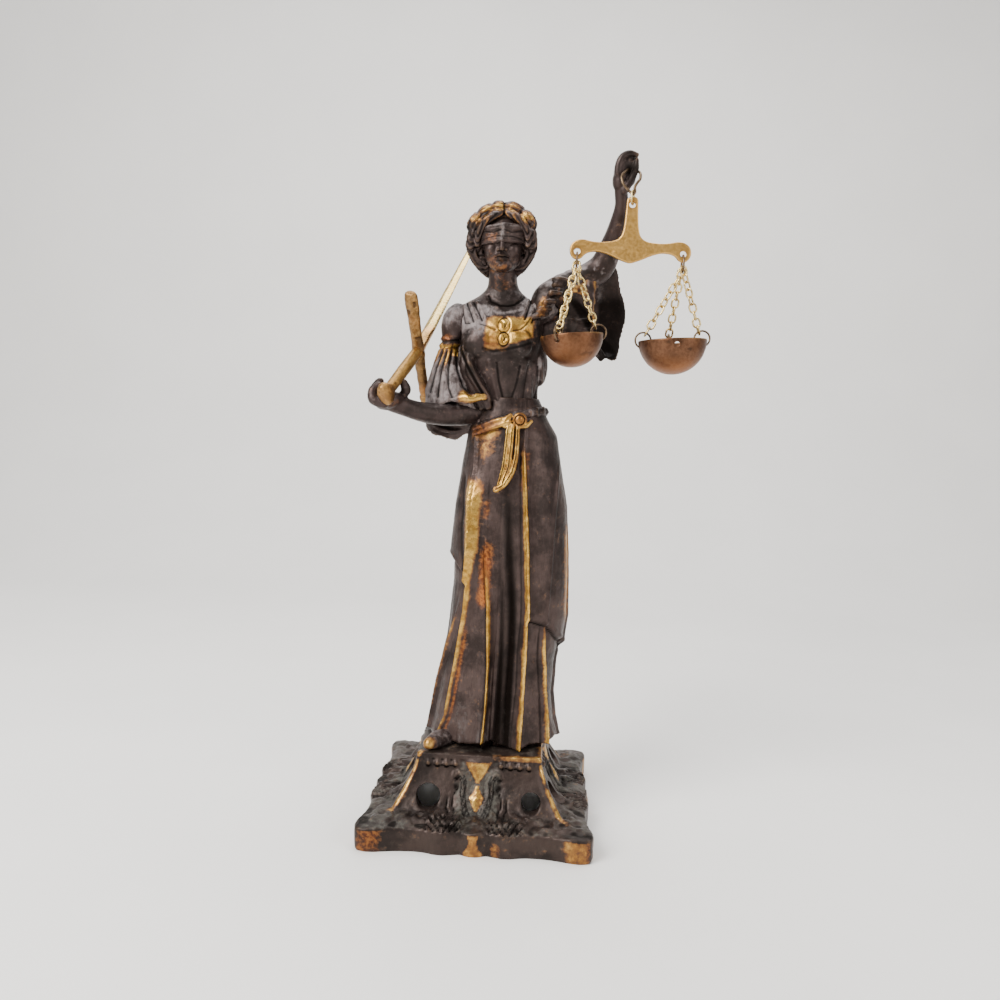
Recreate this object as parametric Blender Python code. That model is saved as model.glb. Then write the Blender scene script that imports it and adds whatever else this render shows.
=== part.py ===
"""A cast brass statuette of justice: a robed, blindfolded woman who stands on a pierced foot,
with a sword in her right hand and a hanging pair of scales in her raised left hand.

Metres, +Z up. The figure faces -Y and her right hand is on the -X side. The origin is the
middle of the object's box, at the level of the surface that it stands on.
"""

import math

import bmesh
import bpy
import numpy as np
from mathutils import Matrix, Vector

MM = 0.001
GAP = 0.3 * MM

# Foot of the statuette
BASE_WIDTH = 100.5 * MM
BASE_DEPTH = 104.0 * MM
PLATE_HEIGHT = 10.5 * MM
SCALLOP_DEPTH = 2.6 * MM
BLOCK_FOOT = 73.0 * MM
BLOCK_NECK = 54.0 * MM
PLATFORM_SIDE = 55.0 * MM
PLATFORM_TOP = 34.7 * MM
PLATFORM_LIP = 2.6 * MM
CAST_WALL = 3.0 * MM
LEFT_HOLE = 10.5 * MM
RIGHT_HOLE = 8.5 * MM

# Standing figure, from the platform to the top of the raised hand. Her pose, proportions and
# drapery are written for a figure of POSE_HEIGHT millimetres, with heights that count from the
# floor below a platform at POSE_PLATFORM, and follow FIGURE_HEIGHT.
FIGURE_HEIGHT = 262.0 * MM
POSE_HEIGHT = 262.0
POSE_PLATFORM = 35.0

# Sword
GRIP_DIAMETER = 5.4 * MM
POMMEL_SIZE = 10.5 * MM
POMMEL_LENGTH = 5.0 * MM
GUARD_LENGTH = 58.0 * MM
GUARD_WIDTH = 5.6 * MM
GUARD_THICKNESS = 3.6 * MM
BLADE_LENGTH = 88.0 * MM
BLADE_WIDTH = 6.2 * MM
BLADE_THICKNESS = 2.4 * MM
BLADE_TIP_WIDTH = 2.5 * MM
RICASSO_LENGTH = 12.0 * MM
RICASSO_WIDTH = 4.8 * MM
RICASSO_THICKNESS = 3.2 * MM

# Scales
HANGER_WIRE = 1.1 * MM
LINK_WIRE = 0.9 * MM
LINK_LENGTH = 6.4 * MM
LINK_WIDTH = 4.8 * MM
BEAM_SPAN = 44.2 * MM
BEAM_DROP = 19.6 * MM
BEAM_THICKNESS = 2.0 * MM
BEAM_HOLE = 2.8 * MM
END_RING_WIRE = 0.9 * MM
LEFT_END_RING = 6.6 * MM
RIGHT_END_RING = 7.8 * MM
CHAIN_LINKS = 9
CHAIN_WIRE = 0.85 * MM
CHAIN_PITCH = 3.25 * MM
CHAIN_WIDTH = 3.7 * MM
CHAIN_BITE = 0.2 * MM
CHAIN_SLACK = 0.5 * MM
LEFT_PAN_DIAMETER = 26.8 * MM
LEFT_PAN_DEPTH = 13.7 * MM
RIGHT_PAN_DIAMETER = 28.7 * MM
RIGHT_PAN_DEPTH = 14.4 * MM
PAN_WALL = 0.8 * MM
PAN_RING_WIRE = 0.9 * MM
PAN_RING = 7.4 * MM
PAN_HOLE = 2.2 * MM
PAN_HOLE_DROP = 2.6 * MM
PAN_RING_LEAN = math.radians(25.0)
LEFT_PAN_TILT = math.radians(5.5)
RIGHT_PAN_TILT = math.radians(3.5)
LEFT_PAN_SWING = -0.8 * MM
RIGHT_PAN_SWING = -2.5 * MM

# Fineness of the faceted solids
FIGURE_CELL = 0.85 * MM
FIGURE_FACES = 3000
BASE_CELL = 0.9 * MM
BASE_FACES = 1250
CHAIN_CELL = 0.17 * MM
CHAIN_FACES = 310


def clear_scene():
    for old in list(bpy.data.objects):
        bpy.data.objects.remove(old, do_unlink=True)


def metal(name, color, roughness, metallic):
    """A Principled material in the metal's own colour."""
    material = bpy.data.materials.new(name)
    material.use_nodes = True
    shader = material.node_tree.nodes["Principled BSDF"]
    shader.inputs["Base Color"].default_value = (*color, 1.0)
    shader.inputs["Roughness"].default_value = roughness
    shader.inputs["Metallic"].default_value = metallic
    return material


def add_object(name, mesh, material, parent):
    mesh.materials.clear()
    mesh.materials.append(material)
    mesh.shade_smooth()
    mesh.set_sharp_from_angle(angle=math.radians(40))
    piece = bpy.data.objects.new(name, mesh)
    bpy.context.scene.collection.objects.link(piece)
    piece.parent = parent
    return piece


def mesh_from(name, points, faces):
    mesh = bpy.data.meshes.new(name)
    mesh.from_pydata([tuple(point) for point in points], [], faces)
    mesh.update()
    return mesh


class Shape:
    """Points and faces of one or more closed shells, gathered before they are fused."""

    def __init__(self):
        self.points = []
        self.faces = []

    def add_rings(self, rings, closed=False):
        """Skins a row of rings with equal numbers of points, and caps its two ends."""
        start = len(self.points)
        count = len(rings[0])
        for ring in rings:
            self.points.extend(Vector(point) for point in ring)
        rows = len(rings) if closed else len(rings) - 1
        for row in range(rows):
            low = start + row * count
            high = start + (row + 1) % len(rings) * count
            for side in range(count):
                after = (side + 1) % count
                self.faces.append((low + side, low + after, high + after, high + side))
        if not closed:
            top = start + (len(rings) - 1) * count
            self.faces.append(tuple(range(start + count - 1, start - 1, -1)))
            self.faces.append(tuple(range(top, top + count)))

    def add_tube(self, path, radii, sides=16, flat=1.0, closed=False):
        """A round tube along a path, with its own radius at each point; flat thins it."""
        self.add_rings(tube_rings(path, radii, sides, flat, closed), closed)

    def add_blob(self, center, radii, turn=(0.0, 0.0, 0.0), sides=20):
        """An ellipsoid, turned by three angles in degrees."""
        spin = Matrix.Identity(3)
        for axis, angle in zip("XYZ", turn):
            spin = Matrix.Rotation(math.radians(angle), 3, axis) @ spin
        rings = []
        for row in range(1, sides // 2):
            polar = math.pi * row / (sides // 2)
            ring = []
            for side in range(sides):
                around = 2 * math.pi * side / sides
                point = Vector((
                    radii[0] * math.sin(polar) * math.cos(around),
                    radii[1] * math.sin(polar) * math.sin(around),
                    -radii[2] * math.cos(polar),
                ))
                ring.append(Vector(center) + spin @ point)
            rings.append(ring)
        self.add_rings(rings)

    def mesh(self, name):
        mesh = mesh_from(name, self.points, self.faces)
        work = bmesh.new()
        work.from_mesh(mesh)
        bmesh.ops.recalc_face_normals(work, faces=work.faces)
        work.to_mesh(mesh)
        work.free()
        return mesh


def tube_rings(path, radii, sides=16, flat=1.0, closed=False):
    path = [Vector(point) for point in path]
    last = len(path) - 1
    rings = []
    side_way = None
    for index, point in enumerate(path):
        before = path[index - 1] if index or closed else path[0]
        after = path[(index + 1) % len(path)] if index < last or closed else path[last]
        way = (after - before).normalized()
        if side_way is None:
            side_way = way.orthogonal().normalized()
        side_way = (side_way - way * side_way.dot(way)).normalized()
        up_way = way.cross(side_way)
        radius = radii[index] if hasattr(radii, "__len__") else radii
        rings.append([
            point
            + side_way * radius * math.cos(2 * math.pi * step / sides)
            + up_way * radius * flat * math.sin(2 * math.pi * step / sides)
            for step in range(sides)
        ])
    return rings


def smooth_path(points, steps=6):
    """A Catmull-Rom curve through the points; each point may carry a radius as a fourth value."""
    points = np.array(points, float)
    padded = np.vstack([2 * points[0] - points[1], points, 2 * points[-1] - points[-2]])
    found = []
    for index in range(len(points) - 1):
        a, b, c, d = padded[index:index + 4]
        for step in range(steps):
            t = step / steps
            found.append(0.5 * (2 * b + (c - a) * t + (2 * a - 5 * b + 4 * c - d) * t ** 2
                                + (3 * b - a - 3 * c + d) * t ** 3))
    found.append(points[-1])
    return found


def between(value, table):
    """Reads a column of a table of (height, value) pairs by linear interpolation."""
    heights, values = zip(*sorted(table))
    return float(np.interp(value, heights, values))


def fuse(name, shape, cell, faces):
    """Melts overlapping shells into one skin, and thins that skin to a number of triangles."""
    source = bpy.data.objects.new(name, shape.mesh(name))
    bpy.context.scene.collection.objects.link(source)
    skin = source.modifiers.new("skin", "REMESH")
    skin.mode = "VOXEL"
    skin.voxel_size = cell
    relax = source.modifiers.new("relax", "SMOOTH")
    relax.factor = 0.5
    relax.iterations = 1
    count = 2 * len(evaluated_mesh(source).polygons)
    thin = source.modifiers.new("thin", "DECIMATE")
    thin.ratio = min(1.0, faces / count)
    thin.use_collapse_triangulate = True
    mesh = evaluated_mesh(source)
    bpy.data.objects.remove(source, do_unlink=True)
    return mesh


def evaluated_mesh(piece):
    bpy.context.view_layer.update()
    graph = bpy.context.evaluated_depsgraph_get()
    return bpy.data.meshes.new_from_object(piece.evaluated_get(graph))


def add_cut(piece, cutter_mesh, operation="DIFFERENCE"):
    """Cuts a solid with another that stays as a hidden guide."""
    cutter = bpy.data.objects.new(piece.name + "_cutter", cutter_mesh)
    bpy.context.scene.collection.objects.link(cutter)
    cutter.parent = piece.parent
    cutter.hide_render = True
    cutter.display_type = "WIRE"
    cut = piece.modifiers.new("cut", "BOOLEAN")
    cut.operation = operation
    cut.solver = "EXACT"
    cut.object = cutter


def box_shape(low, high):
    shape = Shape()
    rings = []
    for height in (low[2], high[2]):
        rings.append([
            (low[0], low[1], height), (high[0], low[1], height),
            (high[0], high[1], height), (low[0], high[1], height),
        ])
    shape.add_rings(rings)
    return shape


# Foot

def plate_depth(share):
    """How far the plate's edge is set back, along one side from -1 to 1."""
    lobes = 0.0
    for middle, width, height in ((-0.88, 0.17, 1.0), (-0.27, 0.11, 0.75), (0.0, 0.07, 0.9),
                                  (0.27, 0.11, 0.75), (0.88, 0.17, 1.0)):
        lobes = max(lobes, height * math.exp(-((share - middle) / width) ** 2))
    return SCALLOP_DEPTH * (1.0 - lobes)


def square_ring(half, height, corner, per_side=28, scallop=0.0):
    """A level ring: a square with round corners, whose sides may follow the plate's scallops.

    The scalloped rings are as much deeper than wide as the plate is.
    """
    stretch = 1.0 + scallop * (BASE_DEPTH / BASE_WIDTH - 1.0)
    ring = []
    for turn in range(4):
        spin = Matrix.Rotation(math.pi / 2 * turn, 3, "Z")
        for step in range(per_side):
            share = -1.0 + 2.0 * (step + 0.5) / per_side
            depth = scallop * plate_depth(share)
            over = abs(share) * half - (half - corner)
            if over > 0.0:
                angle = math.asin(min(1.0, over / corner)) * 0.5
                depth += corner * (1.0 - math.cos(angle)) * 1.6
            point = spin @ Vector((share * half, -half + depth, 0.0))
            ring.append(Vector((point.x, point.y * stretch, height)))
    return ring


def add_base_shell(shape):
    """The hollow casting: inside from its ceiling down to the floor, then outside back up."""
    half = BASE_WIDTH / 2
    foot = BLOCK_FOOT / 2
    neck = BLOCK_NECK / 2
    top = PLATFORM_SIDE / 2
    edge = 1.2 * MM
    sink = 2.0 * MM
    under_lip = PLATFORM_TOP - PLATFORM_LIP
    outside = [
        square_ring(half - 0.6 * MM, -sink, 4 * MM, scallop=1.0),
        square_ring(half - 0.6 * MM, 0.0, 4 * MM, scallop=1.0),
        square_ring(half, edge, 4 * MM, scallop=1.0),
        square_ring(half, PLATE_HEIGHT - edge, 4 * MM, scallop=1.0),
        square_ring(half - 0.5 * MM, PLATE_HEIGHT - 0.3 * edge, 4 * MM, scallop=1.0),
        square_ring(half - 1.8 * MM, PLATE_HEIGHT, 4 * MM, scallop=1.0),
        square_ring(half - 6 * MM, PLATE_HEIGHT + 0.4 * MM, 4 * MM, scallop=0.5),
        square_ring(foot + 1.5 * MM, PLATE_HEIGHT + 1.0 * MM, 3 * MM),
    ]
    for step in range(9):
        share = step / 8
        flare = foot + (neck - foot) * (1.0 - (1.0 - share) ** 1.45)
        height = PLATE_HEIGHT + 1.6 * MM + share * (under_lip - PLATE_HEIGHT - 1.6 * MM)
        outside.append(square_ring(flare, height, 2.2 * MM))
    outside += [
        square_ring(top, under_lip + 0.6 * MM, 2 * MM),
        square_ring(top, PLATFORM_TOP - 0.5 * MM, 2 * MM),
        square_ring(top - 0.6 * MM, PLATFORM_TOP, 2 * MM),
    ]
    inside = [
        square_ring(neck - CAST_WALL, PLATFORM_TOP - CAST_WALL, 2 * MM),
        square_ring(foot - CAST_WALL - 1.5 * MM, PLATE_HEIGHT, 2 * MM),
        square_ring(half - 2.6 * CAST_WALL, PLATE_HEIGHT - CAST_WALL, 2 * MM, scallop=0.5),
        square_ring(half - 2.2 * CAST_WALL, -sink, 2 * MM, scallop=0.5),
    ]
    shape.add_rings(inside + outside)


def flare_half(height):
    """Half the width of the flared block at a height."""
    under_lip = PLATFORM_TOP - PLATFORM_LIP
    share = (height - PLATE_HEIGHT) / (under_lip - PLATE_HEIGHT)
    share = min(1.0, max(0.0, share))
    return BLOCK_FOOT / 2 + (BLOCK_NECK - BLOCK_FOOT) / 2 * (1.0 - (1.0 - share) ** 1.45)


def on_face(turn, across, height, out=0.0):
    """A point on one of the block's four faces; out lifts it off the face."""
    spin = Matrix.Rotation(math.pi / 2 * turn, 3, "Z")
    return spin @ Vector((across, -flare_half(height) - out, height))


# Shield and lozenge in the middle of a face: distance below the lip, how far they stand out, half
# width, half thickness
SHIELD = ((0.0, 0.2, 6.2, 1.6), (3.0, 0.3, 4.6, 1.6), (6.4, 0.4, 2.4, 1.4), (8.6, 0.3, 0.7, 1.0))
LOZENGE = ((9.4, 0.2, 0.8, 1.0), (12.0, 0.4, 2.3, 1.5), (14.8, 0.5, 3.3, 1.8),
           (17.8, 0.4, 2.1, 1.5), (20.4, 0.2, 0.7, 1.0))
# One side's leaf, from its curl beside the shield down to the plate: across, height above the
# plate, how far it stands out, radius
FACE_LEAF = (
    (9.4, 14.4, 0.1, 1.4), (8.2, 16.6, 0.4, 1.7), (6.0, 15.0, 0.6, 1.9), (6.0, 10.0, 0.6, 1.9),
    (5.4, 5.4, 0.6, 1.8), (3.0, 1.6, 1.2, 1.4),
)
# Leaves that run out over the plate: across, height, distance from the block, radius
PLATE_LEAVES = (
    ((4.6, 3.0, 0.6, 1.6), (8.0, 1.4, 4.0, 2.0), (11.0, 0.6, 8.0, 0.9)),
    ((13.0, 3.2, 0.4, 1.3), (17.0, 1.4, 2.6, 1.7), (20.5, 0.6, 5.4, 0.8)),
)


def add_boss(shape, turn, top, rows):
    """A raised form that runs down one of the block's faces."""
    rings = []
    for drop, out, wide, thick in rows:
        ring = []
        for around in np.linspace(0, 2 * math.pi, 12, endpoint=False):
            reach = out + thick * math.sin(around)
            across = wide * math.cos(around)
            ring.append(on_face(turn, across * MM, top - drop * MM, reach * MM))
        rings.append(ring)
    shape.add_rings(rings)


def add_base_relief(shape):
    """Corner ribs, and on each face a shield, a lozenge, two curled leaves and plate leaves."""
    low = PLATE_HEIGHT
    high = PLATFORM_TOP - PLATFORM_LIP + 0.4 * MM
    for turn in range(4):
        rib = []
        for step in range(9):
            height = low + 1.0 * MM + (high - low - 1.0 * MM) * step / 8
            rib.append(on_face(turn, -flare_half(height) + 0.9 * MM, height, -0.9 * MM))
        shape.add_tube(rib, [1.9 * MM - 0.05 * MM * step for step in range(9)], 8)
        add_boss(shape, turn, high, SHIELD)
        add_boss(shape, turn, high, LOZENGE)
        for side in (-1, 1):
            for curve in (FACE_LEAF, *PLATE_LEAVES):
                leaf = smooth_path(curve, 3)
                shape.add_tube(
                    [on_face(turn, side * point[0] * MM, low + point[1] * MM, point[2] * MM)
                     for point in leaf],
                    [point[3] * MM for point in leaf], 8,
                )


def hole_cutters():
    """Short round plugs through the block's walls, two to a face."""
    shape = Shape()
    height = PLATE_HEIGHT + 6.4 * MM
    for turn in range(4):
        spin = Matrix.Rotation(math.pi / 2 * turn, 3, "Z")
        for across, width, rise in ((-0.29, LEFT_HOLE, 0.4 * MM), (0.32, RIGHT_HOLE, 0.0)):
            rings = []
            for reach in (BLOCK_FOOT / 2 + 2 * MM, BLOCK_NECK / 2 - 2.4 * CAST_WALL):
                ring = []
                for step in range(10):
                    angle = 2 * math.pi * step / 10
                    ring.append(spin @ Vector((
                        across * BLOCK_FOOT + width / 2 * math.cos(angle),
                        -reach,
                        height + rise + width / 2 * math.sin(angle),
                    )))
                rings.append(ring)
            shape.add_rings(rings)
    return shape.mesh("hole_cutters")


def build_base(material, parent):
    shape = Shape()
    add_base_shell(shape)
    add_base_relief(shape)
    piece = add_object("base", fuse("base", shape, BASE_CELL, BASE_FACES), material, parent)
    wide = BASE_DEPTH
    add_cut(piece, box_shape((-wide, -wide, -wide), (wide, wide, 0.0)).mesh("floor_cutter"))
    over = box_shape((-wide, -wide, PLATFORM_TOP), (wide, wide, PLATFORM_TOP + wide))
    add_cut(piece, over.mesh("platform_cutter"))
    add_cut(piece, hole_cutters())
    return piece


# Figure

def place(point):
    """From the pose's millimetres to metres above the platform."""
    unit = FIGURE_HEIGHT / POSE_HEIGHT
    return Vector((
        point[0] * unit,
        point[1] * unit,
        (point[2] - POSE_PLATFORM) * unit + PLATFORM_TOP,
    ))


# Middle, half width and half depth of the skirt at heights from its hem to the waist
SKIRT_MIDDLE = ((35, 4.3), (45, 3.9), (57, 4.2), (72, 5.6), (81, 7.4), (93, 8.6), (108, 9.0),
                (122, 8.6), (143, 8.7), (164, 8.3), (174, 8.1), (185, 7.0), (191, 5.8))
SKIRT_WIDTH = ((35, 30.6), (45, 28.2), (57, 26.4), (72, 25.6), (81, 25.4), (93, 25.6), (108, 24.8),
               (122, 24.8), (143, 23.4), (164, 20.2), (174, 18.4), (185, 15.6), (191, 13.8))
SKIRT_DEPTH = ((35, 23.0), (57, 19.8), (93, 18.2), (122, 17.5), (143, 16.4), (164, 14.8),
               (185, 12.0), (191, 10.8))

# Ridges of the skirt: places across the front by height, then rise and width by height
RIDGES = (
    (((37, -19.0), (49, -14.9), (73, -11.6), (96, -8.4), (110, -7.5), (124, -6.7), (155, -6.6)),
     ((35, 3.0), (96, 2.8), (124, 3.0), (145, 2.8), (160, 0.0)),
     ((35, 1.7), (96, 2.0), (124, 3.2), (145, 3.8))),
    (((37, 0.6), (51, 1.6), (74, 2.1), (97, 1.3), (122, -1.1)),
     ((35, 2.6), (97, 2.4), (118, 1.2), (128, 0.0)),
     ((35, 1.6), (97, 1.6))),
    (((38, 16.4), (58, 16.9), (81, 17.7), (98, 17.8), (125, 16.5), (155, 14.5), (168, 13.5)),
     ((35, 2.8), (98, 2.4), (150, 1.6), (172, 0.3)),
     ((35, 1.7), (98, 1.6), (160, 1.3))),
    (((38, 28.1), (51, 27.3), (63, 26.2), (74, 25.8), (92, 26.0)),
     ((35, 2.6), (70, 2.2), (90, 0.6), (96, 0.0)),
     ((35, 1.7), (90, 1.5))),
    (((38, -25.5), (61, -21.0), (76, -17.4), (88, -14.6), (104, -11.0)),
     ((35, 1.6), (80, 1.8), (104, 0.0)),
     ((35, 2.0), (88, 1.8))),
)
LEFT_HEM = ((-30.0, 120.0), (-16.5, 119.5), (-11.0, 113.0), (-7.5, 108.0))
RIGHT_HEM = ((17.5, 93.5), (21.0, 93.0), (26.5, 91.0), (33.0, 82.0), (35.5, 80.0), (60.0, 80.0))
OVERSKIRT = 1.3


def skirt_point(around, height):
    """A point of the skirt; around is 0 at the front and grows towards her left side."""
    middle = between(height, SKIRT_MIDDLE)
    wide = between(height, SKIRT_WIDTH)
    deep = between(height, SKIRT_DEPTH)
    across = middle + wide * math.sin(around)
    girth = 0.5 * (wide + deep)
    front = math.cos(around) > 0.0
    low = min(1.0, max(0.0, (168.0 - height) / 110.0))
    out = 0.0
    if front:
        places = []
        for places_by_height, rises, widths in RIDGES:
            ridge = between(height, places_by_height)
            places.append(ridge)
            share = min(0.98, max(-0.98, (ridge - middle) / wide))
            away = (around - math.asin(share)) * girth
            out += between(height, rises) * math.exp(-(away / between(height, widths)) ** 2)
        recess = (across - places[1]) / max(1.0, places[2] - places[1])
        if 0.0 < recess < 1.0:
            out -= 4.4 * low * math.sin(math.pi * recess) ** 0.6
            out += 0.9 * low * math.cos(4 * math.pi * recess) * math.sin(math.pi * recess)
        hollow = (across - places[0]) / max(1.0, places[1] - places[0])
        if 0.0 < hollow < 1.0 and height < 110.0:
            out -= 1.5 * math.sin(math.pi * hollow)
        side = (across - places[2]) / max(1.0, places[3] - places[2])
        if 0.0 < side < 1.0 and height < 92.0:
            out -= 1.4 * math.sin(math.pi * side)
        if across < places[0]:
            out += OVERSKIRT * step_up(height, between(across, LEFT_HEM))
        if across > places[2]:
            out += OVERSKIRT * step_up(height, between(across, RIGHT_HEM))
    else:
        out += OVERSKIRT * step_up(height, 99.8 - 19.8 * math.sin(around))
        out += 1.5 * low * math.cos(7 * around)
    spread = 1.0 + out / girth
    return (
        middle + wide * spread * math.sin(around),
        -deep * spread * math.cos(around),
        height,
    )


def step_up(height, hem):
    return 1.0 / (1.0 + math.exp(-(height - hem) / 0.7))


def hem_height(around):
    """The wavy lower edge of the dress."""
    return 37.4 + 0.9 * math.cos(5 * around + 0.6) + 0.6 * math.cos(9 * around)


def add_skirt(shape, around_steps=120, levels=64):
    rings = []
    for level in range(levels):
        share = level / (levels - 1)
        ring = []
        for step in range(around_steps):
            around = 2 * math.pi * step / around_steps
            low = hem_height(around)
            ring.append(place(skirt_point(around, low + (191.0 - low) * share)))
        rings.append(ring)
    shape.add_rings(rings)
    under = []
    for height in (34.0, 42.0):
        under.append([
            place((4.3 + 24.5 * math.sin(angle), -19.0 * math.cos(angle), height))
            for angle in np.linspace(0, 2 * math.pi, 48, endpoint=False)
        ])
    shape.add_rings(under)
    shoe = smooth_path([(-16, -14, 37.5, 4.0), (-20, -20, 38.0, 3.9), (-22.5, -24.5, 37.6, 3.0)])
    add_limb(shape, shoe)


def add_limb(shape, path, sides=16, flat=1.0):
    """A tube in the pose's millimetres, with the radius as each point's fourth value."""
    unit = FIGURE_HEIGHT / POSE_HEIGHT
    radii = [point[3] * unit for point in path]
    shape.add_tube([place(point) for point in path], radii, sides, flat)
    for end in (path[0], path[-1]):
        shape.add_blob(place(end), [end[3] * unit * 0.999] * 3, sides=12)


def add_mass(shape, center, radii, turn=(0.0, 0.0, 0.0), sides=20):
    """An ellipsoid in the pose's millimetres."""
    unit = FIGURE_HEIGHT / POSE_HEIGHT
    shape.add_blob(place(center), [radius * unit for radius in radii], turn, sides)


# Height, middle across, middle in depth, half width and half depth of the trunk
TRUNK = (
    (178, 7.2, 0.2, 15.6, 12.2), (184, 6.2, 0.2, 14.6, 11.4), (188, 5.6, 0.0, 13.6, 10.4),
    (194, 4.6, -0.2, 14.2, 10.8), (203, 3.0, -0.8, 16.4, 12.0), (212, 1.6, -1.4, 18.0, 13.4),
    (220, 0.8, -1.0, 19.0, 13.0), (227, 0.6, 0.6, 19.2, 11.0), (232, 0.8, 1.6, 16.6, 9.0),
    (236, 1.4, 2.0, 10.6, 7.8), (240, 1.3, 1.6, 7.0, 6.8), (246, 1.0, 0.4, 6.2, 6.2),
    (252, 0.8, -0.6, 6.2, 6.2),
)


def add_trunk(shape):
    rings = []
    for height, middle, depth_middle, wide, deep in smooth_path(TRUNK, 4):
        ring = []
        for step in range(64):
            around = 2 * math.pi * step / 64
            ring.append(place((
                middle + wide * math.sin(around),
                depth_middle - deep * math.cos(around),
                height,
            )))
        rings.append(ring)
    shape.add_rings(rings)
    for across in (-6.6, 8.4):
        add_mass(shape, (across, -10.2, 214.5), (7.4, 4.8, 7.6))
    add_mass(shape, (17.0, 0.5, 208.0), (5.6, 7.5, 12.0), (0, -8, 0))
    belt = []
    for step in range(48):
        around = 2 * math.pi * step / 48
        belt.append((
            6.9 + 15.3 * math.sin(around),
            0.2 - 12.4 * math.cos(around),
            181.0 + 4.2 * math.sin(around) + 1.0 * math.cos(around),
        ))
    shape.add_tube([place(point) for point in belt], 2.0 * FIGURE_HEIGHT / POSE_HEIGHT, 10,
                   closed=True)


def add_sash(shape):
    """The knot of the belt and its hanging ends."""
    add_mass(shape, (11.6, -13.6, 181.4), (3.2, 2.2, 3.2))
    add_mass(shape, (6.4, -13.6, 180.4), (2.4, 1.8, 2.6))
    ends = (
        ((10.4, -14.6, 179.0, 1.1), (10.4, -15.4, 172.0, 1.2), (10.2, -16.4, 164.8, 1.3),
         (8.8, -17.2, 158.6, 1.4), (5.6, -17.4, 153.0, 1.5), (2.9, -17.2, 151.6, 1.2)),
        ((7.8, -14.6, 178.0, 1.0), (7.6, -15.6, 170.0, 1.1), (7.0, -16.6, 160.0, 1.1),
         (5.0, -17.2, 152.0, 1.0)),
        ((5.4, -14.4, 176.0, 1.0), (5.0, -15.6, 168.0, 1.1), (4.2, -16.4, 158.0, 1.0),
         (3.2, -17.0, 151.0, 1.0)),
    )
    for path in ends:
        add_limb(shape, smooth_path(path, 4), 8)


def add_head(shape):
    """A plain oval face with calm, even features under a blindfold, in a crown of waved hair."""
    add_mass(shape, (0.9, -3.6, 258.6), (9.4, 9.6, 12.9))
    add_mass(shape, (1.2, -9.6, 248.9), (4.4, 3.8, 3.8))
    add_mass(shape, (1.3, -13.2, 256.6), (1.5, 1.6, 3.2), (14, 0, 0))
    add_mass(shape, (1.2, -12.2, 251.6), (2.4, 1.3, 1.2))
    band = []
    for step in range(40):
        around = 2 * math.pi * step / 40
        band.append((1.0 + 9.6 * math.sin(around), -3.4 - 9.6 * math.cos(around),
                     261.4 + 0.6 * math.sin(around)))
    for lift in (-2.6, 0.0, 2.6):
        path = [place((point[0], point[1], point[2] + lift)) for point in band]
        shape.add_tube(path, 1.7 * FIGURE_HEIGHT / POSE_HEIGHT, 8, closed=True)
    add_mass(shape, (0.0, 3.6, 263.4), (15.0, 13.0, 13.6))
    add_mass(shape, (0.2, 5.5, 253.5), (10.5, 9.5, 9.0))
    for side in (-1, 1):
        add_mass(shape, (0.4 + side * 12.4, -0.5, 259.5), (4.2, 6.6, 8.6), (0, side * 8, 0))
        add_mass(shape, (0.2 + side * 9.0, 2.0, 251.8), (4.4, 7.0, 7.2), (0, side * 30, 0))
    locks = 15
    for lock in range(locks):
        angle = math.radians(-42 + 264 * lock / (locks - 1))
        add_mass(
            shape,
            (-0.2 + 13.0 * math.cos(angle), -6.4 + 1.6 * math.cos(2 * angle),
             261.0 + 10.6 * math.sin(angle)),
            (4.1, 4.4, 3.4), (0, 90 - math.degrees(angle) + 25, 0), 12,
        )
    for row, (depth, reach) in enumerate(((0.5, 13.4), (7.0, 12.2), (12.5, 9.0))):
        for lock in range(9):
            angle = math.radians(-12 + 204 * lock / 8 + 9 * (row % 2))
            add_mass(
                shape,
                (-0.2 + reach * 1.02 * math.cos(angle), depth,
                 263.0 + reach * 0.92 * math.sin(angle)),
                (3.8, 3.8, 3.0), (0, 90 - math.degrees(angle) - 25, 0), 12,
            )


def bell(shape, rings, wall):
    """A hollow bell of cloth: rings of (middle, across vector, depth vector), narrow end first."""
    count = 40

    def loop(middle, across, deep, thin):
        middle, across, deep = Vector(middle), Vector(across), Vector(deep)
        across = across.normalized() * (across.length - thin)
        deep = deep.normalized() * (deep.length - thin)
        found = []
        for step in range(count):
            around = 2 * math.pi * step / count
            fold = 1.0 + 0.05 * math.cos(6 * around) * (0.4 if thin else 1.0)
            found.append(place(middle + across * math.sin(around) * fold
                               + deep * math.cos(around) * fold))
        return found

    outside = [loop(*ring, 0.0) for ring in rings]
    inside = [loop(*ring, wall) for ring in reversed(rings[len(rings) // 3:])]
    shape.add_rings(outside + inside)


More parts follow.
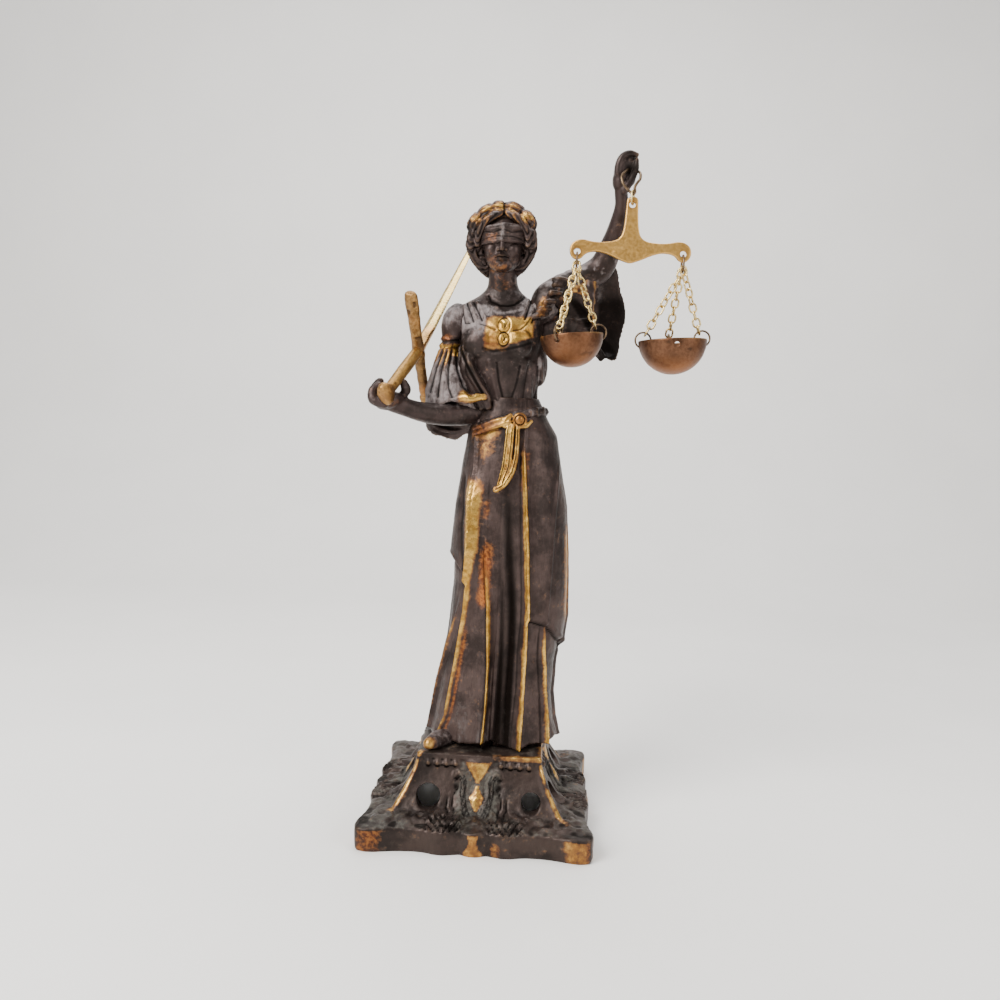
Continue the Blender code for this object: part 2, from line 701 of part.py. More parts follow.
def add_right_arm(shape):
    """Her right arm: capped shoulder, bell sleeve, forearm and the hand that holds the sword."""
    add_mass(shape, (-19.2, 0.2, 222.6), (6.6, 7.4, 9.8), (0, 10, 0))
    add_limb(shape, smooth_path([(-21, -1, 216, 4.6), (-20, 0, 200, 4.8), (-17, 0, 186, 5.2)]))
    add_mass(shape, (-12.0, 3.0, 201.0), (6.5, 7.0, 15.0), (0, 6, 0))
    add_mass(shape, (-11.6, -6.4, 198.0), (5.6, 5.2, 12.5), (0, 14, 0))
    bell(shape, (
        ((-21.4, -1.6, 215.0), (3.9, 0, 0), (0, -4.2, 0.4)),
        ((-21.6, -2.0, 208.0), (5.4, 0, 0.2), (0, -5.6, 0.8)),
        ((-21.6, -2.4, 200.0), (7.6, 0, 0.4), (0, -7.6, 2.0)),
        ((-21.0, -2.4, 191.5), (10.2, 0, 0.4), (0, -10.8, 5.2)),
        ((-20.0, -1.6, 182.4), (12.2, 0, 0.8), (0.8, -13.0, 8.0)),
        ((-19.4, -1.4, 180.0), (12.4, 0, 0.8), (1.0, -13.6, 8.8)),
    ), 1.9)
    corner = ((-16, -14.0, 189.6, 1.8), (-9, -14.6, 190.0, 1.8), (-3.6, -13.4, 190.8, 1.1))
    add_limb(shape, smooth_path(corner, 4), 10)
    forearm = ((-8, -3, 184.5, 5.2), (-16, -7, 183.2, 5.4), (-25, -11.5, 182.6, 4.9),
               (-33, -16.5, 183.6, 4.2), (-38.5, -20, 185.4, 4.0), (-43, -22.5, 187.2, 4.4))
    add_limb(shape, smooth_path(forearm, 5))
    add_mass(shape, (-44.6, -22.5, 187.6), (6.6, 7.0, 4.2), (0, -8, 0))
    for finger in range(4):
        ahead = finger * 4.0
        path = ((-45.5, -28.5 + ahead, 186.0 + 0.8 * finger, 2.2),
                (-50.0, -28.4 + ahead, 187.6 + 1.0 * finger, 2.3),
                (-50.6, -27.4 + ahead, 191.4 + 1.2 * finger, 2.2),
                (-48.6, -26.4 + ahead, 193.8 + 1.7 * finger, 1.9))
        add_limb(shape, smooth_path(path[: 4 if finger < 2 else 3], 4), 10)
    thumb = ((-40.0, -18.5, 188.0, 2.6), (-37.6, -20.5, 192.0, 2.4), (-38.4, -22.5, 195.4, 2.0))
    add_limb(shape, smooth_path(thumb, 4), 10)


def add_left_arm(shape):
    """Her left arm: ribbed shoulder, raised arm, wide hanging sleeve and the hand with its thumb."""
    add_mass(shape, (20.4, 2.0, 234.6), (6.4, 8.2, 9.6), (0, 22, 0))
    for rib in range(6):
        lean = math.radians(-70 + 28 * rib)
        start = (18.0 + 3.4 * math.cos(lean) + 5.0 * math.sin(lean),
                 -5.6 - 1.6 * math.cos(lean), 234.6 + 9.0 * math.sin(lean), 1.2)
        end = (25.4 + 4.4 * math.sin(lean), -5.4, 235.4 + 7.6 * math.sin(lean), 1.2)
        add_limb(shape, (start, end), 8)
    add_mass(shape, (27.0, 4.0, 222.5), (13.0, 6.5, 8.0), (0, -8, 0))
    add_mass(shape, (36.0, 4.6, 222.0), (8.0, 6.0, 5.0), (0, -6, 0))
    arm = ((16, 2, 233, 7.4), (26, 3.5, 238.0, 7.2), (36, 6.0, 244.0, 6.6), (44.4, 6.5, 250.6, 6.0),
           (48.6, 2.0, 260.0, 4.8), (50.8, -4.5, 268.5, 3.7), (51.5, -8.5, 275.0, 2.9),
           (50.8, -10.8, 281.0, 2.9), (50.2, -11.8, 287.0, 3.5), (51.2, -12.0, 291.4, 3.6),
           (53.6, -12.2, 294.0, 3.0), (56.4, -12.6, 294.6, 1.7))
    add_limb(shape, smooth_path(arm, 5))
    thumb = ((52.0, -12.6, 280.0, 2.0), (54.6, -14.6, 284.0, 1.7), (56.1, -15.4, 288.0, 1.5),
             (56.6, -15.4, 292.0, 0.9))
    add_limb(shape, smooth_path(thumb, 4), 10)
    bell(shape, (
        ((24.0, 3.4, 235.6), (-4.0, 0, 8.2), (0, -8.0, 0)),
        ((30.0, 5.0, 236.6), (-4.6, 0, 10.6), (0, -8.8, 0)),
        ((36.5, 6.8, 236.4), (-3.0, 0, 14.4), (1.0, -9.6, 0)),
        ((42.5, 8.4, 234.0), (-0.6, 0, 19.4), (-2.4, -10.2, 0)),
        ((46.8, 9.2, 232.0), (-0.2, 0, 21.4), (-5.4, -10.0, 0)),
        ((49.6, 9.6, 231.2), (-0.8, 0, 21.8), (-7.6, -9.4, 0)),
    ), 1.9)
    tail = ((44.0, 8.0, 214.5, 2.4), (46.4, 8.0, 211.6, 2.2), (46.6, 8.0, 210.2, 1.6))
    add_limb(shape, smooth_path(tail, 4), 10)
    for drop, reach in ((0.0, 9.5), (4.6, 8.6), (9.0, 7.4)):
        fold = ((40.0 - reach, 1.6, 227.5 - drop, 1.0), (38.0, -0.6, 226.4 - drop, 1.5),
                (42.6, 0.4, 228.0 - drop, 1.0))
        add_limb(shape, smooth_path(fold, 4), 8)


def build_figure(material, parent):
    shape = Shape()
    add_skirt(shape)
    add_trunk(shape)
    add_sash(shape)
    add_head(shape)
    add_right_arm(shape)
    add_left_arm(shape)
    mesh = fuse("figure", shape, FIGURE_CELL, FIGURE_FACES)
    piece = add_object("figure", mesh, material, parent)
    wide = FIGURE_HEIGHT
    sole = PLATFORM_TOP + GAP
    add_cut(piece, box_shape((-wide, -wide, sole - wide), (wide, wide, sole)).mesh("sole_cutter"))
    grip = Shape()
    add_grip(grip, GAP + 0.15 * MM)
    add_cut(piece, grip.mesh("grip_cutter"))
    wire = Shape()
    path = hanger_path()
    wire.add_tube(path, HANGER_WIRE / 2 + GAP, 8)
    add_cut(piece, wire.mesh("wire_cutter"))
    return piece


# Sword

POMMEL_POINT = (-44.4, -31.0, 190.3)
GUARD_POINT = (-34.6, -8.0, 210.3)
BLADE_WAY = (0.224, 0.66, 0.70)
GUARD_WAY = (-0.05, -0.62, 0.78)


def add_grip(shape, grown=0.0):
    """Pommel and grip, from behind the pommel up to the guard."""
    start, end = place(POMMEL_POINT), place(GUARD_POINT)
    way = (end - start).normalized()
    side = way.cross(Vector((0, 0, 1))).normalized()
    rise = side.cross(way)
    rings = []
    for along, wide, tall in (
        (-0.5 * POMMEL_LENGTH, 0.40, 0.62),
        (-0.42 * POMMEL_LENGTH, 0.56, 0.86),
        (0.0, 0.64, 1.0),
        (0.42 * POMMEL_LENGTH, 0.56, 0.86),
        (0.6 * POMMEL_LENGTH, 0.0, 0.0),
        ((end - start).length, 0.0, 0.0),
    ):
        half_wide = wide * POMMEL_SIZE / 2 if wide else GRIP_DIAMETER / 2
        half_tall = tall * POMMEL_SIZE / 2 if tall else GRIP_DIAMETER / 2
        reach = along + (grown if along > 0 else -grown)
        ring = []
        for step in range(12):
            around = 2 * math.pi * step / 12
            ring.append(
                start + way * reach
                + side * (half_wide + grown) * math.cos(around)
                + rise * (half_tall + grown) * math.sin(around)
            )
        rings.append(ring)
    shape.add_rings(rings)


def build_sword(material, parent):
    grip = Shape()
    add_grip(grip)
    piece = add_object("sword", grip.mesh("sword"), material, parent)
    middle = place(GUARD_POINT)
    way = Vector(BLADE_WAY).normalized()
    cross = Vector(GUARD_WAY).normalized()
    flat = way.cross(cross).normalized()
    guard = Shape()
    rings = []
    for share, wide in ((-0.5, 0.72), (-0.46, 0.9), (-0.3, 0.84), (-0.1, 0.9), (0.0, 1.1),
                        (0.1, 0.95), (0.28, 1.0), (0.44, 1.16), (0.5, 0.8)):
        half = wide * GUARD_WIDTH / 2
        ring = []
        for step in range(10):
            around = 2 * math.pi * step / 10
            ring.append(middle + cross * GUARD_LENGTH * share
                        + flat * half * math.cos(around)
                        + way * wide * GUARD_THICKNESS / 2 * math.sin(around))
        rings.append(ring)
    guard.add_rings(rings)
    add_cut(piece, guard.mesh("guard_union"), "UNION")
    blade = Shape()
    rings = []
    ricasso = RICASSO_LENGTH / BLADE_LENGTH
    for share in (0.0, ricasso, ricasso + 0.04, 0.94, 1.0):
        taper = 1.0 - share * (1.0 - BLADE_TIP_WIDTH / BLADE_WIDTH)
        half = (RICASSO_WIDTH if share <= ricasso else BLADE_WIDTH * taper) / 2
        thick = (RICASSO_THICKNESS if share <= ricasso else BLADE_THICKNESS * taper) / 2
        if share == 1.0:
            half *= 0.25
            thick *= 0.25
        center = middle + way * BLADE_LENGTH * share
        rings.append([
            center + flat * half, center + cross * thick,
            center - flat * half, center - cross * thick,
        ])
    blade.add_rings(rings)
    add_cut(piece, blade.mesh("blade_union"), "UNION")
    return piece


# Scales

THUMB_WIRE = (
    (54.8, -12.2, 288.8), (52.6, -16.0, 287.6), (50.4, -18.2, 284.6), (51.0, -19.0, 281.4),
    (53.0, -19.2, 279.0), (54.4, -19.6, 277.6), (55.2, -20.2, 276.9), (56.0, -20.6, 277.6),
    (55.8, -20.8, 279.4), (56.6, -20.4, 281.2), (58.0, -19.0, 283.4), (58.2, -17.0, 286.0),
    (57.6, -14.2, 287.6), (56.6, -12.0, 287.8),
)


def hanger_path():
    return [place(point) for point in smooth_path(THUMB_WIRE, 2)]


def hanger_low():
    """The middle of the wire at the lowest point of its eye."""
    return min(hanger_path(), key=lambda point: point.z)


LINK_WAY = Vector((0.34, 0.94, 0.0)).normalized()


def beam_place():
    """The middle of the beam's top hole: it hangs from the link, and the link from the wire."""
    top = hanger_low()
    link_top = top.z + HANGER_WIRE / 2 + GAP + LINK_WIRE / 2
    link_low = link_top - (LINK_LENGTH - LINK_WIRE)
    bend = (LINK_WIDTH - LINK_WIRE) / 2
    exit_way = BEAM_THICKNESS / 2 / LINK_WAY.y
    rise = bend - math.sqrt(bend ** 2 - exit_way ** 2)
    hole = link_low + rise + LINK_WIRE / 2 + GAP - BEAM_HOLE / 2 * math.cos(math.pi / 10)
    return Vector((top.x, top.y, hole)), link_low, link_top


def oval(center, half_long, half_wide, long_way, wide_way, steps):
    """A closed oval path: two straight sides and two round ends."""
    straight = max(0.0, half_long - half_wide)
    path = []
    for step in range(steps):
        around = 2 * math.pi * (step + 0.5) / steps
        shift = straight if math.cos(around) > 0 else -straight
        path.append(center + long_way * (shift + half_wide * math.cos(around))
                    + wide_way * half_wide * math.sin(around))
    return path


def build_hanger(material, parent):
    wire = Shape()
    wire.add_tube(hanger_path(), HANGER_WIRE / 2, 5)
    return add_object("hanger_wire", wire.mesh("hanger_wire"), material, parent)


def build_link(material, parent):
    hole, low, high = beam_place()
    center = Vector((hole.x, hole.y, 0.5 * (low + high)))
    link = Shape()
    path = oval(center, 0.5 * (high - low), 0.5 * (LINK_WIDTH - LINK_WIRE),
                Vector((0, 0, 1)), LINK_WAY, 14)
    link.add_tube(path, LINK_WIRE / 2, 6, closed=True)
    return add_object("beam_link", link.mesh("beam_link"), material, parent)


# Right half of the beam's outline, from the top of its shank round to the point below, as
# shares of half the span and of the drop
BEAM_OUTLINE = (
    (0.0, 0.165), (0.07, 0.155), (0.105, 0.10), (0.112, 0.0), (0.125, -0.25), (0.145, -0.50),
    (0.19, -0.66), (0.29, -0.75), (0.45, -0.785), (0.64, -0.79), (0.78, -0.77), (0.89, -0.745),
    (1.0, -0.76), (1.09, -0.82), (1.14, -0.92), (1.14, -1.04), (1.09, -1.13), (1.01, -1.17),
    (0.92, -1.14), (0.85, -1.06), (0.75, -1.01), (0.59, -1.0), (0.41, -1.05), (0.23, -1.14),
    (0.07, -1.205), (0.0, -1.22),
)


def build_beam(material, parent):
    hole, _, _ = beam_place()
    half = [(share * BEAM_SPAN / 2, drop * BEAM_DROP) for share, drop in BEAM_OUTLINE]
    outline = half + [(-across, height) for across, height in reversed(half[1:-1])]
    shape = Shape()
    rings = []
    for depth in (0.5, -0.5):
        rings.append([hole + Vector((across, depth * BEAM_THICKNESS, height))
                      for across, height in outline])
    shape.add_rings(rings)
    piece = add_object("balance_beam", shape.mesh("balance_beam"), material, parent)
    holes = Shape()
    for across, height in ((0.0, 0.0), (-BEAM_SPAN / 2, -BEAM_DROP), (BEAM_SPAN / 2, -BEAM_DROP)):
        center = hole + Vector((across, 0.0, height))
        rings = []
        for depth in (1.0, -1.0):
            rings.append([
                center + Vector((BEAM_HOLE / 2 * math.cos(2 * math.pi * step / 10),
                                 depth * BEAM_THICKNESS,
                                 BEAM_HOLE / 2 * math.sin(2 * math.pi * step / 10)))
                for step in range(10)
            ])
        holes.add_rings(rings)
    add_cut(piece, holes.mesh("beam_holes"))
    return piece


def end_hole(side):
    hole, _, _ = beam_place()
    return hole + Vector((side * BEAM_SPAN / 2, 0.0, -BEAM_DROP))


def end_ring(side):
    """The middle of the ring in the beam's end hole, and the radius of its wire's middle."""
    outer = LEFT_END_RING if side < 0 else RIGHT_END_RING
    radius = (outer - END_RING_WIRE) / 2
    rest = BEAM_HOLE / 2 - GAP - END_RING_WIRE / 2 - 0.2 * MM
    return end_hole(side) - Vector((0, 0, rest + radius)), radius


def build_end_ring(name, side, material, parent):
    center, radius = end_ring(side)
    ring = Shape()
    path = oval(center, radius, radius, Vector((0, 0, 1)), Vector((0, 1, 0)), 10)
    ring.add_tube(path, END_RING_WIRE / 2, 5, closed=True)
    return add_object(name, ring.mesh(name), material, parent)


class Pan:
    """One pan of the scales: its rim's middle, its tilt and the bearings of its three rings.

    Seats are the angles at which its chains sit side by side on the beam's ring, and swing is
    how far the stiff chains let it hang out of plumb.
    """

    def __init__(self, side, wide, deep, tilt, swing, bearings, seats, spare):
        self.side = side
        self.wide = wide
        self.deep = deep
        self.seats = [math.radians(seat) for seat in seats]
        self.tilt = Matrix.Rotation(-tilt, 3, "Y")
        self.bearings = [math.radians(bearing) for bearing in bearings]
        self.spare = spare
        center, radius = end_ring(side)
        self.hook_center = center
        self.hook_radius = radius
        ring = PAN_RING - PAN_RING_WIRE
        reach = wide / 2 - PAN_WALL / 2 - math.sin(PAN_RING_LEAN) * ring
        span = CHAIN_LINKS * CHAIN_PITCH - (END_RING_WIRE + PAN_RING_WIRE) / 2 - 2 * CHAIN_SLACK
        drop = math.sqrt(span ** 2 - reach ** 2)
        rise = math.cos(PAN_RING_LEAN) * ring - PAN_HOLE_DROP
        self.rim = center + Vector((swing, 0, -radius - drop - rise))

    def at(self, point):
        return self.rim + self.tilt @ Vector(point)

    def bowl_radius(self, depth, outer):
        """Radius of the bowl's skin at a depth below the rim."""
        wide = self.wide / 2 - (0.0 if outer else PAN_WALL)
        deep = self.deep - (0.0 if outer else PAN_WALL)
        return wide * math.sqrt(max(0.0, 1.0 - (depth / deep) ** 2))

    def hole(self, bearing):
        radius = 0.5 * (self.bowl_radius(PAN_HOLE_DROP, True)
                        + self.bowl_radius(PAN_HOLE_DROP, False))
        return Vector((radius * math.cos(bearing), radius * math.sin(bearing), -PAN_HOLE_DROP))

    def ring(self, bearing):
        """The middle of a rim ring and the way from the hole to its far side."""
        way = Vector((-math.sin(PAN_RING_LEAN) * math.cos(bearing),
                      -math.sin(PAN_RING_LEAN) * math.sin(bearing), math.cos(PAN_RING_LEAN)))
        radius = (PAN_RING - PAN_RING_WIRE) / 2
        return self.hole(bearing) + way * radius, way, radius

    def chain_ends(self, bearing):
        center, way, radius = self.ring(bearing)
        far = self.at(center + way * radius)
        lean = self.seats[self.bearings.index(bearing)]
        near = self.hook_center + Vector((
            0.0, self.hook_radius * math.sin(lean), -self.hook_radius * math.cos(lean)))
        near_wire = Vector((0.0, math.cos(lean), math.sin(lean)))
        out = Vector((math.cos(bearing), math.sin(bearing), 0.0))
        far_wire = self.tilt @ (out - way * out.dot(way)).normalized()
        return near, far, near_wire, far_wire


def build_pan(name, pan, material, parent):
    shape = Shape()
    rings = []
    steps = 5
    sides = 20
    for outer in (True, False):
        wide = pan.wide / 2 - (0.0 if outer else PAN_WALL)
        deep = pan.deep - (0.0 if outer else PAN_WALL)
        order = range(1, steps + 1) if outer else range(steps, 0, -1)
        for step in order:
            polar = math.pi / 2 * step / steps
            rings.append([
                pan.at((wide * math.sin(polar) * math.cos(2 * math.pi * side / sides),
                        wide * math.sin(polar) * math.sin(2 * math.pi * side / sides),
                        -deep * math.cos(polar)))
                for side in range(sides)
            ])
    shape.add_rings(rings)
    piece = add_object(name, shape.mesh(name), material, parent)
    holes = Shape()
    bearings = pan.bearings + ([math.radians(pan.spare)] if pan.spare is not None else [])
    for bearing in bearings:
        middle = pan.hole(bearing)
        out = Vector((math.cos(bearing), math.sin(bearing), 0.0))
        across = Vector((-math.sin(bearing), math.cos(bearing), 0.0))
        rings = []
        for reach in (-2.0 * PAN_WALL, 2.0 * PAN_WALL):
            ring = []
            for step in range(6):
                around = 2 * math.pi * (step + 0.5) / 6
                ring.append(pan.at(middle + out * reach
                                   + across * PAN_HOLE / 2 * math.cos(around)
                                   + Vector((0, 0, PAN_HOLE / 2 * math.sin(around)))))
            rings.append(ring)
        holes.add_rings(rings)
    add_cut(piece, holes.mesh(name + "_holes"))
    return piece


def build_pan_ring(name, pan, bearing, material, parent):
    center, way, radius = pan.ring(bearing)
    out = Vector((math.cos(bearing), math.sin(bearing), 0.0))
    across = (out - way * out.dot(way)).normalized()
    path = [pan.at(point) for point in oval(center, radius, radius, way, across, 10)]
    ring = Shape()
    ring.add_tube(path, PAN_RING_WIRE / 2, 5, closed=True)
    return add_object(name, ring.mesh(name), material, parent)


def build_chain(name, pan, bearing, material, parent):
    """Links from the beam's ring to a ring of the pan, each about a quarter turn from the last."""
    near, far, near_wire, far_wire = pan.chain_ends(bearing)
    span = far - near
    way = span.normalized()
    slack = 2 * CHAIN_SLACK
    pitch = (span.length + END_RING_WIRE / 2 + PAN_RING_WIRE / 2 + slack) / CHAIN_LINKS
    side = way.cross(Vector((0, 1, 0))).normalized()
    other = way.cross(side)
    start = near - way * (END_RING_WIRE / 2 + CHAIN_SLACK + CHAIN_WIRE / 2)
    first, last = (
        math.atan2(way.cross(wire).dot(other), way.cross(wire).dot(side))
        for wire in (near_wire, far_wire)
    )
    turns = CHAIN_LINKS - 1
    spare = (last - first - turns * math.pi / 2 + math.pi / 2) % math.pi - math.pi / 2
    links = Shape()
    for index in range(CHAIN_LINKS):
        middle = start + way * (pitch * (index + 0.5) + CHAIN_WIRE / 2)
        twist = first + index * (math.pi / 2 + spare / turns)
        across = side * math.cos(twist) + other * math.sin(twist)
        path = oval(middle, 0.5 * (pitch + CHAIN_WIRE - CHAIN_BITE),
                    0.5 * (CHAIN_WIDTH - CHAIN_WIRE), way, across, 12)
        links.add_tube(path, CHAIN_WIRE / 2, 6, closed=True)
    return add_object(name, fuse(name, links, CHAIN_CELL, CHAIN_FACES), material, parent)


def main():
    clear_scene()
    statue = bpy.data.objects.new("statue", None)
    bpy.context.scene.collection.objects.link(statue)
    patina = metal("dark_patina", (0.09, 0.062, 0.05), 0.42, 0.85)
    foot = metal("foot_patina", (0.10, 0.075, 0.058), 0.5, 0.8)
    brass = metal("satin_brass", (0.55, 0.40, 0.16), 0.36, 1.0)
    pale = metal("pale_gold", (0.80, 0.68, 0.36), 0.25, 1.0)
    copper = metal("pan_copper", (0.33, 0.18, 0.10), 0.42, 0.9)
    wire = metal("dark_wire", (0.16, 0.12, 0.085), 0.38, 0.95)

    build_base(foot, statue)
    build_figure(patina, statue)
    build_sword(brass, statue)
    build_hanger(wire, statue)
    build_link(pale, statue)
    build_beam(brass, statue)
    pans = (
        ("left", Pan(-1, LEFT_PAN_DIAMETER, LEFT_PAN_DEPTH, LEFT_PAN_TILT, LEFT_PAN_SWING,
                     (0.0, 120.0, 240.0), (0.0, 42.0, -42.0), None)),
        ("right", Pan(1, RIGHT_PAN_DIAMETER, RIGHT_PAN_DEPTH, RIGHT_PAN_TILT, RIGHT_PAN_SWING,
                      (0.0, 90.0, 180.0), (-42.0, 42.0, 0.0), -90.0)),
    )
    for side, pan in pans:
        build_end_ring("beam_ring_" + side, pan.side, wire, statue)
        build_pan("pan_" + side, pan, copper, statue)
        for number, bearing in enumerate(pan.bearings, 1):
            build_pan_ring(f"pan_ring_{side}_{number}", pan, bearing, wire, statue)
            build_chain(f"chain_{side}_{number}", pan, bearing, pale, statue)
    center_origin(statue)


def center_origin(statue):
    """Moves everything so that the origin is the middle of the object's box, on the floor."""
    bpy.context.view_layer.update()
    graph = bpy.context.evaluated_depsgraph_get()
    low = Vector((math.inf, math.inf))
    high = Vector((-math.inf, -math.inf))
    for piece in statue.children:
        if piece.hide_render:
            continue
        shown = piece.evaluated_get(graph)
        for corner in shown.bound_box:
            for axis in range(2):
                low[axis] = min(low[axis], corner[axis])
                high[axis] = max(high[axis], corner[axis])
    middle = (low + high) / 2
    statue.location = (-middle.x, -middle.y, 0.0)


main()
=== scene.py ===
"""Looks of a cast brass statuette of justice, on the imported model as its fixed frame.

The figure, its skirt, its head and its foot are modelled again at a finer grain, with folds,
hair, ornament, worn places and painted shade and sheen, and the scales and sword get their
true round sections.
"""

import math

import bmesh
import bpy
import numpy as np
from mathutils import Matrix, Vector


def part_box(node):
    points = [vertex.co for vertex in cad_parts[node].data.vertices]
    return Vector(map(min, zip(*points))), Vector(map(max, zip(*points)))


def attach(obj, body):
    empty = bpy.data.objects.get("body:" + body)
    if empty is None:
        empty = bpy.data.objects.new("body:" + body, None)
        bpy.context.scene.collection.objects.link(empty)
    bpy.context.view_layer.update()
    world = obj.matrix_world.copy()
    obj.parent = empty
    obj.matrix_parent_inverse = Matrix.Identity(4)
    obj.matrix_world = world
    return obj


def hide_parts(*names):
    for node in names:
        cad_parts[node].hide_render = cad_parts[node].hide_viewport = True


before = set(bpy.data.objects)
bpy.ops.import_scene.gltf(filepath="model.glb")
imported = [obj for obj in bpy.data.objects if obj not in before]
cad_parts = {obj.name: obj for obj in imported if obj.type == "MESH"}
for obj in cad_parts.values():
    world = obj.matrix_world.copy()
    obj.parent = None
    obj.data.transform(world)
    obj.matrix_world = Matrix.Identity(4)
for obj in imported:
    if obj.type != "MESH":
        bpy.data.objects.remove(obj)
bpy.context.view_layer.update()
BASE_LOW, BASE_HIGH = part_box("base")
SHIFT = Vector((
    (BASE_LOW[0] + BASE_HIGH[0]) / 2,
    (BASE_LOW[1] + BASE_HIGH[1]) / 2,
    0.0,
))

# Sizes of the object

MM = 0.001
# Clearance between a wire and what it hangs in
GAP = 0.3 * MM

# Foot
BASE_WIDTH = 100.5 * MM
BASE_DEPTH = 104.0 * MM
PLATE_HEIGHT = 10.5 * MM
SCALLOP_DEPTH = 2.6 * MM
BLOCK_FOOT = 73.0 * MM
BLOCK_NECK = 54.0 * MM
PLATFORM_SIDE = 55.0 * MM
PLATFORM_TOP = 34.7 * MM
PLATFORM_LIP = 2.6 * MM
CAST_WALL = 3.0 * MM
LEFT_HOLE = 10.5 * MM
RIGHT_HOLE = 8.5 * MM

# Figure: its height above the platform, its height and its platform in the pose's own
# millimetres, and one of those millimetres in metres
FIGURE_HEIGHT = 262.0 * MM
POSE_HEIGHT = 262.0
POSE_PLATFORM = 35.0
UNIT = FIGURE_HEIGHT / POSE_HEIGHT

# Sword
GRIP_DIAMETER = 5.4 * MM
POMMEL_SIZE = 10.5 * MM
POMMEL_LENGTH = 5.0 * MM
GUARD_LENGTH = 58.0 * MM
GUARD_WIDTH = 5.6 * MM
GUARD_THICKNESS = 3.6 * MM
BLADE_LENGTH = 88.0 * MM
BLADE_WIDTH = 6.2 * MM
BLADE_THICKNESS = 2.4 * MM
BLADE_TIP_WIDTH = 2.5 * MM
RICASSO_LENGTH = 12.0 * MM
RICASSO_WIDTH = 4.8 * MM
RICASSO_THICKNESS = 3.2 * MM

# Hanger wire, link, beam and the rings at the beam's ends
HANGER_WIRE = 1.1 * MM
LINK_WIRE = 0.9 * MM
LINK_LENGTH = 6.4 * MM
LINK_WIDTH = 4.8 * MM
BEAM_SPAN = 44.2 * MM
BEAM_DROP = 19.6 * MM
BEAM_THICKNESS = 2.0 * MM
BEAM_HOLE = 2.8 * MM
END_RING_WIRE = 0.9 * MM
LEFT_END_RING = 6.6 * MM
RIGHT_END_RING = 7.8 * MM

# Chains
CHAIN_LINKS = 9
CHAIN_WIRE = 0.85 * MM
CHAIN_PITCH = 3.25 * MM
CHAIN_WIDTH = 3.7 * MM
CHAIN_BITE = 0.2 * MM
CHAIN_SLACK = 0.5 * MM

# Pans and the rings in their rims
LEFT_PAN_DIAMETER = 26.8 * MM
LEFT_PAN_DEPTH = 13.7 * MM
RIGHT_PAN_DIAMETER = 28.7 * MM
RIGHT_PAN_DEPTH = 14.4 * MM
PAN_WALL = 0.8 * MM
PAN_RING_WIRE = 0.9 * MM
PAN_RING = 7.4 * MM
PAN_HOLE = 2.2 * MM
PAN_HOLE_DROP = 2.6 * MM
PAN_RING_LEAN = math.radians(25.0)
LEFT_PAN_TILT = math.radians(5.5)
RIGHT_PAN_TILT = math.radians(3.5)
LEFT_PAN_SWING = -0.8 * MM
RIGHT_PAN_SWING = -2.5 * MM

# Points along each side of the noise's lattice
LATTICE = 32
# Points along each side of the foot's rings
SIDE_STEPS = 28
# How the block's flare bends between the plate and the lip
FLARE = 1.45
# Rise of the skirt's inner rim and the shoe over the platform, in the pose's millimetres
FLOOR_GAP = 0.35
# Angles left out at the bottom of a bowl and below its rim
BOWL_PIT = 0.03
BOWL_RIM = 0.02


# Shapes

def circle(count):
    """Equal steps round a full turn."""
    return np.linspace(0.0, 2 * math.pi, count, endpoint=False)


def ellipse(middle, across, up, count):
    """A ring of points round a middle, through the ends of two vectors."""
    return [middle + across * math.cos(around) + up * math.sin(around) for around in circle(count)]


def quarter(turn):
    """A number of quarter turns about the vertical axis."""
    return Matrix.Rotation(math.pi / 2 * turn, 3, "Z")


def toward(bearing):
    return Vector((math.cos(bearing), math.sin(bearing), 0.0))


def mesh_from(name, points, faces):
    mesh = bpy.data.meshes.new(name)
    mesh.from_pydata([tuple(point) for point in points], [], faces)
    mesh.update()
    return mesh


class Shape:
    """Points and faces of one or more closed shells, gathered before they are fused."""

    def __init__(self):
        self.points = []
        self.faces = []

    def add_rings(self, rings, closed=False):
        """Skins a row of rings with equal numbers of points, and caps its two ends."""
        start = len(self.points)
        count = len(rings[0])
        for ring in rings:
            self.points.extend(Vector(point) for point in ring)
        rows = len(rings) if closed else len(rings) - 1
        for row in range(rows):
            low = start + row * count
            high = start + (row + 1) % len(rings) * count
            for side in range(count):
                after = (side + 1) % count
                self.faces.append((low + side, low + after, high + after, high + side))
        if not closed:
            top = start + (len(rings) - 1) * count
            self.faces.append(tuple(range(start + count - 1, start - 1, -1)))
            self.faces.append(tuple(range(top, top + count)))

    def add_tube(self, path, radii, sides=16, flat=1.0, closed=False):
        """A round tube along a path, with its own radius at each point; flat thins it."""
        self.add_rings(tube_rings(path, radii, sides, flat, closed), closed)

    def add_blob(self, center, radii, turn=(0.0, 0.0, 0.0), sides=20):
        """An ellipsoid, turned by three angles in degrees."""
        spin = Matrix.Identity(3)
        for axis, angle in zip("XYZ", turn):
            spin = Matrix.Rotation(math.radians(angle), 3, axis) @ spin
        rings = []
        for row in range(1, sides // 2):
            polar = math.pi * row / (sides // 2)
            ring = []
            for side in range(sides):
                around = 2 * math.pi * side / sides
                point = Vector((
                    radii[0] * math.sin(polar) * math.cos(around),
                    radii[1] * math.sin(polar) * math.sin(around),
                    -radii[2] * math.cos(polar),
                ))
                ring.append(Vector(center) + spin @ point)
            rings.append(ring)
        self.add_rings(rings)

    def mesh(self, name):
        mesh = mesh_from(name, self.points, self.faces)
        work = bmesh.new()
        work.from_mesh(mesh)
        bmesh.ops.recalc_face_normals(work, faces=work.faces)
        work.to_mesh(mesh)
        work.free()
        return mesh


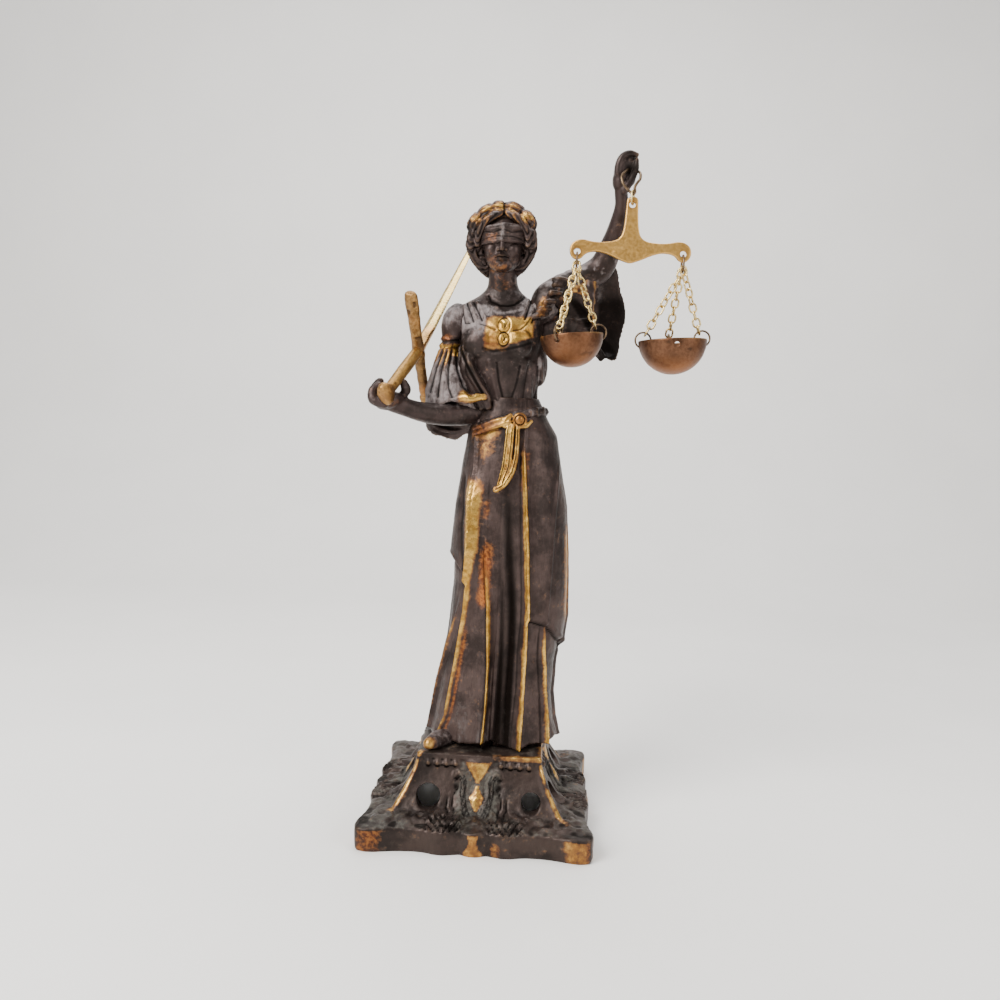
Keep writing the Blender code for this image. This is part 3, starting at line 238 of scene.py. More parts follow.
def tube_rings(path, radii, sides=16, flat=1.0, closed=False):
    path = [Vector(point) for point in path]
    last = len(path) - 1
    rings = []
    side_way = None
    for index, point in enumerate(path):
        before = path[index - 1] if index or closed else path[0]
        after = path[(index + 1) % len(path)] if index < last or closed else path[last]
        way = (after - before).normalized()
        if side_way is None:
            side_way = way.orthogonal().normalized()
        side_way = (side_way - way * side_way.dot(way)).normalized()
        up_way = way.cross(side_way)
        radius = radii[index] if hasattr(radii, "__len__") else radii
        rings.append([
            point
            + side_way * radius * math.cos(2 * math.pi * step / sides)
            + up_way * radius * flat * math.sin(2 * math.pi * step / sides)
            for step in range(sides)
        ])
    return rings


def smooth_path(points, steps, closed=False):
    """A Catmull-Rom curve through the points; each point may carry a radius as a fourth value."""
    points = np.array(points, float)
    before, after = 2 * points[0] - points[1], 2 * points[-1] - points[-2]
    padded = np.vstack([points[-1], points, points[:2]] if closed else [before, points, after])
    found = []
    for index in range(len(padded) - 3):
        a, b, c, d = padded[index:index + 4]
        for step in range(steps):
            t = step / steps
            found.append(0.5 * (2 * b + (c - a) * t + (2 * a - 5 * b + 4 * c - d) * t ** 2
                                + (3 * b - a - 3 * c + d) * t ** 3))
    return found if closed else found + [points[-1]]


def plate_depth(share):
    """How far the plate's edge is set back, along one side from -1 to 1."""
    lobes = 0.0
    for middle, width, height in ((-0.88, 0.17, 1.0), (-0.27, 0.11, 0.75), (0.0, 0.07, 0.9),
                                  (0.27, 0.11, 0.75), (0.88, 0.17, 1.0)):
        lobes = max(lobes, height * math.exp(-((share - middle) / width) ** 2))
    return SCALLOP_DEPTH * (1.0 - lobes)


def square_ring(half, height, corner, scallop=0.0):
    """A level ring: a square with round corners, whose sides may follow the plate's scallops.

    The scalloped rings are as much deeper than wide as the plate is.
    """
    stretch = 1.0 + scallop * (BASE_DEPTH / BASE_WIDTH - 1.0)
    ring = []
    for turn in range(4):
        spin = quarter(turn)
        for step in range(SIDE_STEPS):
            share = -1.0 + 2.0 * (step + 0.5) / SIDE_STEPS
            depth = scallop * plate_depth(share)
            over = abs(share) * half - (half - corner)
            if over > 0.0:
                angle = math.asin(min(1.0, over / corner)) * 0.5
                depth += corner * (1.0 - math.cos(angle)) * 1.6
            point = spin @ Vector((share * half, -half + depth, 0.0))
            ring.append(Vector((point.x, point.y * stretch, height)))
    return ring


def add_base_shell(shape):
    """The hollow casting: inside from its ceiling down to the floor, then outside back up."""
    half = BASE_WIDTH / 2
    foot = BLOCK_FOOT / 2
    neck = BLOCK_NECK / 2
    top = PLATFORM_SIDE / 2
    edge = 1.2 * MM
    sink = 2.0 * MM
    under_lip = PLATFORM_TOP - PLATFORM_LIP
    outside = [
        square_ring(half - 0.6 * MM, -sink, 4 * MM, scallop=1.0),
        square_ring(half - 0.6 * MM, 0.0, 4 * MM, scallop=1.0),
        square_ring(half, edge, 4 * MM, scallop=1.0),
        square_ring(half, PLATE_HEIGHT - edge, 4 * MM, scallop=1.0),
        square_ring(half - 0.5 * MM, PLATE_HEIGHT - 0.3 * edge, 4 * MM, scallop=1.0),
        square_ring(half - 1.8 * MM, PLATE_HEIGHT, 4 * MM, scallop=1.0),
        square_ring(half - 6 * MM, PLATE_HEIGHT + 0.4 * MM, 4 * MM, scallop=0.5),
        square_ring(foot + 1.5 * MM, PLATE_HEIGHT + 1.0 * MM, 3 * MM),
    ]
    for step in range(9):
        share = step / 8
        flare = foot + (neck - foot) * (1.0 - (1.0 - share) ** FLARE)
        height = PLATE_HEIGHT + 1.6 * MM + share * (under_lip - PLATE_HEIGHT - 1.6 * MM)
        outside.append(square_ring(flare, height, 2.2 * MM))
    outside += [
        square_ring(top, under_lip + 0.6 * MM, 2 * MM),
        square_ring(top, PLATFORM_TOP - 0.5 * MM, 2 * MM),
        square_ring(top - 0.6 * MM, PLATFORM_TOP, 2 * MM),
    ]
    inside = [
        square_ring(neck - CAST_WALL, PLATFORM_TOP - CAST_WALL, 2 * MM),
        square_ring(foot - CAST_WALL - 1.5 * MM, PLATE_HEIGHT, 2 * MM),
        square_ring(half - 2.6 * CAST_WALL, PLATE_HEIGHT - CAST_WALL, 2 * MM, scallop=0.5),
        square_ring(half - 2.2 * CAST_WALL, -sink, 2 * MM, scallop=0.5),
    ]
    shape.add_rings(inside + outside)


def flare_half(height):
    """Half the width of the flared block at a height."""
    under_lip = PLATFORM_TOP - PLATFORM_LIP
    share = (height - PLATE_HEIGHT) / (under_lip - PLATE_HEIGHT)
    share = min(1.0, max(0.0, share))
    return BLOCK_FOOT / 2 + (BLOCK_NECK - BLOCK_FOOT) / 2 * (1.0 - (1.0 - share) ** FLARE)


def on_face(turn, across, height, out=0.0):
    """A point on one of the block's four faces; out lifts it off the face."""
    spin = quarter(turn)
    return spin @ Vector((across, -flare_half(height) - out, height))


def place(point):
    """From the pose's millimetres to metres from the middle of the foot."""
    return Vector((
        point[0] * UNIT,
        point[1] * UNIT,
        (point[2] - POSE_PLATFORM) * UNIT + PLATFORM_TOP,
    ))


def add_limb(shape, path, sides):
    """A tube in the pose's millimetres, with the radius as each point's fourth value."""
    radii = [point[3] * UNIT for point in path]
    shape.add_tube([place(point) for point in path], radii, sides)
    for end in (path[0], path[-1]):
        shape.add_blob(place(end), [end[3] * UNIT * 0.999] * 3, sides=12)


def add_curve(shape, points, steps, sides):
    """A limb along a smooth curve through the points."""
    add_limb(shape, smooth_path(points, steps), sides)


def add_mass(shape, center, radii, turn=(0.0, 0.0, 0.0), sides=20):
    """An ellipsoid in the pose's millimetres."""
    shape.add_blob(place(center), [radius * UNIT for radius in radii], turn, sides)


def bell(shape, rings, wall):
    """A hollow bell of cloth: rings of (middle, across vector, depth vector), narrow end first."""
    count = 40

    def loop(middle, across, deep, thin):
        middle, across, deep = Vector(middle), Vector(across), Vector(deep)
        across = across.normalized() * (across.length - thin)
        deep = deep.normalized() * (deep.length - thin)
        found = []
        for step in range(count):
            around = 2 * math.pi * step / count
            fold = 1.0 + 0.05 * math.cos(6 * around) * (0.4 if thin else 1.0)
            found.append(place(middle + across * math.sin(around) * fold
                               + deep * math.cos(around) * fold))
        return found

    outside = [loop(*ring, 0.0) for ring in rings]
    inside = [loop(*ring, wall) for ring in reversed(rings[len(rings) // 3:])]
    shape.add_rings(outside + inside)


def hanger_low():
    """The middle of the wire at the lowest point of its eye."""
    return min(hanger_path(), key=lambda point: point.z)


LINK_WAY = Vector((0.34, 0.94, 0.0)).normalized()


def beam_place():
    """The middle of the beam's top hole: it hangs from the link, and the link from the wire."""
    top = hanger_low()
    link_top = top.z + HANGER_WIRE / 2 + GAP + LINK_WIRE / 2
    link_low = link_top - (LINK_LENGTH - LINK_WIRE)
    bend = (LINK_WIDTH - LINK_WIRE) / 2
    exit_way = BEAM_THICKNESS / 2 / LINK_WAY.y
    rise = bend - math.sqrt(bend ** 2 - exit_way ** 2)
    hole = link_low + rise + LINK_WIRE / 2 + GAP - BEAM_HOLE / 2 * math.cos(math.pi / 10)
    return Vector((top.x, top.y, hole)), link_low, link_top


def oval(center, half_long, half_wide, long_way, wide_way, steps):
    """A closed oval path: two straight sides and two round ends."""
    straight = max(0.0, half_long - half_wide)
    path = []
    for step in range(steps):
        around = 2 * math.pi * (step + 0.5) / steps
        shift = straight if math.cos(around) > 0 else -straight
        path.append(center + long_way * (shift + half_wide * math.cos(around))
                    + wide_way * half_wide * math.sin(around))
    return path


BEAM_OUTLINE = (
    (0.0, 0.165), (0.07, 0.155), (0.105, 0.10), (0.112, 0.0), (0.125, -0.25), (0.145, -0.50),
    (0.19, -0.66), (0.29, -0.75), (0.45, -0.785), (0.64, -0.79), (0.78, -0.77), (0.89, -0.745),
    (1.0, -0.76), (1.09, -0.82), (1.14, -0.92), (1.14, -1.04), (1.09, -1.13), (1.01, -1.17),
    (0.92, -1.14), (0.85, -1.06), (0.75, -1.01), (0.59, -1.0), (0.41, -1.05), (0.23, -1.14),
    (0.07, -1.205), (0.0, -1.22),
)


def end_hole(side):
    hole, _, _ = beam_place()
    return hole + Vector((side * BEAM_SPAN / 2, 0.0, -BEAM_DROP))


def end_ring(side):
    """The middle of the ring in the beam's end hole, and the radius of its wire's middle."""
    outer = LEFT_END_RING if side < 0 else RIGHT_END_RING
    radius = (outer - END_RING_WIRE) / 2
    rest = BEAM_HOLE / 2 - GAP - END_RING_WIRE / 2 - 0.2 * MM
    return end_hole(side) - Vector((0, 0, rest + radius)), radius


class Pan:
    """One pan of the scales: its rim's middle, its tilt and the bearings of its three rings.

    Seats are the angles at which its chains sit side by side on the beam's ring, and swing is
    how far the stiff chains let it hang out of plumb.
    """

    def __init__(self, side, wide, deep, tilt, swing, bearings, seats, spare):
        self.wide = wide
        self.deep = deep
        self.seats = [math.radians(seat) for seat in seats]
        self.tilt = Matrix.Rotation(-tilt, 3, "Y")
        self.bearings = [math.radians(bearing) for bearing in bearings]
        self.spare = spare
        self.hook_center, self.hook_radius = end_ring(side)
        ring = PAN_RING - PAN_RING_WIRE
        reach = wide / 2 - PAN_WALL / 2 - math.sin(PAN_RING_LEAN) * ring
        span = CHAIN_LINKS * CHAIN_PITCH - (END_RING_WIRE + PAN_RING_WIRE) / 2 - 2 * CHAIN_SLACK
        drop = math.sqrt(span ** 2 - reach ** 2)
        rise = math.cos(PAN_RING_LEAN) * ring - PAN_HOLE_DROP
        self.rim = self.hook_center + Vector((swing, 0, -self.hook_radius - drop - rise))

    def at(self, point):
        return self.rim + self.tilt @ Vector(point)

    def bowl_radius(self, depth, outer):
        """Radius of the bowl's skin at a depth below the rim."""
        wide = self.wide / 2 - (0.0 if outer else PAN_WALL)
        deep = self.deep - (0.0 if outer else PAN_WALL)
        return wide * math.sqrt(max(0.0, 1.0 - (depth / deep) ** 2))

    def hole(self, bearing):
        radius = 0.5 * (self.bowl_radius(PAN_HOLE_DROP, True)
                        + self.bowl_radius(PAN_HOLE_DROP, False))
        return Vector((radius * math.cos(bearing), radius * math.sin(bearing), -PAN_HOLE_DROP))

    def ring(self, bearing):
        """The middle of a rim ring and the way from the hole to its far side."""
        way = Vector((-math.sin(PAN_RING_LEAN) * math.cos(bearing),
                      -math.sin(PAN_RING_LEAN) * math.sin(bearing), math.cos(PAN_RING_LEAN)))
        radius = (PAN_RING - PAN_RING_WIRE) / 2
        return self.hole(bearing) + way * radius, way, radius

    def chain_ends(self, bearing):
        center, way, radius = self.ring(bearing)
        far = self.at(center + way * radius)
        lean = self.seats[self.bearings.index(bearing)]
        near = self.hook_center + Vector((
            0.0, self.hook_radius * math.sin(lean), -self.hook_radius * math.cos(lean)))
        near_wire = Vector((0.0, math.cos(lean), math.sin(lean)))
        out = toward(bearing)
        far_wire = self.tilt @ (out - way * out.dot(way)).normalized()
        return near, far, near_wire, far_wire


# Numeric helpers

def lattice(seed):
    return np.random.default_rng(seed).uniform(-1.0, 1.0, (LATTICE,) * 3)


def noise(points, size, seed, stretch=(1.0, 1.0, 1.0)):
    """Smooth noise from -1 to 1, with lumps of about that size in millimetres."""
    grid = lattice(seed)
    where = np.asarray(points) / (size * np.array(stretch)) + 7.3
    cell = np.floor(where).astype(int)
    part = where - cell
    part = part * part * (3.0 - 2.0 * part)
    total = np.zeros(len(where))
    for corner in range(8):
        step = np.array([corner & 1, corner >> 1 & 1, corner >> 2 & 1])
        weight = np.prod(np.where(step, part, 1.0 - part), axis=1)
        at = (cell + step) % LATTICE
        total += weight * grid[at[:, 0], at[:, 1], at[:, 2]]
    return total


def rough(points, size, seed, octaves=3, stretch=(1.0, 1.0, 1.0)):
    total = np.zeros(len(points))
    for octave in range(octaves):
        total += noise(points, size / 2 ** octave, seed + octave, stretch) / 2 ** octave
    return total / 1.6


def strongest(*masks):
    """The largest of several masks at each point."""
    return np.maximum.reduce(masks)


def soft(value, low, high):
    """0 below low, 1 above high, and a smooth step between them."""
    share = np.clip((value - low) / (high - low), 0.0, 1.0)
    return share * share * (3.0 - 2.0 * share)


def read_table(value, rows):
    heights, values = zip(*sorted(rows))
    return np.interp(value, heights, values)


def line_distance(x, z, line):
    """Distance of each point from a line through points, and how far along it lies."""
    best = np.full(len(x), 1e9)
    along = np.zeros(len(x))
    count = len(line) - 1
    for index in range(count):
        (ax, az), (bx, bz) = line[index], line[index + 1]
        dx, dz = bx - ax, bz - az
        share = np.clip(((x - ax) * dx + (z - az) * dz) / (dx * dx + dz * dz), 0.0, 1.0)
        away = np.hypot(x - ax - share * dx, z - az - share * dz)
        nearer = away < best
        best = np.where(nearer, away, best)
        along = np.where(nearer, (index + share) / count, along)
    return best, along


def bump(distance, width):
    return np.exp(-(distance / width) ** 2)


def patch(x, z, box, edge):
    """1 inside a box (low x, high x, low z, high z) and 0 outside, with a soft edge."""
    return (soft(x, box[0] - edge, box[0] + edge) * soft(-x, -box[1] - edge, -box[1] + edge)
            * soft(z, box[2] - edge, box[2] + edge) * soft(-z, -box[3] - edge, -box[3] + edge))


def patches(x, z, rows):
    """The strongest of several patches, given as rows of (strength, box, edge)."""
    return strongest(*[strength * patch(x, z, box, edge) for strength, box, edge in rows])


def wear_and_light_masks(brass, copper, dust_and_sheen, shade):
    """The masks of a finish and of painted light: soiling and painted sheen don't go on rubbed
    brass.
    """
    return {"brass": brass, "copper": copper, "dust_and_sheen": dust_and_sheen * (1.0 - brass), "shade": shade}


# Meshes in and out

def arrays_of(mesh):
    points = np.empty(len(mesh.vertices) * 3, np.float32)
    mesh.vertices.foreach_get("co", points)
    normals = np.empty(len(mesh.vertices) * 3, np.float32)
    mesh.vertices.foreach_get("normal", normals)
    return points.reshape(-1, 3).astype(float), normals.reshape(-1, 3).astype(float)


def set_points(mesh, points):
    mesh.vertices.foreach_set("co", points.astype(np.float32).ravel())
    mesh.update()


def curvature(mesh, points, normals, rounds):
    """How far each point stands out of its neighbours, spread over a few rounds."""
    edges = np.empty(len(mesh.edges) * 2, np.int32)
    mesh.edges.foreach_get("vertices", edges)
    a, b = edges.reshape(-1, 2).T
    count = len(points)
    degree = np.bincount(a, minlength=count) + np.bincount(b, minlength=count)
    degree = np.maximum(degree, 1)

    def mean(values):
        return (np.bincount(a, values[b], count) + np.bincount(b, values[a], count)) / degree

    middle = np.stack([mean(points[:, axis]) for axis in range(3)], axis=1)
    reach = np.bincount(a, np.linalg.norm(points[a] - points[b], axis=1), count)
    reach += np.bincount(b, np.linalg.norm(points[a] - points[b], axis=1), count)
    out = ((points - middle) * normals).sum(axis=1) / np.maximum(reach / degree, 1e-12)
    for _ in range(rounds):
        out = 0.4 * out + 0.6 * mean(out)
    return out


def skin(name, shape, cell, relax=1):
    """Melts the shape's overlapping shells into one fine skin."""
    source = bpy.data.objects.new(name, shape.mesh(name))
    bpy.context.scene.collection.objects.link(source)
    melt = source.modifiers.new("melt", "REMESH")
    melt.mode = "VOXEL"
    melt.voxel_size = cell
    even = source.modifiers.new("even", "SMOOTH")
    even.factor = 0.5
    even.iterations = relax
    mesh = evaluated(source)
    bpy.data.objects.remove(source, do_unlink=True)
    return mesh


def evaluated(piece):
    bpy.context.view_layer.update()
    graph = bpy.context.evaluated_depsgraph_get()
    return bpy.data.meshes.new_from_object(piece.evaluated_get(graph))


def sculpt(mesh, relief):
    """Moves each point along its normal and keeps the masks of the finish and of the painted light
    and shade.

    relief takes points and normals in the pose's millimetres and gives (lift, masks).
    """
    points, normals = arrays_of(mesh)
    pose = points / UNIT
    pose[:, 2] += POSE_PLATFORM - PLATFORM_TOP / UNIT
    lift, masks = relief(pose, normals)
    set_points(mesh, points + normals * (lift * UNIT)[:, None])
    return finish_and_light_masks(mesh, masks, 4.0)


def finish_and_light_masks(mesh, masks, gain):
    """Keeps the masks of the finish and of the painted light on the mesh, with its own ridges and
    hollows.
    """
    points, normals = arrays_of(mesh)
    edge = curvature(mesh, points, normals, 4)
    masks["ridge"] = np.clip(edge * gain, 0.0, 1.0)
    # Painted shade: the mesh's own hollows and the relief's shade mask are kept as one attribute
    # that darkens them
    masks["hollow"] = np.maximum(np.clip(-edge * gain, 0.0, 1.0), masks.get("shade", 0.0))
    for name in ("brass", "copper", "dust_and_sheen", "ridge", "hollow"):
        values = masks.get(name, np.zeros(len(points)))
        layer = mesh.attributes.new(name, "FLOAT", "POINT")
        layer.data.foreach_set("value", np.clip(values, 0.0, 1.0).astype(np.float32))
    return mesh


def add_piece(name, mesh, material, nodes, sharp=None):
    """A finished piece: moved to the frame's place, with its finish and what it stands for."""
    mesh.transform(Matrix.Translation(SHIFT))
    mesh.materials.clear()
    mesh.materials.append(material)
    mesh.shade_smooth()
    if sharp is not None:
        mesh.set_sharp_from_angle(angle=math.radians(sharp))
    mesh.name = name
    piece = bpy.data.objects.new(name, mesh)
    bpy.context.scene.collection.objects.link(piece)
    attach(piece, "root")
    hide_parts(*nodes)
    return piece


def cut_away(mesh, cutter):
    """Cuts one mesh out of another."""
    whole = bpy.data.objects.new("whole", mesh)
    tool = bpy.data.objects.new("tool", cutter)
    for item in (whole, tool):
        bpy.context.scene.collection.objects.link(item)
    cut = whole.modifiers.new("cut", "BOOLEAN")
    cut.operation = "DIFFERENCE"
    cut.solver = "EXACT"
    cut.object = tool
    result = evaluated(whole)
    for item in (whole, tool):
        bpy.data.objects.remove(item, do_unlink=True)
    return result


# Finishes, with painted shade and painted sheen

class Nodes:
    """Short names for making a material's nodes."""

    def __init__(self, name):
        self.material = bpy.data.materials.new(name)
        self.material.use_nodes = True
        self.tree = self.material.node_tree
        self.shader = self.tree.nodes["Principled BSDF"]
        self.place = self.add("ShaderNodeTexCoord").outputs["Object"]

    def add(self, kind, **settings):
        node = self.tree.nodes.new(kind)
        for name, value in settings.items():
            setattr(node, name, value)
        return node

    def join(self, source, target):
        if isinstance(source, (int, float)):
            target.default_value = source
        elif isinstance(source, tuple):
            target.default_value = (*source, 1.0) if len(source) == 3 else source
        else:
            self.tree.links.new(source, target)

    def attribute(self, name):
        return self.add("ShaderNodeAttribute", attribute_name=name).outputs["Fac"]

    def noise(self, scale, detail=4.0, roughness=0.55, stretch=None):
        node = self.add("ShaderNodeTexNoise")
        node.inputs["Scale"].default_value = scale
        node.inputs["Detail"].default_value = detail
        node.inputs["Roughness"].default_value = roughness
        place = self.place
        if stretch:
            mapping = self.add("ShaderNodeMapping")
            mapping.inputs["Scale"].default_value = stretch
            self.join(place, mapping.inputs["Vector"])
            place = mapping.outputs["Vector"]
        self.join(place, node.inputs["Vector"])
        return node.outputs["Fac"]

    def math(self, operation, a, b):
        node = self.add("ShaderNodeMath", operation=operation)
        for value, socket in zip((a, b), node.inputs):
            self.join(value, socket)
        return node.outputs["Value"]

    def step(self, value, low, high, to_low=0.0, to_high=1.0):
        node = self.add("ShaderNodeMapRange", interpolation_type="SMOOTHSTEP")
        self.join(value, node.inputs["Value"])
        for name, number in (("From Min", low), ("From Max", high),
                             ("To Min", to_low), ("To Max", to_high)):
            self.join(number, node.inputs[name])
        return node.outputs["Result"]

    def mix(self, share, a, b):
        """Mixes two colours."""
        node = self.add("ShaderNodeMix", data_type="RGBA")
        self.join(share, node.inputs[0])
        self.join(a, node.inputs[6])
        self.join(b, node.inputs[7])
        return node.outputs[2]

    def blend(self, share, a, b):
        """Mixes two numbers."""
        node = self.add("ShaderNodeMix", data_type="FLOAT")
        self.join(share, node.inputs[0])
        self.join(a, node.inputs[2])
        self.join(b, node.inputs[3])
        return node.outputs[0]

    def bump(self, height, strength, distance):
        node = self.add("ShaderNodeBump")
        self.join(height, node.inputs["Height"])
        node.inputs["Strength"].default_value = strength
        node.inputs["Distance"].default_value = distance
        self.join(node.outputs["Normal"], self.shader.inputs["Normal"])


# Rubbed brass, the rust-brown round it, copper-coloured spots, pits, and the near-black of deep
# recesses, which is painted shade over the dark patina in them
GOLD = ((0.40, 0.205, 0.038), (0.66, 0.405, 0.10))
RUST = ((0.20, 0.055, 0.016), (0.43, 0.155, 0.042))
FRINGE = (0.20, 0.085, 0.028)
CREST = (0.16, 0.095, 0.055)
PIT = (0.11, 0.05, 0.016)
RECESS_SHADE = (0.008, 0.006, 0.005)


def patina(name, deep, plain, pale, dust_and_sheen_tone, dust_and_sheen_strength, streaked=0.2):
    """Dark patina on cast brass, rubbed bright on its ridges, with soiling and painted sheen, and
    painted shade in its recesses.
    """
    n = Nodes(name)
    broad = n.noise(60.0, 6.0, 0.6)
    blotch = n.noise(190.0, 6.0, 0.65)
    fine = n.noise(620.0, 5.0, 0.6)
    grain = n.noise(2100.0, 3.0, 0.6)
    ridge = n.attribute("ridge")
    hollow = n.attribute("hollow")

    def broken(mask, blotches, grains):
        """A mask whose edge is broken up by two sizes of noise."""
        value = n.math("ADD", mask, n.step(blotch, 0.2, 0.8, -blotches, blotches))
        return n.math("ADD", value, n.step(fine, 0.2, 0.8, -grains, grains))

    color = n.mix(n.step(broad, 0.38, 0.60), deep, plain)
    color = n.mix(n.step(blotch, 0.50, 0.75, 0.0, 0.30), color, pale)
    strokes = n.noise(700.0, 4.0, 0.6, (1.0, 1.0, 0.22))
    color = n.mix(n.step(strokes, 0.52, 0.66, 0.0, streaked), color, deep)
    color = n.mix(n.step(strokes, 0.30, 0.42, 0.5 * streaked, 0.0), color, pale)
    # Pale coat from the mask of dust and painted sheen: real dust on the foot and skirt, painted
    # sheen and dust on the figure's arms, sleeves, straps, face and hair
    dust_and_sheen_share = n.step(broken(n.attribute("dust_and_sheen"), 0.50, 0.30), 0.10, 1.25, 0.0, dust_and_sheen_strength)
    dust_and_sheen_share = n.math("MULTIPLY", dust_and_sheen_share, n.step(strokes, 0.38, 0.58, 0.45, 1.0))
    tint = n.mix(n.step(blotch, 0.35, 0.65), dust_and_sheen_tone, tuple(0.6 * c for c in dust_and_sheen_tone))
    color = n.mix(dust_and_sheen_share, color, tint)
    color = n.mix(n.step(ridge, 0.25, 0.85, 0.0, 0.55), color, CREST)
    copper = n.step(broken(n.attribute("copper"), 0.24, 0.18), 0.22, 1.05)
    rust = n.mix(n.step(fine, 0.38, 0.62), *RUST)
    color = n.mix(n.math("MULTIPLY", copper, 0.85), color, rust)
    value = broken(n.attribute("brass"), 0.20, 0.20)
    color = n.mix(n.step(value, 0.10, 0.50, 0.0, 0.85), color, FRINGE)
    brass = n.step(value, 0.34, 0.98)
    gold = n.mix(n.step(blotch, 0.36, 0.62), *GOLD)
    gold = n.mix(n.step(grain, 0.56, 0.70, 0.0, 0.60), gold, PIT)
    gold = n.mix(n.math("MULTIPLY", copper, 0.55), gold, rust)
    color = n.mix(brass, color, gold)
    # Painted shade: hollows and recesses are darkened to near black, over the dark patina that
    # lies in them
    color = n.mix(n.step(hollow, 0.10, 0.75, 0.0, 0.92), color, RECESS_SHADE)
    n.join(color, n.shader.inputs["Base Color"])
    metal = n.blend(brass, n.blend(copper, 0.62, 0.95), 1.0)
    # Painted shade: hollows are made fully metallic over their near-black colour, so that they
    # reflect next to nothing
    metal = n.blend(n.step(hollow, 0.30, 0.85), metal, 1.0)
    n.join(n.math("MULTIPLY", metal, n.step(dust_and_sheen_share, 0.0, 0.6, 1.0, 0.25)),
           n.shader.inputs["Metallic"])
    gloss = n.step(fine, 0.25, 0.75, 0.34, 0.52)
    gloss = n.blend(n.step(hollow, 0.1, 0.7), gloss, 0.8)
    gloss = n.blend(brass, gloss, n.step(fine, 0.3, 0.7, 0.25, 0.38))
    n.join(n.blend(dust_and_sheen_share, gloss, 0.75), n.shader.inputs["Roughness"])
    n.shader.inputs["Specular IOR Level"].default_value = 0.38
    height = n.math("ADD", n.math("MULTIPLY", fine, 0.6), n.math("MULTIPLY", grain, 0.25))
    height = n.math("ADD", height, n.math("MULTIPLY", blotch, 0.6))
    n.bump(height, 0.45, 0.0004)
    return n.material


def bright_metal(name, low, high, stain, stained, gloss, pitted=0.35, depth=0.0002):
    """Bright brass or copper with stains, small pits and a satin gloss."""
    n = Nodes(name)
    broad = n.noise(120.0, 5.0)
    fine = n.noise(800.0, 5.0, 0.6)
    grain = n.noise(2600.0, 3.0)
    color = n.mix(n.step(fine, 0.35, 0.65), low, high)
    marks = n.math("ADD", n.attribute("dust_and_sheen"), n.step(broad, 0.45, 0.70, 0.0, stained))
    # Tarnish and painted shade: the stain colour also darkens the hollows
    marks = n.math("ADD", marks, n.math("MULTIPLY", n.attribute("hollow"), 0.8))
    marks = n.step(marks, 0.05, 0.95)
    color = n.mix(marks, color, stain)
    color = n.mix(n.math("MULTIPLY", n.attribute("copper"), 0.6), color, RUST[1])
    color = n.mix(n.math("MULTIPLY", n.attribute("brass"), 0.6), color, GOLD[1])
    color = n.mix(n.step(grain, 0.62, 0.74, 0.0, pitted), color, (0.08, 0.05, 0.03))
    n.join(color, n.shader.inputs["Base Color"])
    n.shader.inputs["Metallic"].default_value = 0.95
    n.join(n.step(fine, 0.25, 0.75, gloss - 0.07, gloss + 0.09), n.shader.inputs["Roughness"])
    n.bump(n.math("ADD", fine, n.math("MULTIPLY", grain, 0.5)), 0.35, depth)
    return n.material


# Foot

# Shield and lozenge in the middle of a face: distance below the lip, how far they stand out, half
# width, half thickness
SHIELD = ((0.0, 0.2, 6.2, 1.6), (3.0, 0.3, 4.6, 1.6), (6.4, 0.4, 2.4, 1.4), (8.6, 0.3, 0.7, 1.0))
LOZENGE = ((9.4, 0.2, 0.8, 1.0), (12.0, 0.4, 2.3, 1.5), (14.8, 0.5, 3.3, 1.8),
           (17.8, 0.4, 2.1, 1.5), (20.4, 0.2, 0.7, 1.0))
# One side's leaf, from its curl beside the shield down to the plate: across, height above the
# plate, how far it stands out, radius
FACE_LEAF = (
    (9.4, 14.4, 0.1, 1.4), (8.2, 16.6, 0.4, 1.7), (6.0, 15.0, 0.6, 1.9), (6.0, 10.0, 0.6, 1.9),
    (5.4, 5.4, 0.6, 1.8), (3.0, 1.6, 1.2, 1.4),
)
# Leaves that run out over the plate: across, height, distance from the block, radius
PLATE_LEAVES = (
    ((4.6, 3.0, 0.6, 1.6), (8.0, 1.4, 4.0, 2.0), (11.0, 0.6, 8.0, 0.9)),
    ((13.0, 3.2, 0.4, 1.3), (17.0, 1.4, 2.6, 1.7), (20.5, 0.6, 5.4, 0.8)),
)


def add_boss(shape, turn, top, rows):
    """A raised form that runs down one of the block's faces."""
    rings = []
    for drop, out, wide, thick in rows:
        ring = []
        for around in circle(12):
            reach = out + thick * math.sin(around)
            across = wide * math.cos(around)
            ring.append(on_face(turn, across * MM, top - drop * MM, reach * MM))
        rings.append(ring)
    shape.add_rings(rings)


def hole_middle(side):
    across, width, rise = ((-0.29, LEFT_HOLE, 0.4 * MM), (0.32, RIGHT_HOLE, 0.0))[side]
    return across * BLOCK_FOOT, PLATE_HEIGHT + 6.4 * MM + rise, width / 2


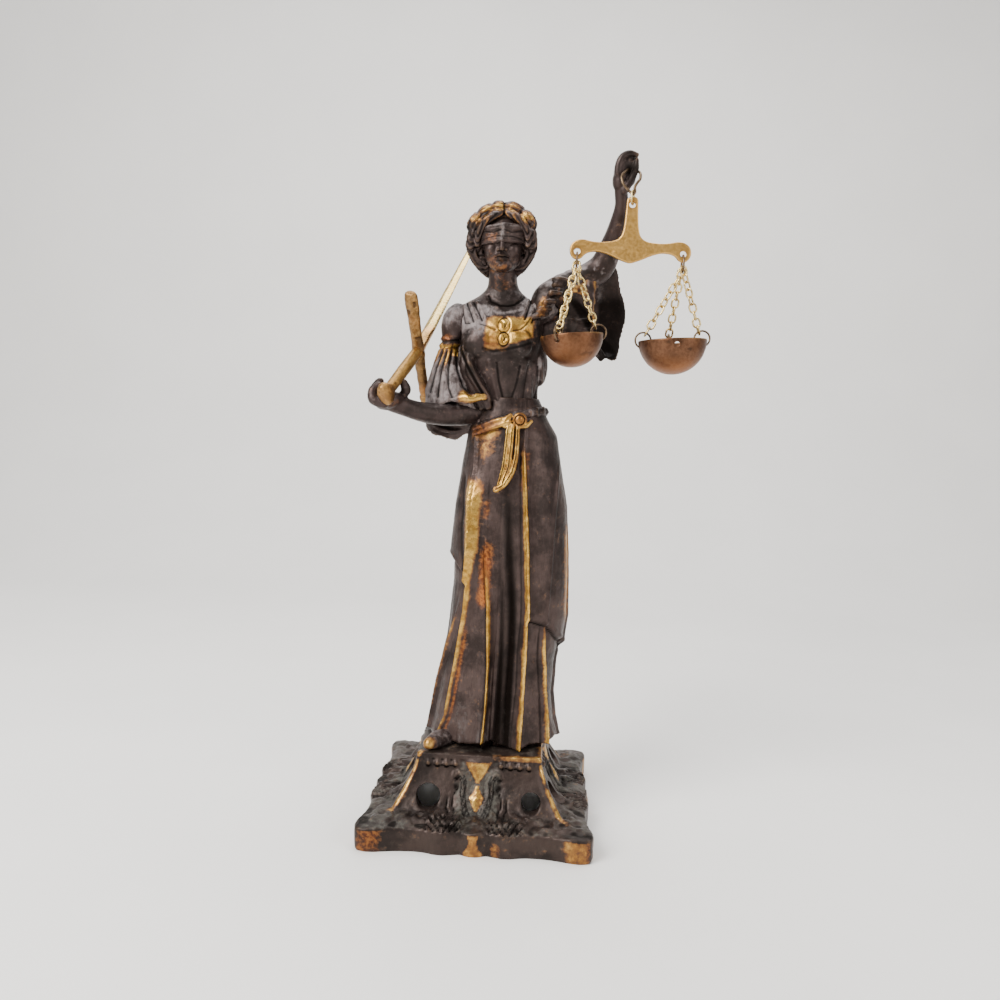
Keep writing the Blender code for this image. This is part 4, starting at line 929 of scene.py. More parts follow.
def foot_shape():
    shape = Shape()
    add_base_shell(shape)
    low = PLATE_HEIGHT
    high = PLATFORM_TOP - PLATFORM_LIP + 0.4 * MM
    for turn in range(4):
        rib = []
        for step in range(13):
            height = low + 0.6 * MM + (high - low - 0.6 * MM) * step / 12
            rib.append(on_face(turn, -flare_half(height) + 0.9 * MM, height, -0.9 * MM))
        shape.add_tube(rib, [2.0 * MM - 0.04 * MM * step for step in range(13)], 12)
        add_boss(shape, turn, high, SHIELD)
        add_boss(shape, turn, high, LOZENGE)
        for bead in range(12):
            across = (-22.0 + 4.0 * bead) * MM
            if abs(across) > 6.5 * MM:
                point = on_face(turn, across, high - 2.0 * MM, 0.5 * MM)
                shape.add_blob(point, [1.5 * MM] * 3, sides=12)
        for side in (-1, 1):
            leaf = smooth_path(FACE_LEAF, 6)
            for offset, thin in ((0.0, 0.72), (1.1, 0.5), (-1.1, 0.5)):
                shape.add_tube(
                    [on_face(turn, side * (point[0] + offset) * MM, low + point[1] * MM,
                             (point[2] + 0.4 - abs(offset) * 0.5) * MM) for point in leaf],
                    [point[3] * thin * MM for point in leaf], 10,
                )
            for leaf in PLATE_LEAVES:
                leaf = smooth_path(leaf, 4)
                for offset in (-0.9, 0.0, 0.9):
                    count = len(leaf) - 1
                    shape.add_tube(
                        [on_face(turn, side * (point[0] + offset * 2.0 * step / count) * MM,
                                 low + (point[1] + 0.2) * MM, point[2] * MM)
                         for step, point in enumerate(leaf)],
                        [point[3] * 0.72 * MM for point in leaf], 10, 0.8,
                    )
        spin = quarter(turn)
        edge = -BASE_WIDTH / 2 + 0.6 * MM
        tassel = ((10.2, 1.7, 1.6), (8.0, 1.2, 1.0), (5.0, 1.6, 0.7), (1.8, 2.6, 0.9))
        shape.add_tube(
            [spin @ Vector((0.0, edge + reach * MM, height * MM))
             for height, _, reach in tassel],
            [radius * MM for _, radius, _ in tassel], 12, 0.45,
        )
    return shape


def foot_cutters():
    """The holes through the block's walls, with slightly uneven rims."""
    shape = Shape()
    for turn in range(4):
        spin = quarter(turn)
        for side in (0, 1):
            across, height, radius = hole_middle(side)
            rings = []
            for reach in (BLOCK_FOOT / 2 + 2 * MM, BLOCK_NECK / 2 - 2.4 * CAST_WALL):
                ring = []
                for angle in circle(40):
                    wide = radius * (1 + 0.04 * math.sin(3 * angle + turn))
                    tall = radius * (1 + 0.04 * math.cos(2 * angle))
                    ring.append(spin @ Vector((across + wide * math.cos(angle), -reach,
                                               height + tall * math.sin(angle))))
                rings.append(ring)
            shape.add_rings(rings)
    return shape.mesh("foot_cutters")


# Chased lines of the leaves on a face: across and height above the plate
FACE_LINES = (
    ((2.2, 1.0), (4.4, 5.0), (5.2, 9.6), (4.8, 13.6), (6.2, 16.4)),
    ((4.6, 1.4), (6.4, 5.4), (7.4, 9.8), (7.0, 13.4), (8.4, 14.8), (9.6, 13.4)),
    ((3.4, 1.0), (5.6, 6.0), (6.3, 10.4), (5.9, 14.0), (8.2, 16.0), (10.2, 14.0)),
    ((9.0, 1.4), (10.6, 4.4), (10.2, 8.0), (8.6, 10.6)),
    ((11.6, 1.2), (13.0, 3.6), (12.6, 7.0)),
)


def foot_relief(p, normals):
    """Punched grounds, chased leaves and worn edges, alike on the four faces."""
    x, y, z = p.T
    z = z + (PLATFORM_TOP / MM - POSE_PLATFORM)
    turned = np.abs(x) > np.abs(y)
    u = np.where(turned, np.where(x > 0, y, -y), np.where(y < 0, x, -x))
    reach = np.where(turned, np.abs(x), np.abs(y))
    lip = PLATFORM_TOP / MM - PLATFORM_LIP / MM
    low = PLATE_HEIGHT / MM
    inside = (normals[:, 2] < -0.3) & (z > 1.5) | (reach < 17.0) & (z < lip)
    outside = ~inside
    block = soft(z, low + 0.4, low + 1.6) * soft(-z, -lip, -lip + 0.8) * outside
    fine = rough(p, 1.5, 80, 2)
    slow = noise(p, 9.0, 91)
    shield = soft(6.4 - np.abs(u) - 0.66 * (lip - z), -0.3, 0.7) * soft(z, lip - 9.5, lip - 8.0)
    shield = shield * block
    drop = lip + 0.4 - z
    rhomb = 1.0 - np.abs(u) / 3.5 - np.abs(drop - 14.8) / 5.8
    lozenge = soft(rhomb, 0.0, 0.18) * block
    rim = block * bump(rhomb + 0.26, 0.16)
    grains = soft(noise(p, 0.9, 86), -0.2, 0.5)
    lift = 0.08 * fine + 0.22 * rough(p, 7.0, 83)
    lift += 0.30 * lozenge * grains + 0.50 * rim * grains
    ground = block * soft(11.5 - np.abs(u), 0.0, 3.5) * (1.0 - shield) * (1.0 - lozenge)
    lift += 0.30 * ground * grains
    shade = 0.55 * bump(rhomb + 0.06, 0.06) * block
    for line in FACE_LINES:
        away, _ = line_distance(np.abs(u), z - low, line)
        lift -= 0.55 * block * bump(away, 0.42)
        shade = np.maximum(shade, 0.8 * block * bump(away, 0.42))
    eye = np.hypot(np.abs(u) - 9.3, (z - low - 11.2) * 0.9)
    lift -= 0.8 * block * bump(eye, 1.6)
    shade = np.maximum(shade, 0.75 * block * bump(eye, 1.5))
    for side in (0, 1):
        across, height, radius = hole_middle(side)
        ring = np.hypot(u - across / MM, z - height / MM) - radius / MM
        lift += block * 0.45 * bump(ring - 0.7, 0.6) * soft(height / MM - z, 0.0, 3.0)
        shade = np.maximum(shade, 0.5 * block * bump(ring + 0.2, 0.5))
    bead = block * soft(z, lip - 3.4, lip - 2.8) * soft(9.0 - np.abs(u), -16.0, -14.0)
    shade = np.maximum(shade, 0.5 * bead * bump(z - lip + 3.3, 0.6))
    level = soft(normals[:, 2], 0.4, 0.9)
    plate_top = level * soft(-z, -low - 2.4, -low - 0.6) * soft(z, 4.0, 7.0)
    chase = np.sin(2.4 * np.abs(u) + 1.1 * (reach - 38.0) * np.sign(np.abs(u) - 13.0)
                   + 1.8 * noise(p, 6.0, 88))
    leafy = plate_top * soft(9.5 - np.abs(np.abs(u) - 13.0), 0.0, 3.0) * soft(reach, 34.0, 37.0)
    vines = np.abs(rough(p, 6.5, 93, 2))
    knots = soft(-vines, -0.34, -0.06) * soft(47.0 - np.maximum(np.abs(x), np.abs(y)), -1.0, 3.0)
    lift += leafy * 0.60 * chase + plate_top * (1.0 * knots + 0.30 * rough(p, 1.8, 89, 2))
    shade = np.maximum(shade, 0.8 * leafy * soft(-chase, 0.30, 0.90))
    shade = np.maximum(shade, 0.6 * plate_top * soft(vines, 0.30, 0.55))
    ratio = np.minimum(np.abs(x), np.abs(y)) / np.maximum(np.abs(x), np.abs(y))
    corner = soft(ratio, 0.90, 0.965)
    wall = outside * soft(-z, -low, -low + 0.8) * soft(-normals[:, 2], -0.5, -0.2)
    flare = 2.4 - np.abs(u) + 1.6 * soft(-z, -4.5, -1.0) - 0.9 * bump(z - 6.5, 1.6)
    tassel = wall * soft(flare, -0.3, 0.3)
    front = ~turned & (y < 0)
    worn = soft(fine + 1.2 * slow, -0.9, 0.2)
    right = 0.75 + 0.25 * (front & (u > 0))
    left = 1.0 - 0.75 * (front & (u < 0))
    edge = soft(np.maximum(np.abs(x), np.abs(y)), 24.4, 26.4) * soft(z, lip + 0.3, lip + 1.2)
    brass = strongest(
        (0.65 + 0.2 * grains) * shield, (0.55 + 0.4 * grains) * lozenge, 0.58 * tassel,
        right * soft(ratio, 0.93, 0.975) * block * worn,
        0.42 * front * wall * patch(u, z, (7.8, 10.6, 0.0, 6.4), 1.4),
        0.56 * wall * soft(np.abs(u), 36.5, 40.0) * soft(-np.abs(u), -49.0, -46.5) * left,
        0.50 * edge * soft(slow + 0.05 * x, 0.1, 1.0), 0.9 * edge * corner,
    )
    copper = strongest(
        0.65 * tassel, 0.60 * wall * soft(np.abs(u), 36.0, 41.0) * soft(-np.abs(u), -50.0, -47.5),
        0.55 * front * wall * patch(u, z, (7.0, 11.6, 0.0, 6.0), 1.6),
    )
    dust_and_sheen = soft(noise(p, 8.0, 95), -1.1, 0.2) * strongest(
        0.70 * plate_top * (0.4 + 0.6 * soft(rough(p, 3.0, 98), -0.4, 0.5)), 0.85 * ground,
        0.45 * level * soft(z, lip + 1.6, lip + 2.4),
    )
    brass = np.where(inside, 0.0, brass)
    return lift, wear_and_light_masks(brass, copper, dust_and_sheen, np.where(inside, 0.9, shade))


def foot_mesh():
    mesh = skin("foot", foot_shape(), 0.78 * MM)
    mesh = sculpt(mesh, foot_relief)
    points, _ = arrays_of(mesh)
    points[:, 2] = np.clip(points[:, 2], 0.0, PLATFORM_TOP)
    set_points(mesh, points)
    return cut_away(mesh, foot_cutters())


# Skirt

# Middle, half width and half depth of the skirt at heights from its hem to the waist
SKIRT_MIDDLE = ((35, 4.3), (45, 3.9), (57, 4.2), (72, 5.6), (81, 7.4), (93, 8.6), (108, 9.0),
                (122, 8.6), (143, 8.7), (164, 8.3), (174, 8.1), (185, 7.0), (191, 5.8))
SKIRT_WIDTH = ((35, 30.6), (45, 28.2), (57, 26.4), (72, 25.6), (81, 25.4), (93, 25.6), (108, 24.8),
               (122, 24.8), (143, 23.4), (164, 20.2), (174, 18.4), (185, 15.6), (191, 13.8))
SKIRT_DEPTH = ((35, 23.0), (57, 19.8), (93, 18.2), (122, 17.5), (143, 16.4), (164, 14.8),
               (185, 12.0), (191, 10.8))

# Ridges of the skirt: places across the front by height, rise by height, width by height, and
# how brightly the crest is rubbed by height
RIDGES = (
    (((37, -19.0), (49, -14.9), (73, -11.6), (96, -8.4), (110, -7.5), (124, -6.7), (155, -6.6)),
     ((35, 3.0), (96, 2.8), (124, 3.0), (145, 2.8), (160, 0.0)),
     ((35, 0.75), (96, 0.95), (124, 2.3), (145, 3.1)),
     ((35, 0.35), (50, 0.7), (100, 1.0), (150, 1.0), (157, 0.0))),
    (((37, 0.6), (51, 1.6), (74, 2.1), (97, 1.3), (122, -1.1)),
     ((35, 2.6), (97, 2.4), (118, 1.2), (128, 0.0)),
     ((35, 0.70), (97, 0.85)),
     ((35, 0.9), (60, 1.0), (108, 0.9), (116, 0.2), (124, 0.0))),
    (((38, 16.4), (58, 16.9), (81, 17.7), (98, 17.8), (125, 16.5), (155, 14.5), (168, 13.5)),
     ((35, 2.8), (98, 2.4), (150, 1.6), (172, 0.3)),
     ((35, 1.0), (98, 0.80), (160, 0.75)),
     ((35, 1.0), (158, 1.0), (168, 0.3), (174, 0.0))),
    (((38, 28.1), (51, 27.3), (63, 26.2), (74, 25.8), (92, 26.0)),
     ((35, 2.6), (70, 2.2), (90, 0.6), (96, 0.0)),
     ((35, 1.0), (90, 0.85)),
     ((35, 0.9), (80, 1.0), (88, 0.4), (92, 0.0))),
    (((38, -25.5), (61, -21.0), (76, -17.4), (88, -14.6), (104, -11.0)),
     ((35, 1.6), (80, 1.8), (104, 0.0)),
     ((35, 1.2), (88, 1.2)),
     ((35, 0.1), (62, 0.35), (88, 0.5), (96, 0.0))),
)
LEFT_HEM = ((-30.0, 120.0), (-16.5, 119.5), (-11.0, 113.0), (-7.5, 108.0))
RIGHT_HEM = ((17.5, 93.5), (21.0, 93.0), (26.5, 91.0), (33.0, 82.0), (35.5, 80.0), (60.0, 80.0))
OVERSKIRT = 1.5
SKIRT_TOP = 191.0


def skirt_grid(around, height):
    """The skirt's surface in the pose's millimetres, and the masks of its finish and of its
    painted shade.
    """
    middle = read_table(height, SKIRT_MIDDLE)
    wide = read_table(height, SKIRT_WIDTH)
    deep = read_table(height, SKIRT_DEPTH)
    across = middle + wide * np.sin(around)
    girth = 0.5 * (wide + deep)
    front = soft(np.cos(around), -0.02, 0.10)
    low = np.clip((168.0 - height) / 110.0, 0.0, 1.0)
    flat = np.stack([across, -deep * np.cos(around), height], axis=-1).reshape(-1, 3)
    out = np.zeros(height.shape)
    brass = np.zeros(height.shape)
    shade = np.zeros(height.shape)
    places = []
    for places_by_height, rises, widths, shine in RIDGES:
        ridge = read_table(height, places_by_height)
        places.append(ridge)
        share = np.clip((ridge - middle) / wide, -0.98, 0.98)
        away = (around - np.arcsin(share)) * girth
        wander = rough(flat, 17.0, 96, 2).reshape(height.shape)
        width = read_table(height, widths) * (0.92 + 0.35 * wander)
        rise = read_table(height, rises)
        out += front * rise * (0.72 * bump(away, width * 1.05) + 0.28 * bump(away, width * 0.5))
        out -= front * 0.35 * np.minimum(rise, 1.0) * (bump(away - 2.1 * width, width * 0.6)
                                                      + bump(away + 2.1 * width, width * 0.6))
        ragged = 0.18 * rough(flat, 5.0, 90).reshape(height.shape)
        worn = read_table(height, ((35, 0.72), (105, 0.80), (130, 1.1))) + ragged
        rub = 1.12 * soft(bump(away, width * worn), 0.10, 0.90)
        brass = np.maximum(brass, front * read_table(height, shine) * rub)
        shade = np.maximum(shade, front * 0.55 * bump(away + 2.0 * width, width * 0.6)
                           * np.minimum(rise, 1.0))

    def between_ridges(left, right):
        share = (across - places[left]) / np.maximum(1.0, places[right] - places[left])
        return np.clip(share, 0.0, 1.0)

    recess = between_ridges(1, 2)
    out -= front * 4.9 * low * np.sin(math.pi * recess) ** 0.6
    out += front * 1.1 * low * np.cos(4 * math.pi * recess) * np.sin(math.pi * recess)
    out += front * 0.9 * low * (bump(across - 6.6 - 0.02 * (height - 60), 0.7)
                                - bump(across - 4.4 - 0.01 * (height - 60), 0.6))
    hollow = between_ridges(0, 1)
    out -= front * 1.5 * soft(110.0 - height, 0.0, 12.0) * np.sin(math.pi * hollow)
    side = between_ridges(2, 3)
    out -= front * 1.4 * soft(92.0 - height, 0.0, 6.0) * np.sin(math.pi * side)

    left_hem = read_table(across, LEFT_HEM)
    right_hem = read_table(across, RIGHT_HEM)
    back_hem = 99.8 - 19.8 * np.sin(around) + 1.2 * np.cos(9 * around)
    hem = np.where(front > 0.5, np.where(across < places[0], left_hem, right_hem), back_hem)
    over = (front <= 0.5) | (across < places[0]) | (across > places[2])
    step = over / (1.0 + np.exp(-(height - hem) / 0.45))
    step *= soft(184.0 - height, 0.0, 10.0)
    out += OVERSKIRT * step + 0.35 * over * bump(height - hem - 1.6, 0.9)
    out -= 0.5 * over * bump(height - hem + 1.4, 1.2)

    back = 1.0 - front
    sweep = around + 0.0016 * (height - 40.0)
    out += back * low * (1.2 * np.cos(7 * sweep) + 0.7 * np.cos(13 * sweep + 1.0)
                         + 0.35 * np.cos(29 * sweep))
    strokes = rough(flat, 3.4, 11, stretch=(1.0, 1.0, 9.0)).reshape(height.shape)
    wrinkles = rough(flat, 9.0, 14, stretch=(1.0, 1.0, 2.6)).reshape(height.shape)
    hem_wear = soft(62.0 - height, 0.0, 22.0)
    out += 0.26 * strokes * (0.6 + hem_wear) + 0.30 * wrinkles
    pits = rough(flat, 1.5, 17, 2).reshape(height.shape)
    out += 0.07 * pits * (1.0 + 1.6 * brass + hem_wear)
    crease = across - 26.0 - 0.033 * (height - 96.0)
    out += 0.45 * front * bump(crease, 0.45) * soft(height, 93.0, 97.0) * soft(
        176.0 - height, 0.0, 26.0)

    shade = np.maximum(shade, over * 0.8 * bump(height - hem + 0.7, 0.6))
    fold = 0.75 + 0.25 * np.sin(5.0 * math.pi * recess + 0.04 * height)
    deepest = soft(np.sin(math.pi * recess ** 1.3), 0.25, 0.85) * soft(174.0 - height, 0.0, 34.0)
    shade = np.maximum(shade, front * fold * deepest * (0.45 + 0.5 * low))
    spread = 1.0 + out / girth
    points = np.stack([middle + wide * spread * np.sin(around),
                       -deep * spread * np.cos(around), height], axis=-1).reshape(-1, 3)
    masks = {"shade": shade.ravel() * (1.0 - brass.ravel()),
             "brass": skirt_brass(points, brass.ravel(), front.ravel()),
             "copper": skirt_copper(points, front.ravel()),
             "dust_and_sheen": (0.75 * hem_wear * soft(strokes, -0.4, 0.5) * (1.0 - brass)
                      * soft(20.0 - across, -4.0, 12.0)).ravel()}
    return points, masks


# Rubbed and coppery patches of the skirt's front: strength, box across and up, edge
SKIRT_RUBBED = (
    (0.47, (-5.6, 0.0, 163.5, 173.0), 3.4), (0.90, (-8.7, -4.8, 122.0, 150.0), 1.3),
    (0.55, (-9.5, 2.5, 172.0, 178.5), 2.4),
)
SKIRT_COPPER = (
    (0.8, (-9.0, -2.6, 147.0, 154.0), 3.0), (0.6, (-3.4, 0.4, 137.0, 146.0), 2.0),
    (0.5, (12.5, 17.0, 150.0, 168.0), 1.6),
)


def skirt_rim_highlight(points, low, high, box, edge, width):
    """A painted highlight of brass and copper along the skirt's right side, at its silhouette."""
    x, y, z = points.T
    return 0.70 * soft(x, low, high) * patch(x, z, box, edge) * bump(y + 2.5, width)


def skirt_brass(points, brass, front):
    x, _, z = points.T
    # Painted highlight along the right silhouette, laid on as brass
    edge = skirt_rim_highlight(points, 32.4, 34.4, (30.0, 60.0, 92.0, 134.0), 5.0, 4.0)
    return strongest(brass, front * patches(x, z, SKIRT_RUBBED), edge)


def skirt_copper(points, front):
    x, _, z = points.T
    middle = -5.0 + 0.04 * z
    fold = bump(x - middle + 0.6, 3.2) * soft(z, 94.0, 101.0) * soft(-z, -131.0, -122.0)
    ridge = 0.8 * bump(x - read_table(z, RIDGES[0][0]) - 0.8, 1.0) * soft(-z, -96.0, -80.0)
    # Painted highlight along the right silhouette, laid on as copper
    edge = skirt_rim_highlight(points, 31.4, 33.6, (26.0, 60.0, 94.0, 130.0), 8.0, 5.0)
    return strongest(front * strongest(fold, patches(x, z, SKIRT_COPPER), ridge), edge)


def skirt_mesh():
    """The skirt as one fine grid, turned in under its hem and closed."""
    columns, rows = 380, 196
    turn = np.linspace(-math.pi, math.pi, columns, endpoint=False)
    around = turn - 0.35 * np.sin(turn)
    low = 37.4 + 0.9 * np.cos(5 * around + 0.6) + 0.6 * np.cos(9 * around)
    low += 0.35 * noise(np.stack([around * 20, around * 0, around * 0], axis=-1), 2.0, 5)
    share = np.linspace(0.0, 1.0, rows)[:, None]
    height = low + (SKIRT_TOP - low) * share
    around = np.broadcast_to(around, height.shape)
    points, masks = skirt_grid(around, height)
    grid = points.reshape(rows, columns, 3)
    middle = np.array([4.3, 0.0, 0.0])
    inner = []
    for shrink, rise in ((0.86, 3.0), (0.90, 3.0), (0.965, 0.3), (0.99, -0.25)):
        ring = (grid[0] - middle) * (shrink, shrink, 1.0) + middle + (0.0, 0.0, rise)
        inner.append(ring)
    foot = inner[0].copy()
    foot[:, 2] = POSE_PLATFORM + FLOOR_GAP
    grid = np.concatenate([np.stack([foot] + inner), grid])
    extra = len(grid) - rows
    names = list(masks)
    for name in names:
        plain = np.zeros(extra * columns)
        masks[name] = np.concatenate([plain, masks[name]])
    masks["dust_and_sheen"][:extra * columns] = 0.2
    total = len(grid)
    index = np.arange(total * columns).reshape(total, columns)
    after = np.roll(index, -1, axis=1)
    quads = np.stack([index[:-1], after[:-1], after[1:], index[1:]], axis=-1).reshape(-1, 4)
    flat = grid.reshape(-1, 3) * UNIT
    flat[:, 2] += PLATFORM_TOP - POSE_PLATFORM * UNIT
    mesh = bpy.data.meshes.new("skirt")
    faces = [tuple(quad) for quad in quads.tolist()]
    faces.append(tuple(index[0, ::-1].tolist()))
    faces.append(tuple(index[-1].tolist()))
    mesh.from_pydata(flat.tolist(), [], faces)
    mesh.update()
    return finish_and_light_masks(mesh, masks, 2.0)


# Upper body

# Height, middle across, middle in depth, half width and half depth of the trunk
TRUNK = (
    (178, 7.2, 0.2, 15.6, 12.2), (184, 6.2, 0.2, 14.6, 11.4), (188, 5.6, 0.0, 13.6, 10.4),
    (194, 4.6, -0.2, 14.2, 10.8), (203, 3.0, -0.8, 16.4, 12.0), (212, 1.6, -1.4, 18.0, 13.4),
    (220, 0.8, -1.0, 19.0, 13.0), (227, 0.6, 0.6, 19.2, 11.0), (232, 0.8, 1.6, 16.6, 9.0),
    (236, 1.4, 2.0, 10.6, 7.8), (240, 1.3, 1.6, 7.0, 6.8), (246, 1.0, 0.4, 6.2, 6.2),
)


def tube(shape, path, radius, sides=10):
    """A closed loop of one thickness, in the pose's millimetres."""
    shape.add_tube([place(point) for point in path], radius * UNIT, sides, closed=True)


def torso_shape():
    shape = Shape()
    rings = []
    for height, middle, setback, wide, deep in smooth_path(TRUNK, 5):
        rings.append([
            place((middle + wide * math.sin(around), setback - deep * math.cos(around), height))
            for around in circle(96)
        ])
    shape.add_rings(rings)
    for across in (-6.6, 8.4):
        add_mass(shape, (across, -10.2, 214.5), (7.4, 4.8, 7.6))
    add_mass(shape, (17.0, 0.5, 208.0), (5.6, 7.5, 12.0), (0, -8, 0))
    add_mass(shape, (-12.0, 3.0, 201.0), (6.0, 7.0, 14.0), (0, 6, 0))
    for top_x, top_y, low_x, low_y, radius in (
        (-16.0, -4.0, -9.0, -6.6, 2.6), (-14.0, -7.6, -5.4, -9.6, 2.4),
        (-11.4, -10.4, -2.6, -11.0, 2.0), (-16.6, 0.6, -11.0, -2.4, 2.8),
    ):
        fold = ((top_x, top_y, 212.0, radius * 0.6), (top_x + 0.6, top_y - 0.6, 203.0, radius),
                (0.5 * (top_x + low_x) + 0.6, 0.5 * (top_y + low_y), 195.0, radius * 1.15),
                (low_x, low_y, 186.5, radius * 0.7))
        add_curve(shape, fold, 6, 16)
    add_mass(shape, (20.4, 2.0, 231.0), (6.4, 8.2, 7.6), (0, 22, 0))
    for strand in range(2):
        turns = circle(144)
        phase = math.pi * strand
        path = []
        for around in turns:
            twist = 26 * around + phase
            grow = 0.9 * math.cos(twist)
            path.append((
                6.9 + (15.2 + grow) * math.sin(around),
                0.2 - (12.4 + grow) * math.cos(around),
                181.2 + 4.2 * math.sin(around) + 1.0 * math.cos(around) + 0.9 * math.sin(twist),
            ))
        tube(shape, path, 1.35, 8)
    return shape


# The hanging ends of the belt: across, depth, height, radius
SASH_ENDS = (
    ((10.9, -14.6, 179.0, 1.0), (11.0, -15.6, 172.0, 1.0), (10.6, -16.7, 164.8, 1.1),
     (9.2, -17.5, 158.6, 1.2), (6.2, -17.9, 153.4, 1.3), (2.6, -17.8, 150.9, 1.5)),
    ((8.6, -14.8, 179.0, 0.9), (8.3, -15.9, 171.0, 1.0), (7.6, -17.0, 161.0, 1.0),
     (5.2, -17.7, 153.6, 0.9)),
    ((6.6, -14.6, 178.0, 0.8), (6.2, -15.9, 170.0, 0.9), (5.4, -16.9, 161.0, 0.9),
     (3.6, -17.5, 153.2, 0.8)),
)


def sash_shape():
    """The knot of the belt, its bow and its hanging ends."""
    shape = Shape()
    add_mass(shape, (11.6, -13.9, 181.4), (3.3, 2.2, 3.4))
    add_curve(shape, ((7.6, -13.8, 183.4, 0.9), (5.4, -14.0, 181.4, 1.2),
                      (4.6, -13.8, 178.8, 1.1), (7.6, -14.2, 178.6, 0.9)), 4, 8)
    add_curve(shape, ((-8.6, -8.6, 174.6, 0.9), (-5.0, -11.4, 175.8, 1.1),
                      (0.0, -13.4, 177.8, 1.3), (7.0, -14.2, 180.4, 1.2)), 4, 8)
    add_curve(shape, ((-8.6, -8.9, 176.8, 0.8), (-4.0, -12.0, 178.6, 1.1),
                      (1.0, -13.4, 180.6, 1.1), (7.0, -13.8, 182.2, 1.0)), 4, 8)
    add_curve(shape, ((12.0, -14.2, 178.6, 1.0), (14.6, -13.8, 178.9, 1.0),
                      (16.6, -12.6, 181.0, 0.8)), 4, 8)
    for path in SASH_ENDS:
        add_curve(shape, path, 4, 8)
    return shape


# Lines of the bodice, across and height: raised folds with their height and width, grooves with
# their depth and width
BODICE_FOLDS = (
    (((-16.3, 232.3), (-13.9, 227.4), (-12.1, 222.6)), 0.55, 0.8),
    (((-13.3, 232.9), (-10.6, 227.8), (-8.3, 222.6)), 0.65, 0.8),
    (((-9.9, 233.0), (-7.0, 228.6), (-4.4, 223.9)), 0.65, 0.8),
    (((13.4, 236.0), (11.6, 229.6), (10.4, 224.6)), 0.60, 0.8),
    (((16.4, 234.6), (15.0, 229.2), (13.2, 224.0)), 0.60, 0.8),
    (((18.8, 231.6), (18.0, 227.0), (16.6, 222.4)), 0.45, 0.8),
    (((-14.6, 219.0), (-14.2, 210.0), (-10.6, 200.0), (-4.4, 192.4), (-1.4, 187.0)), 0.9, 1.6),
    (((-12.0, 207.0), (-8.2, 199.0), (-3.0, 191.0), (0.4, 184.4)), 0.45, 1.1),
    (((-3.2, 208.0), (-1.0, 200.0), (1.6, 191.0), (3.4, 184.6)), 0.55, 1.5),
    (((13.6, 209.0), (12.0, 202.0), (9.4, 194.6), (8.6, 187.0)), 0.65, 1.5),
    (((16.6, 208.0), (16.6, 200.0), (15.4, 193.0), (14.6, 187.0)), 0.40, 1.0),
    (((6.0, 208.6), (5.2, 200.0), (5.6, 190.0)), 0.30, 1.6),
)
BODICE_GROOVES = (
    (((-14.7, 232.7), (-12.2, 227.6), (-10.2, 222.6)), 0.75, 0.5),
    (((-11.6, 233.1), (-8.8, 228.2), (-6.3, 223.2)), 0.85, 0.5),
    (((-20.6, 231.6), (-16.9, 231.9), (-15.6, 227.4), (-14.4, 222.8), (-11.4, 222.6)), 0.6, 0.55),
    (((-17.6, 229.0), (-17.0, 224.0), (-16.9, 219.0), (-15.6, 211.0), (-11.6, 203.0),
      (-6.4, 194.4), (-3.0, 188.6)), 0.9, 0.9),
    (((-5.1, 236.3), (-3.4, 233.0), (0.8, 231.3), (4.4, 231.2), (7.3, 231.9), (10.6, 234.6),
      (12.3, 237.7)), 0.9, 0.75),
    (((-8.1, 222.6), (-4.4, 221.6), (0.2, 219.9)), 0.6, 0.45),
    (((6.4, 220.0), (10.1, 220.6), (12.8, 222.8), (14.6, 226.3)), 0.6, 0.45),
    (((14.9, 236.0), (13.3, 229.6), (11.8, 224.4)), 0.75, 0.5),
    (((17.6, 233.6), (16.6, 228.4), (15.0, 223.4)), 0.75, 0.5),
    (((-6.6, 212.0), (-1.0, 210.6), (5.0, 211.6), (12.0, 213.4), (16.6, 215.6)), 0.5, 1.3),
    (((0.4, 206.6), (1.6, 198.0), (4.4, 188.0)), 0.55, 1.0),
    (((11.0, 205.6), (9.6, 198.0), (7.0, 189.0)), 0.50, 1.0),
    (((14.4, 206.0), (13.4, 198.0), (12.4, 190.0)), 0.45, 0.8),
    (((18.4, 206.0), (18.6, 198.0), (17.6, 190.6)), 0.50, 0.5),
    (((20.0, 204.0), (19.6, 197.0), (18.8, 191.0)), 0.40, 0.5),
)
# The buckle's two loops (across, height, half width, half height) and the strokes inside them
BUCKLES = ((3.2, 222.2, 2.45, 3.15), (3.2, 216.0, 2.25, 2.95))
BUCKLE_STROKES = (
    ((2.0, 223.6), (3.2, 222.6), (3.4, 221.0)), ((4.4, 223.2), (3.8, 221.4)),
    ((3.0, 217.6), (3.4, 216.0), (3.0, 214.8)), ((4.2, 217.0), (3.9, 215.4)),
)
BODICE_RUBBED = ((0.55, (-5.0, 5.0, 210.8, 214.0), 1.2), (0.45, (-1.0, 3.0, 184.0, 188.0), 2.0))
BODICE_COPPER = ((0.95, (-5.4, 1.6, 211.8, 218.0), 1.6), (0.5, (12.6, 16.6, 217.0, 222.0), 1.2))


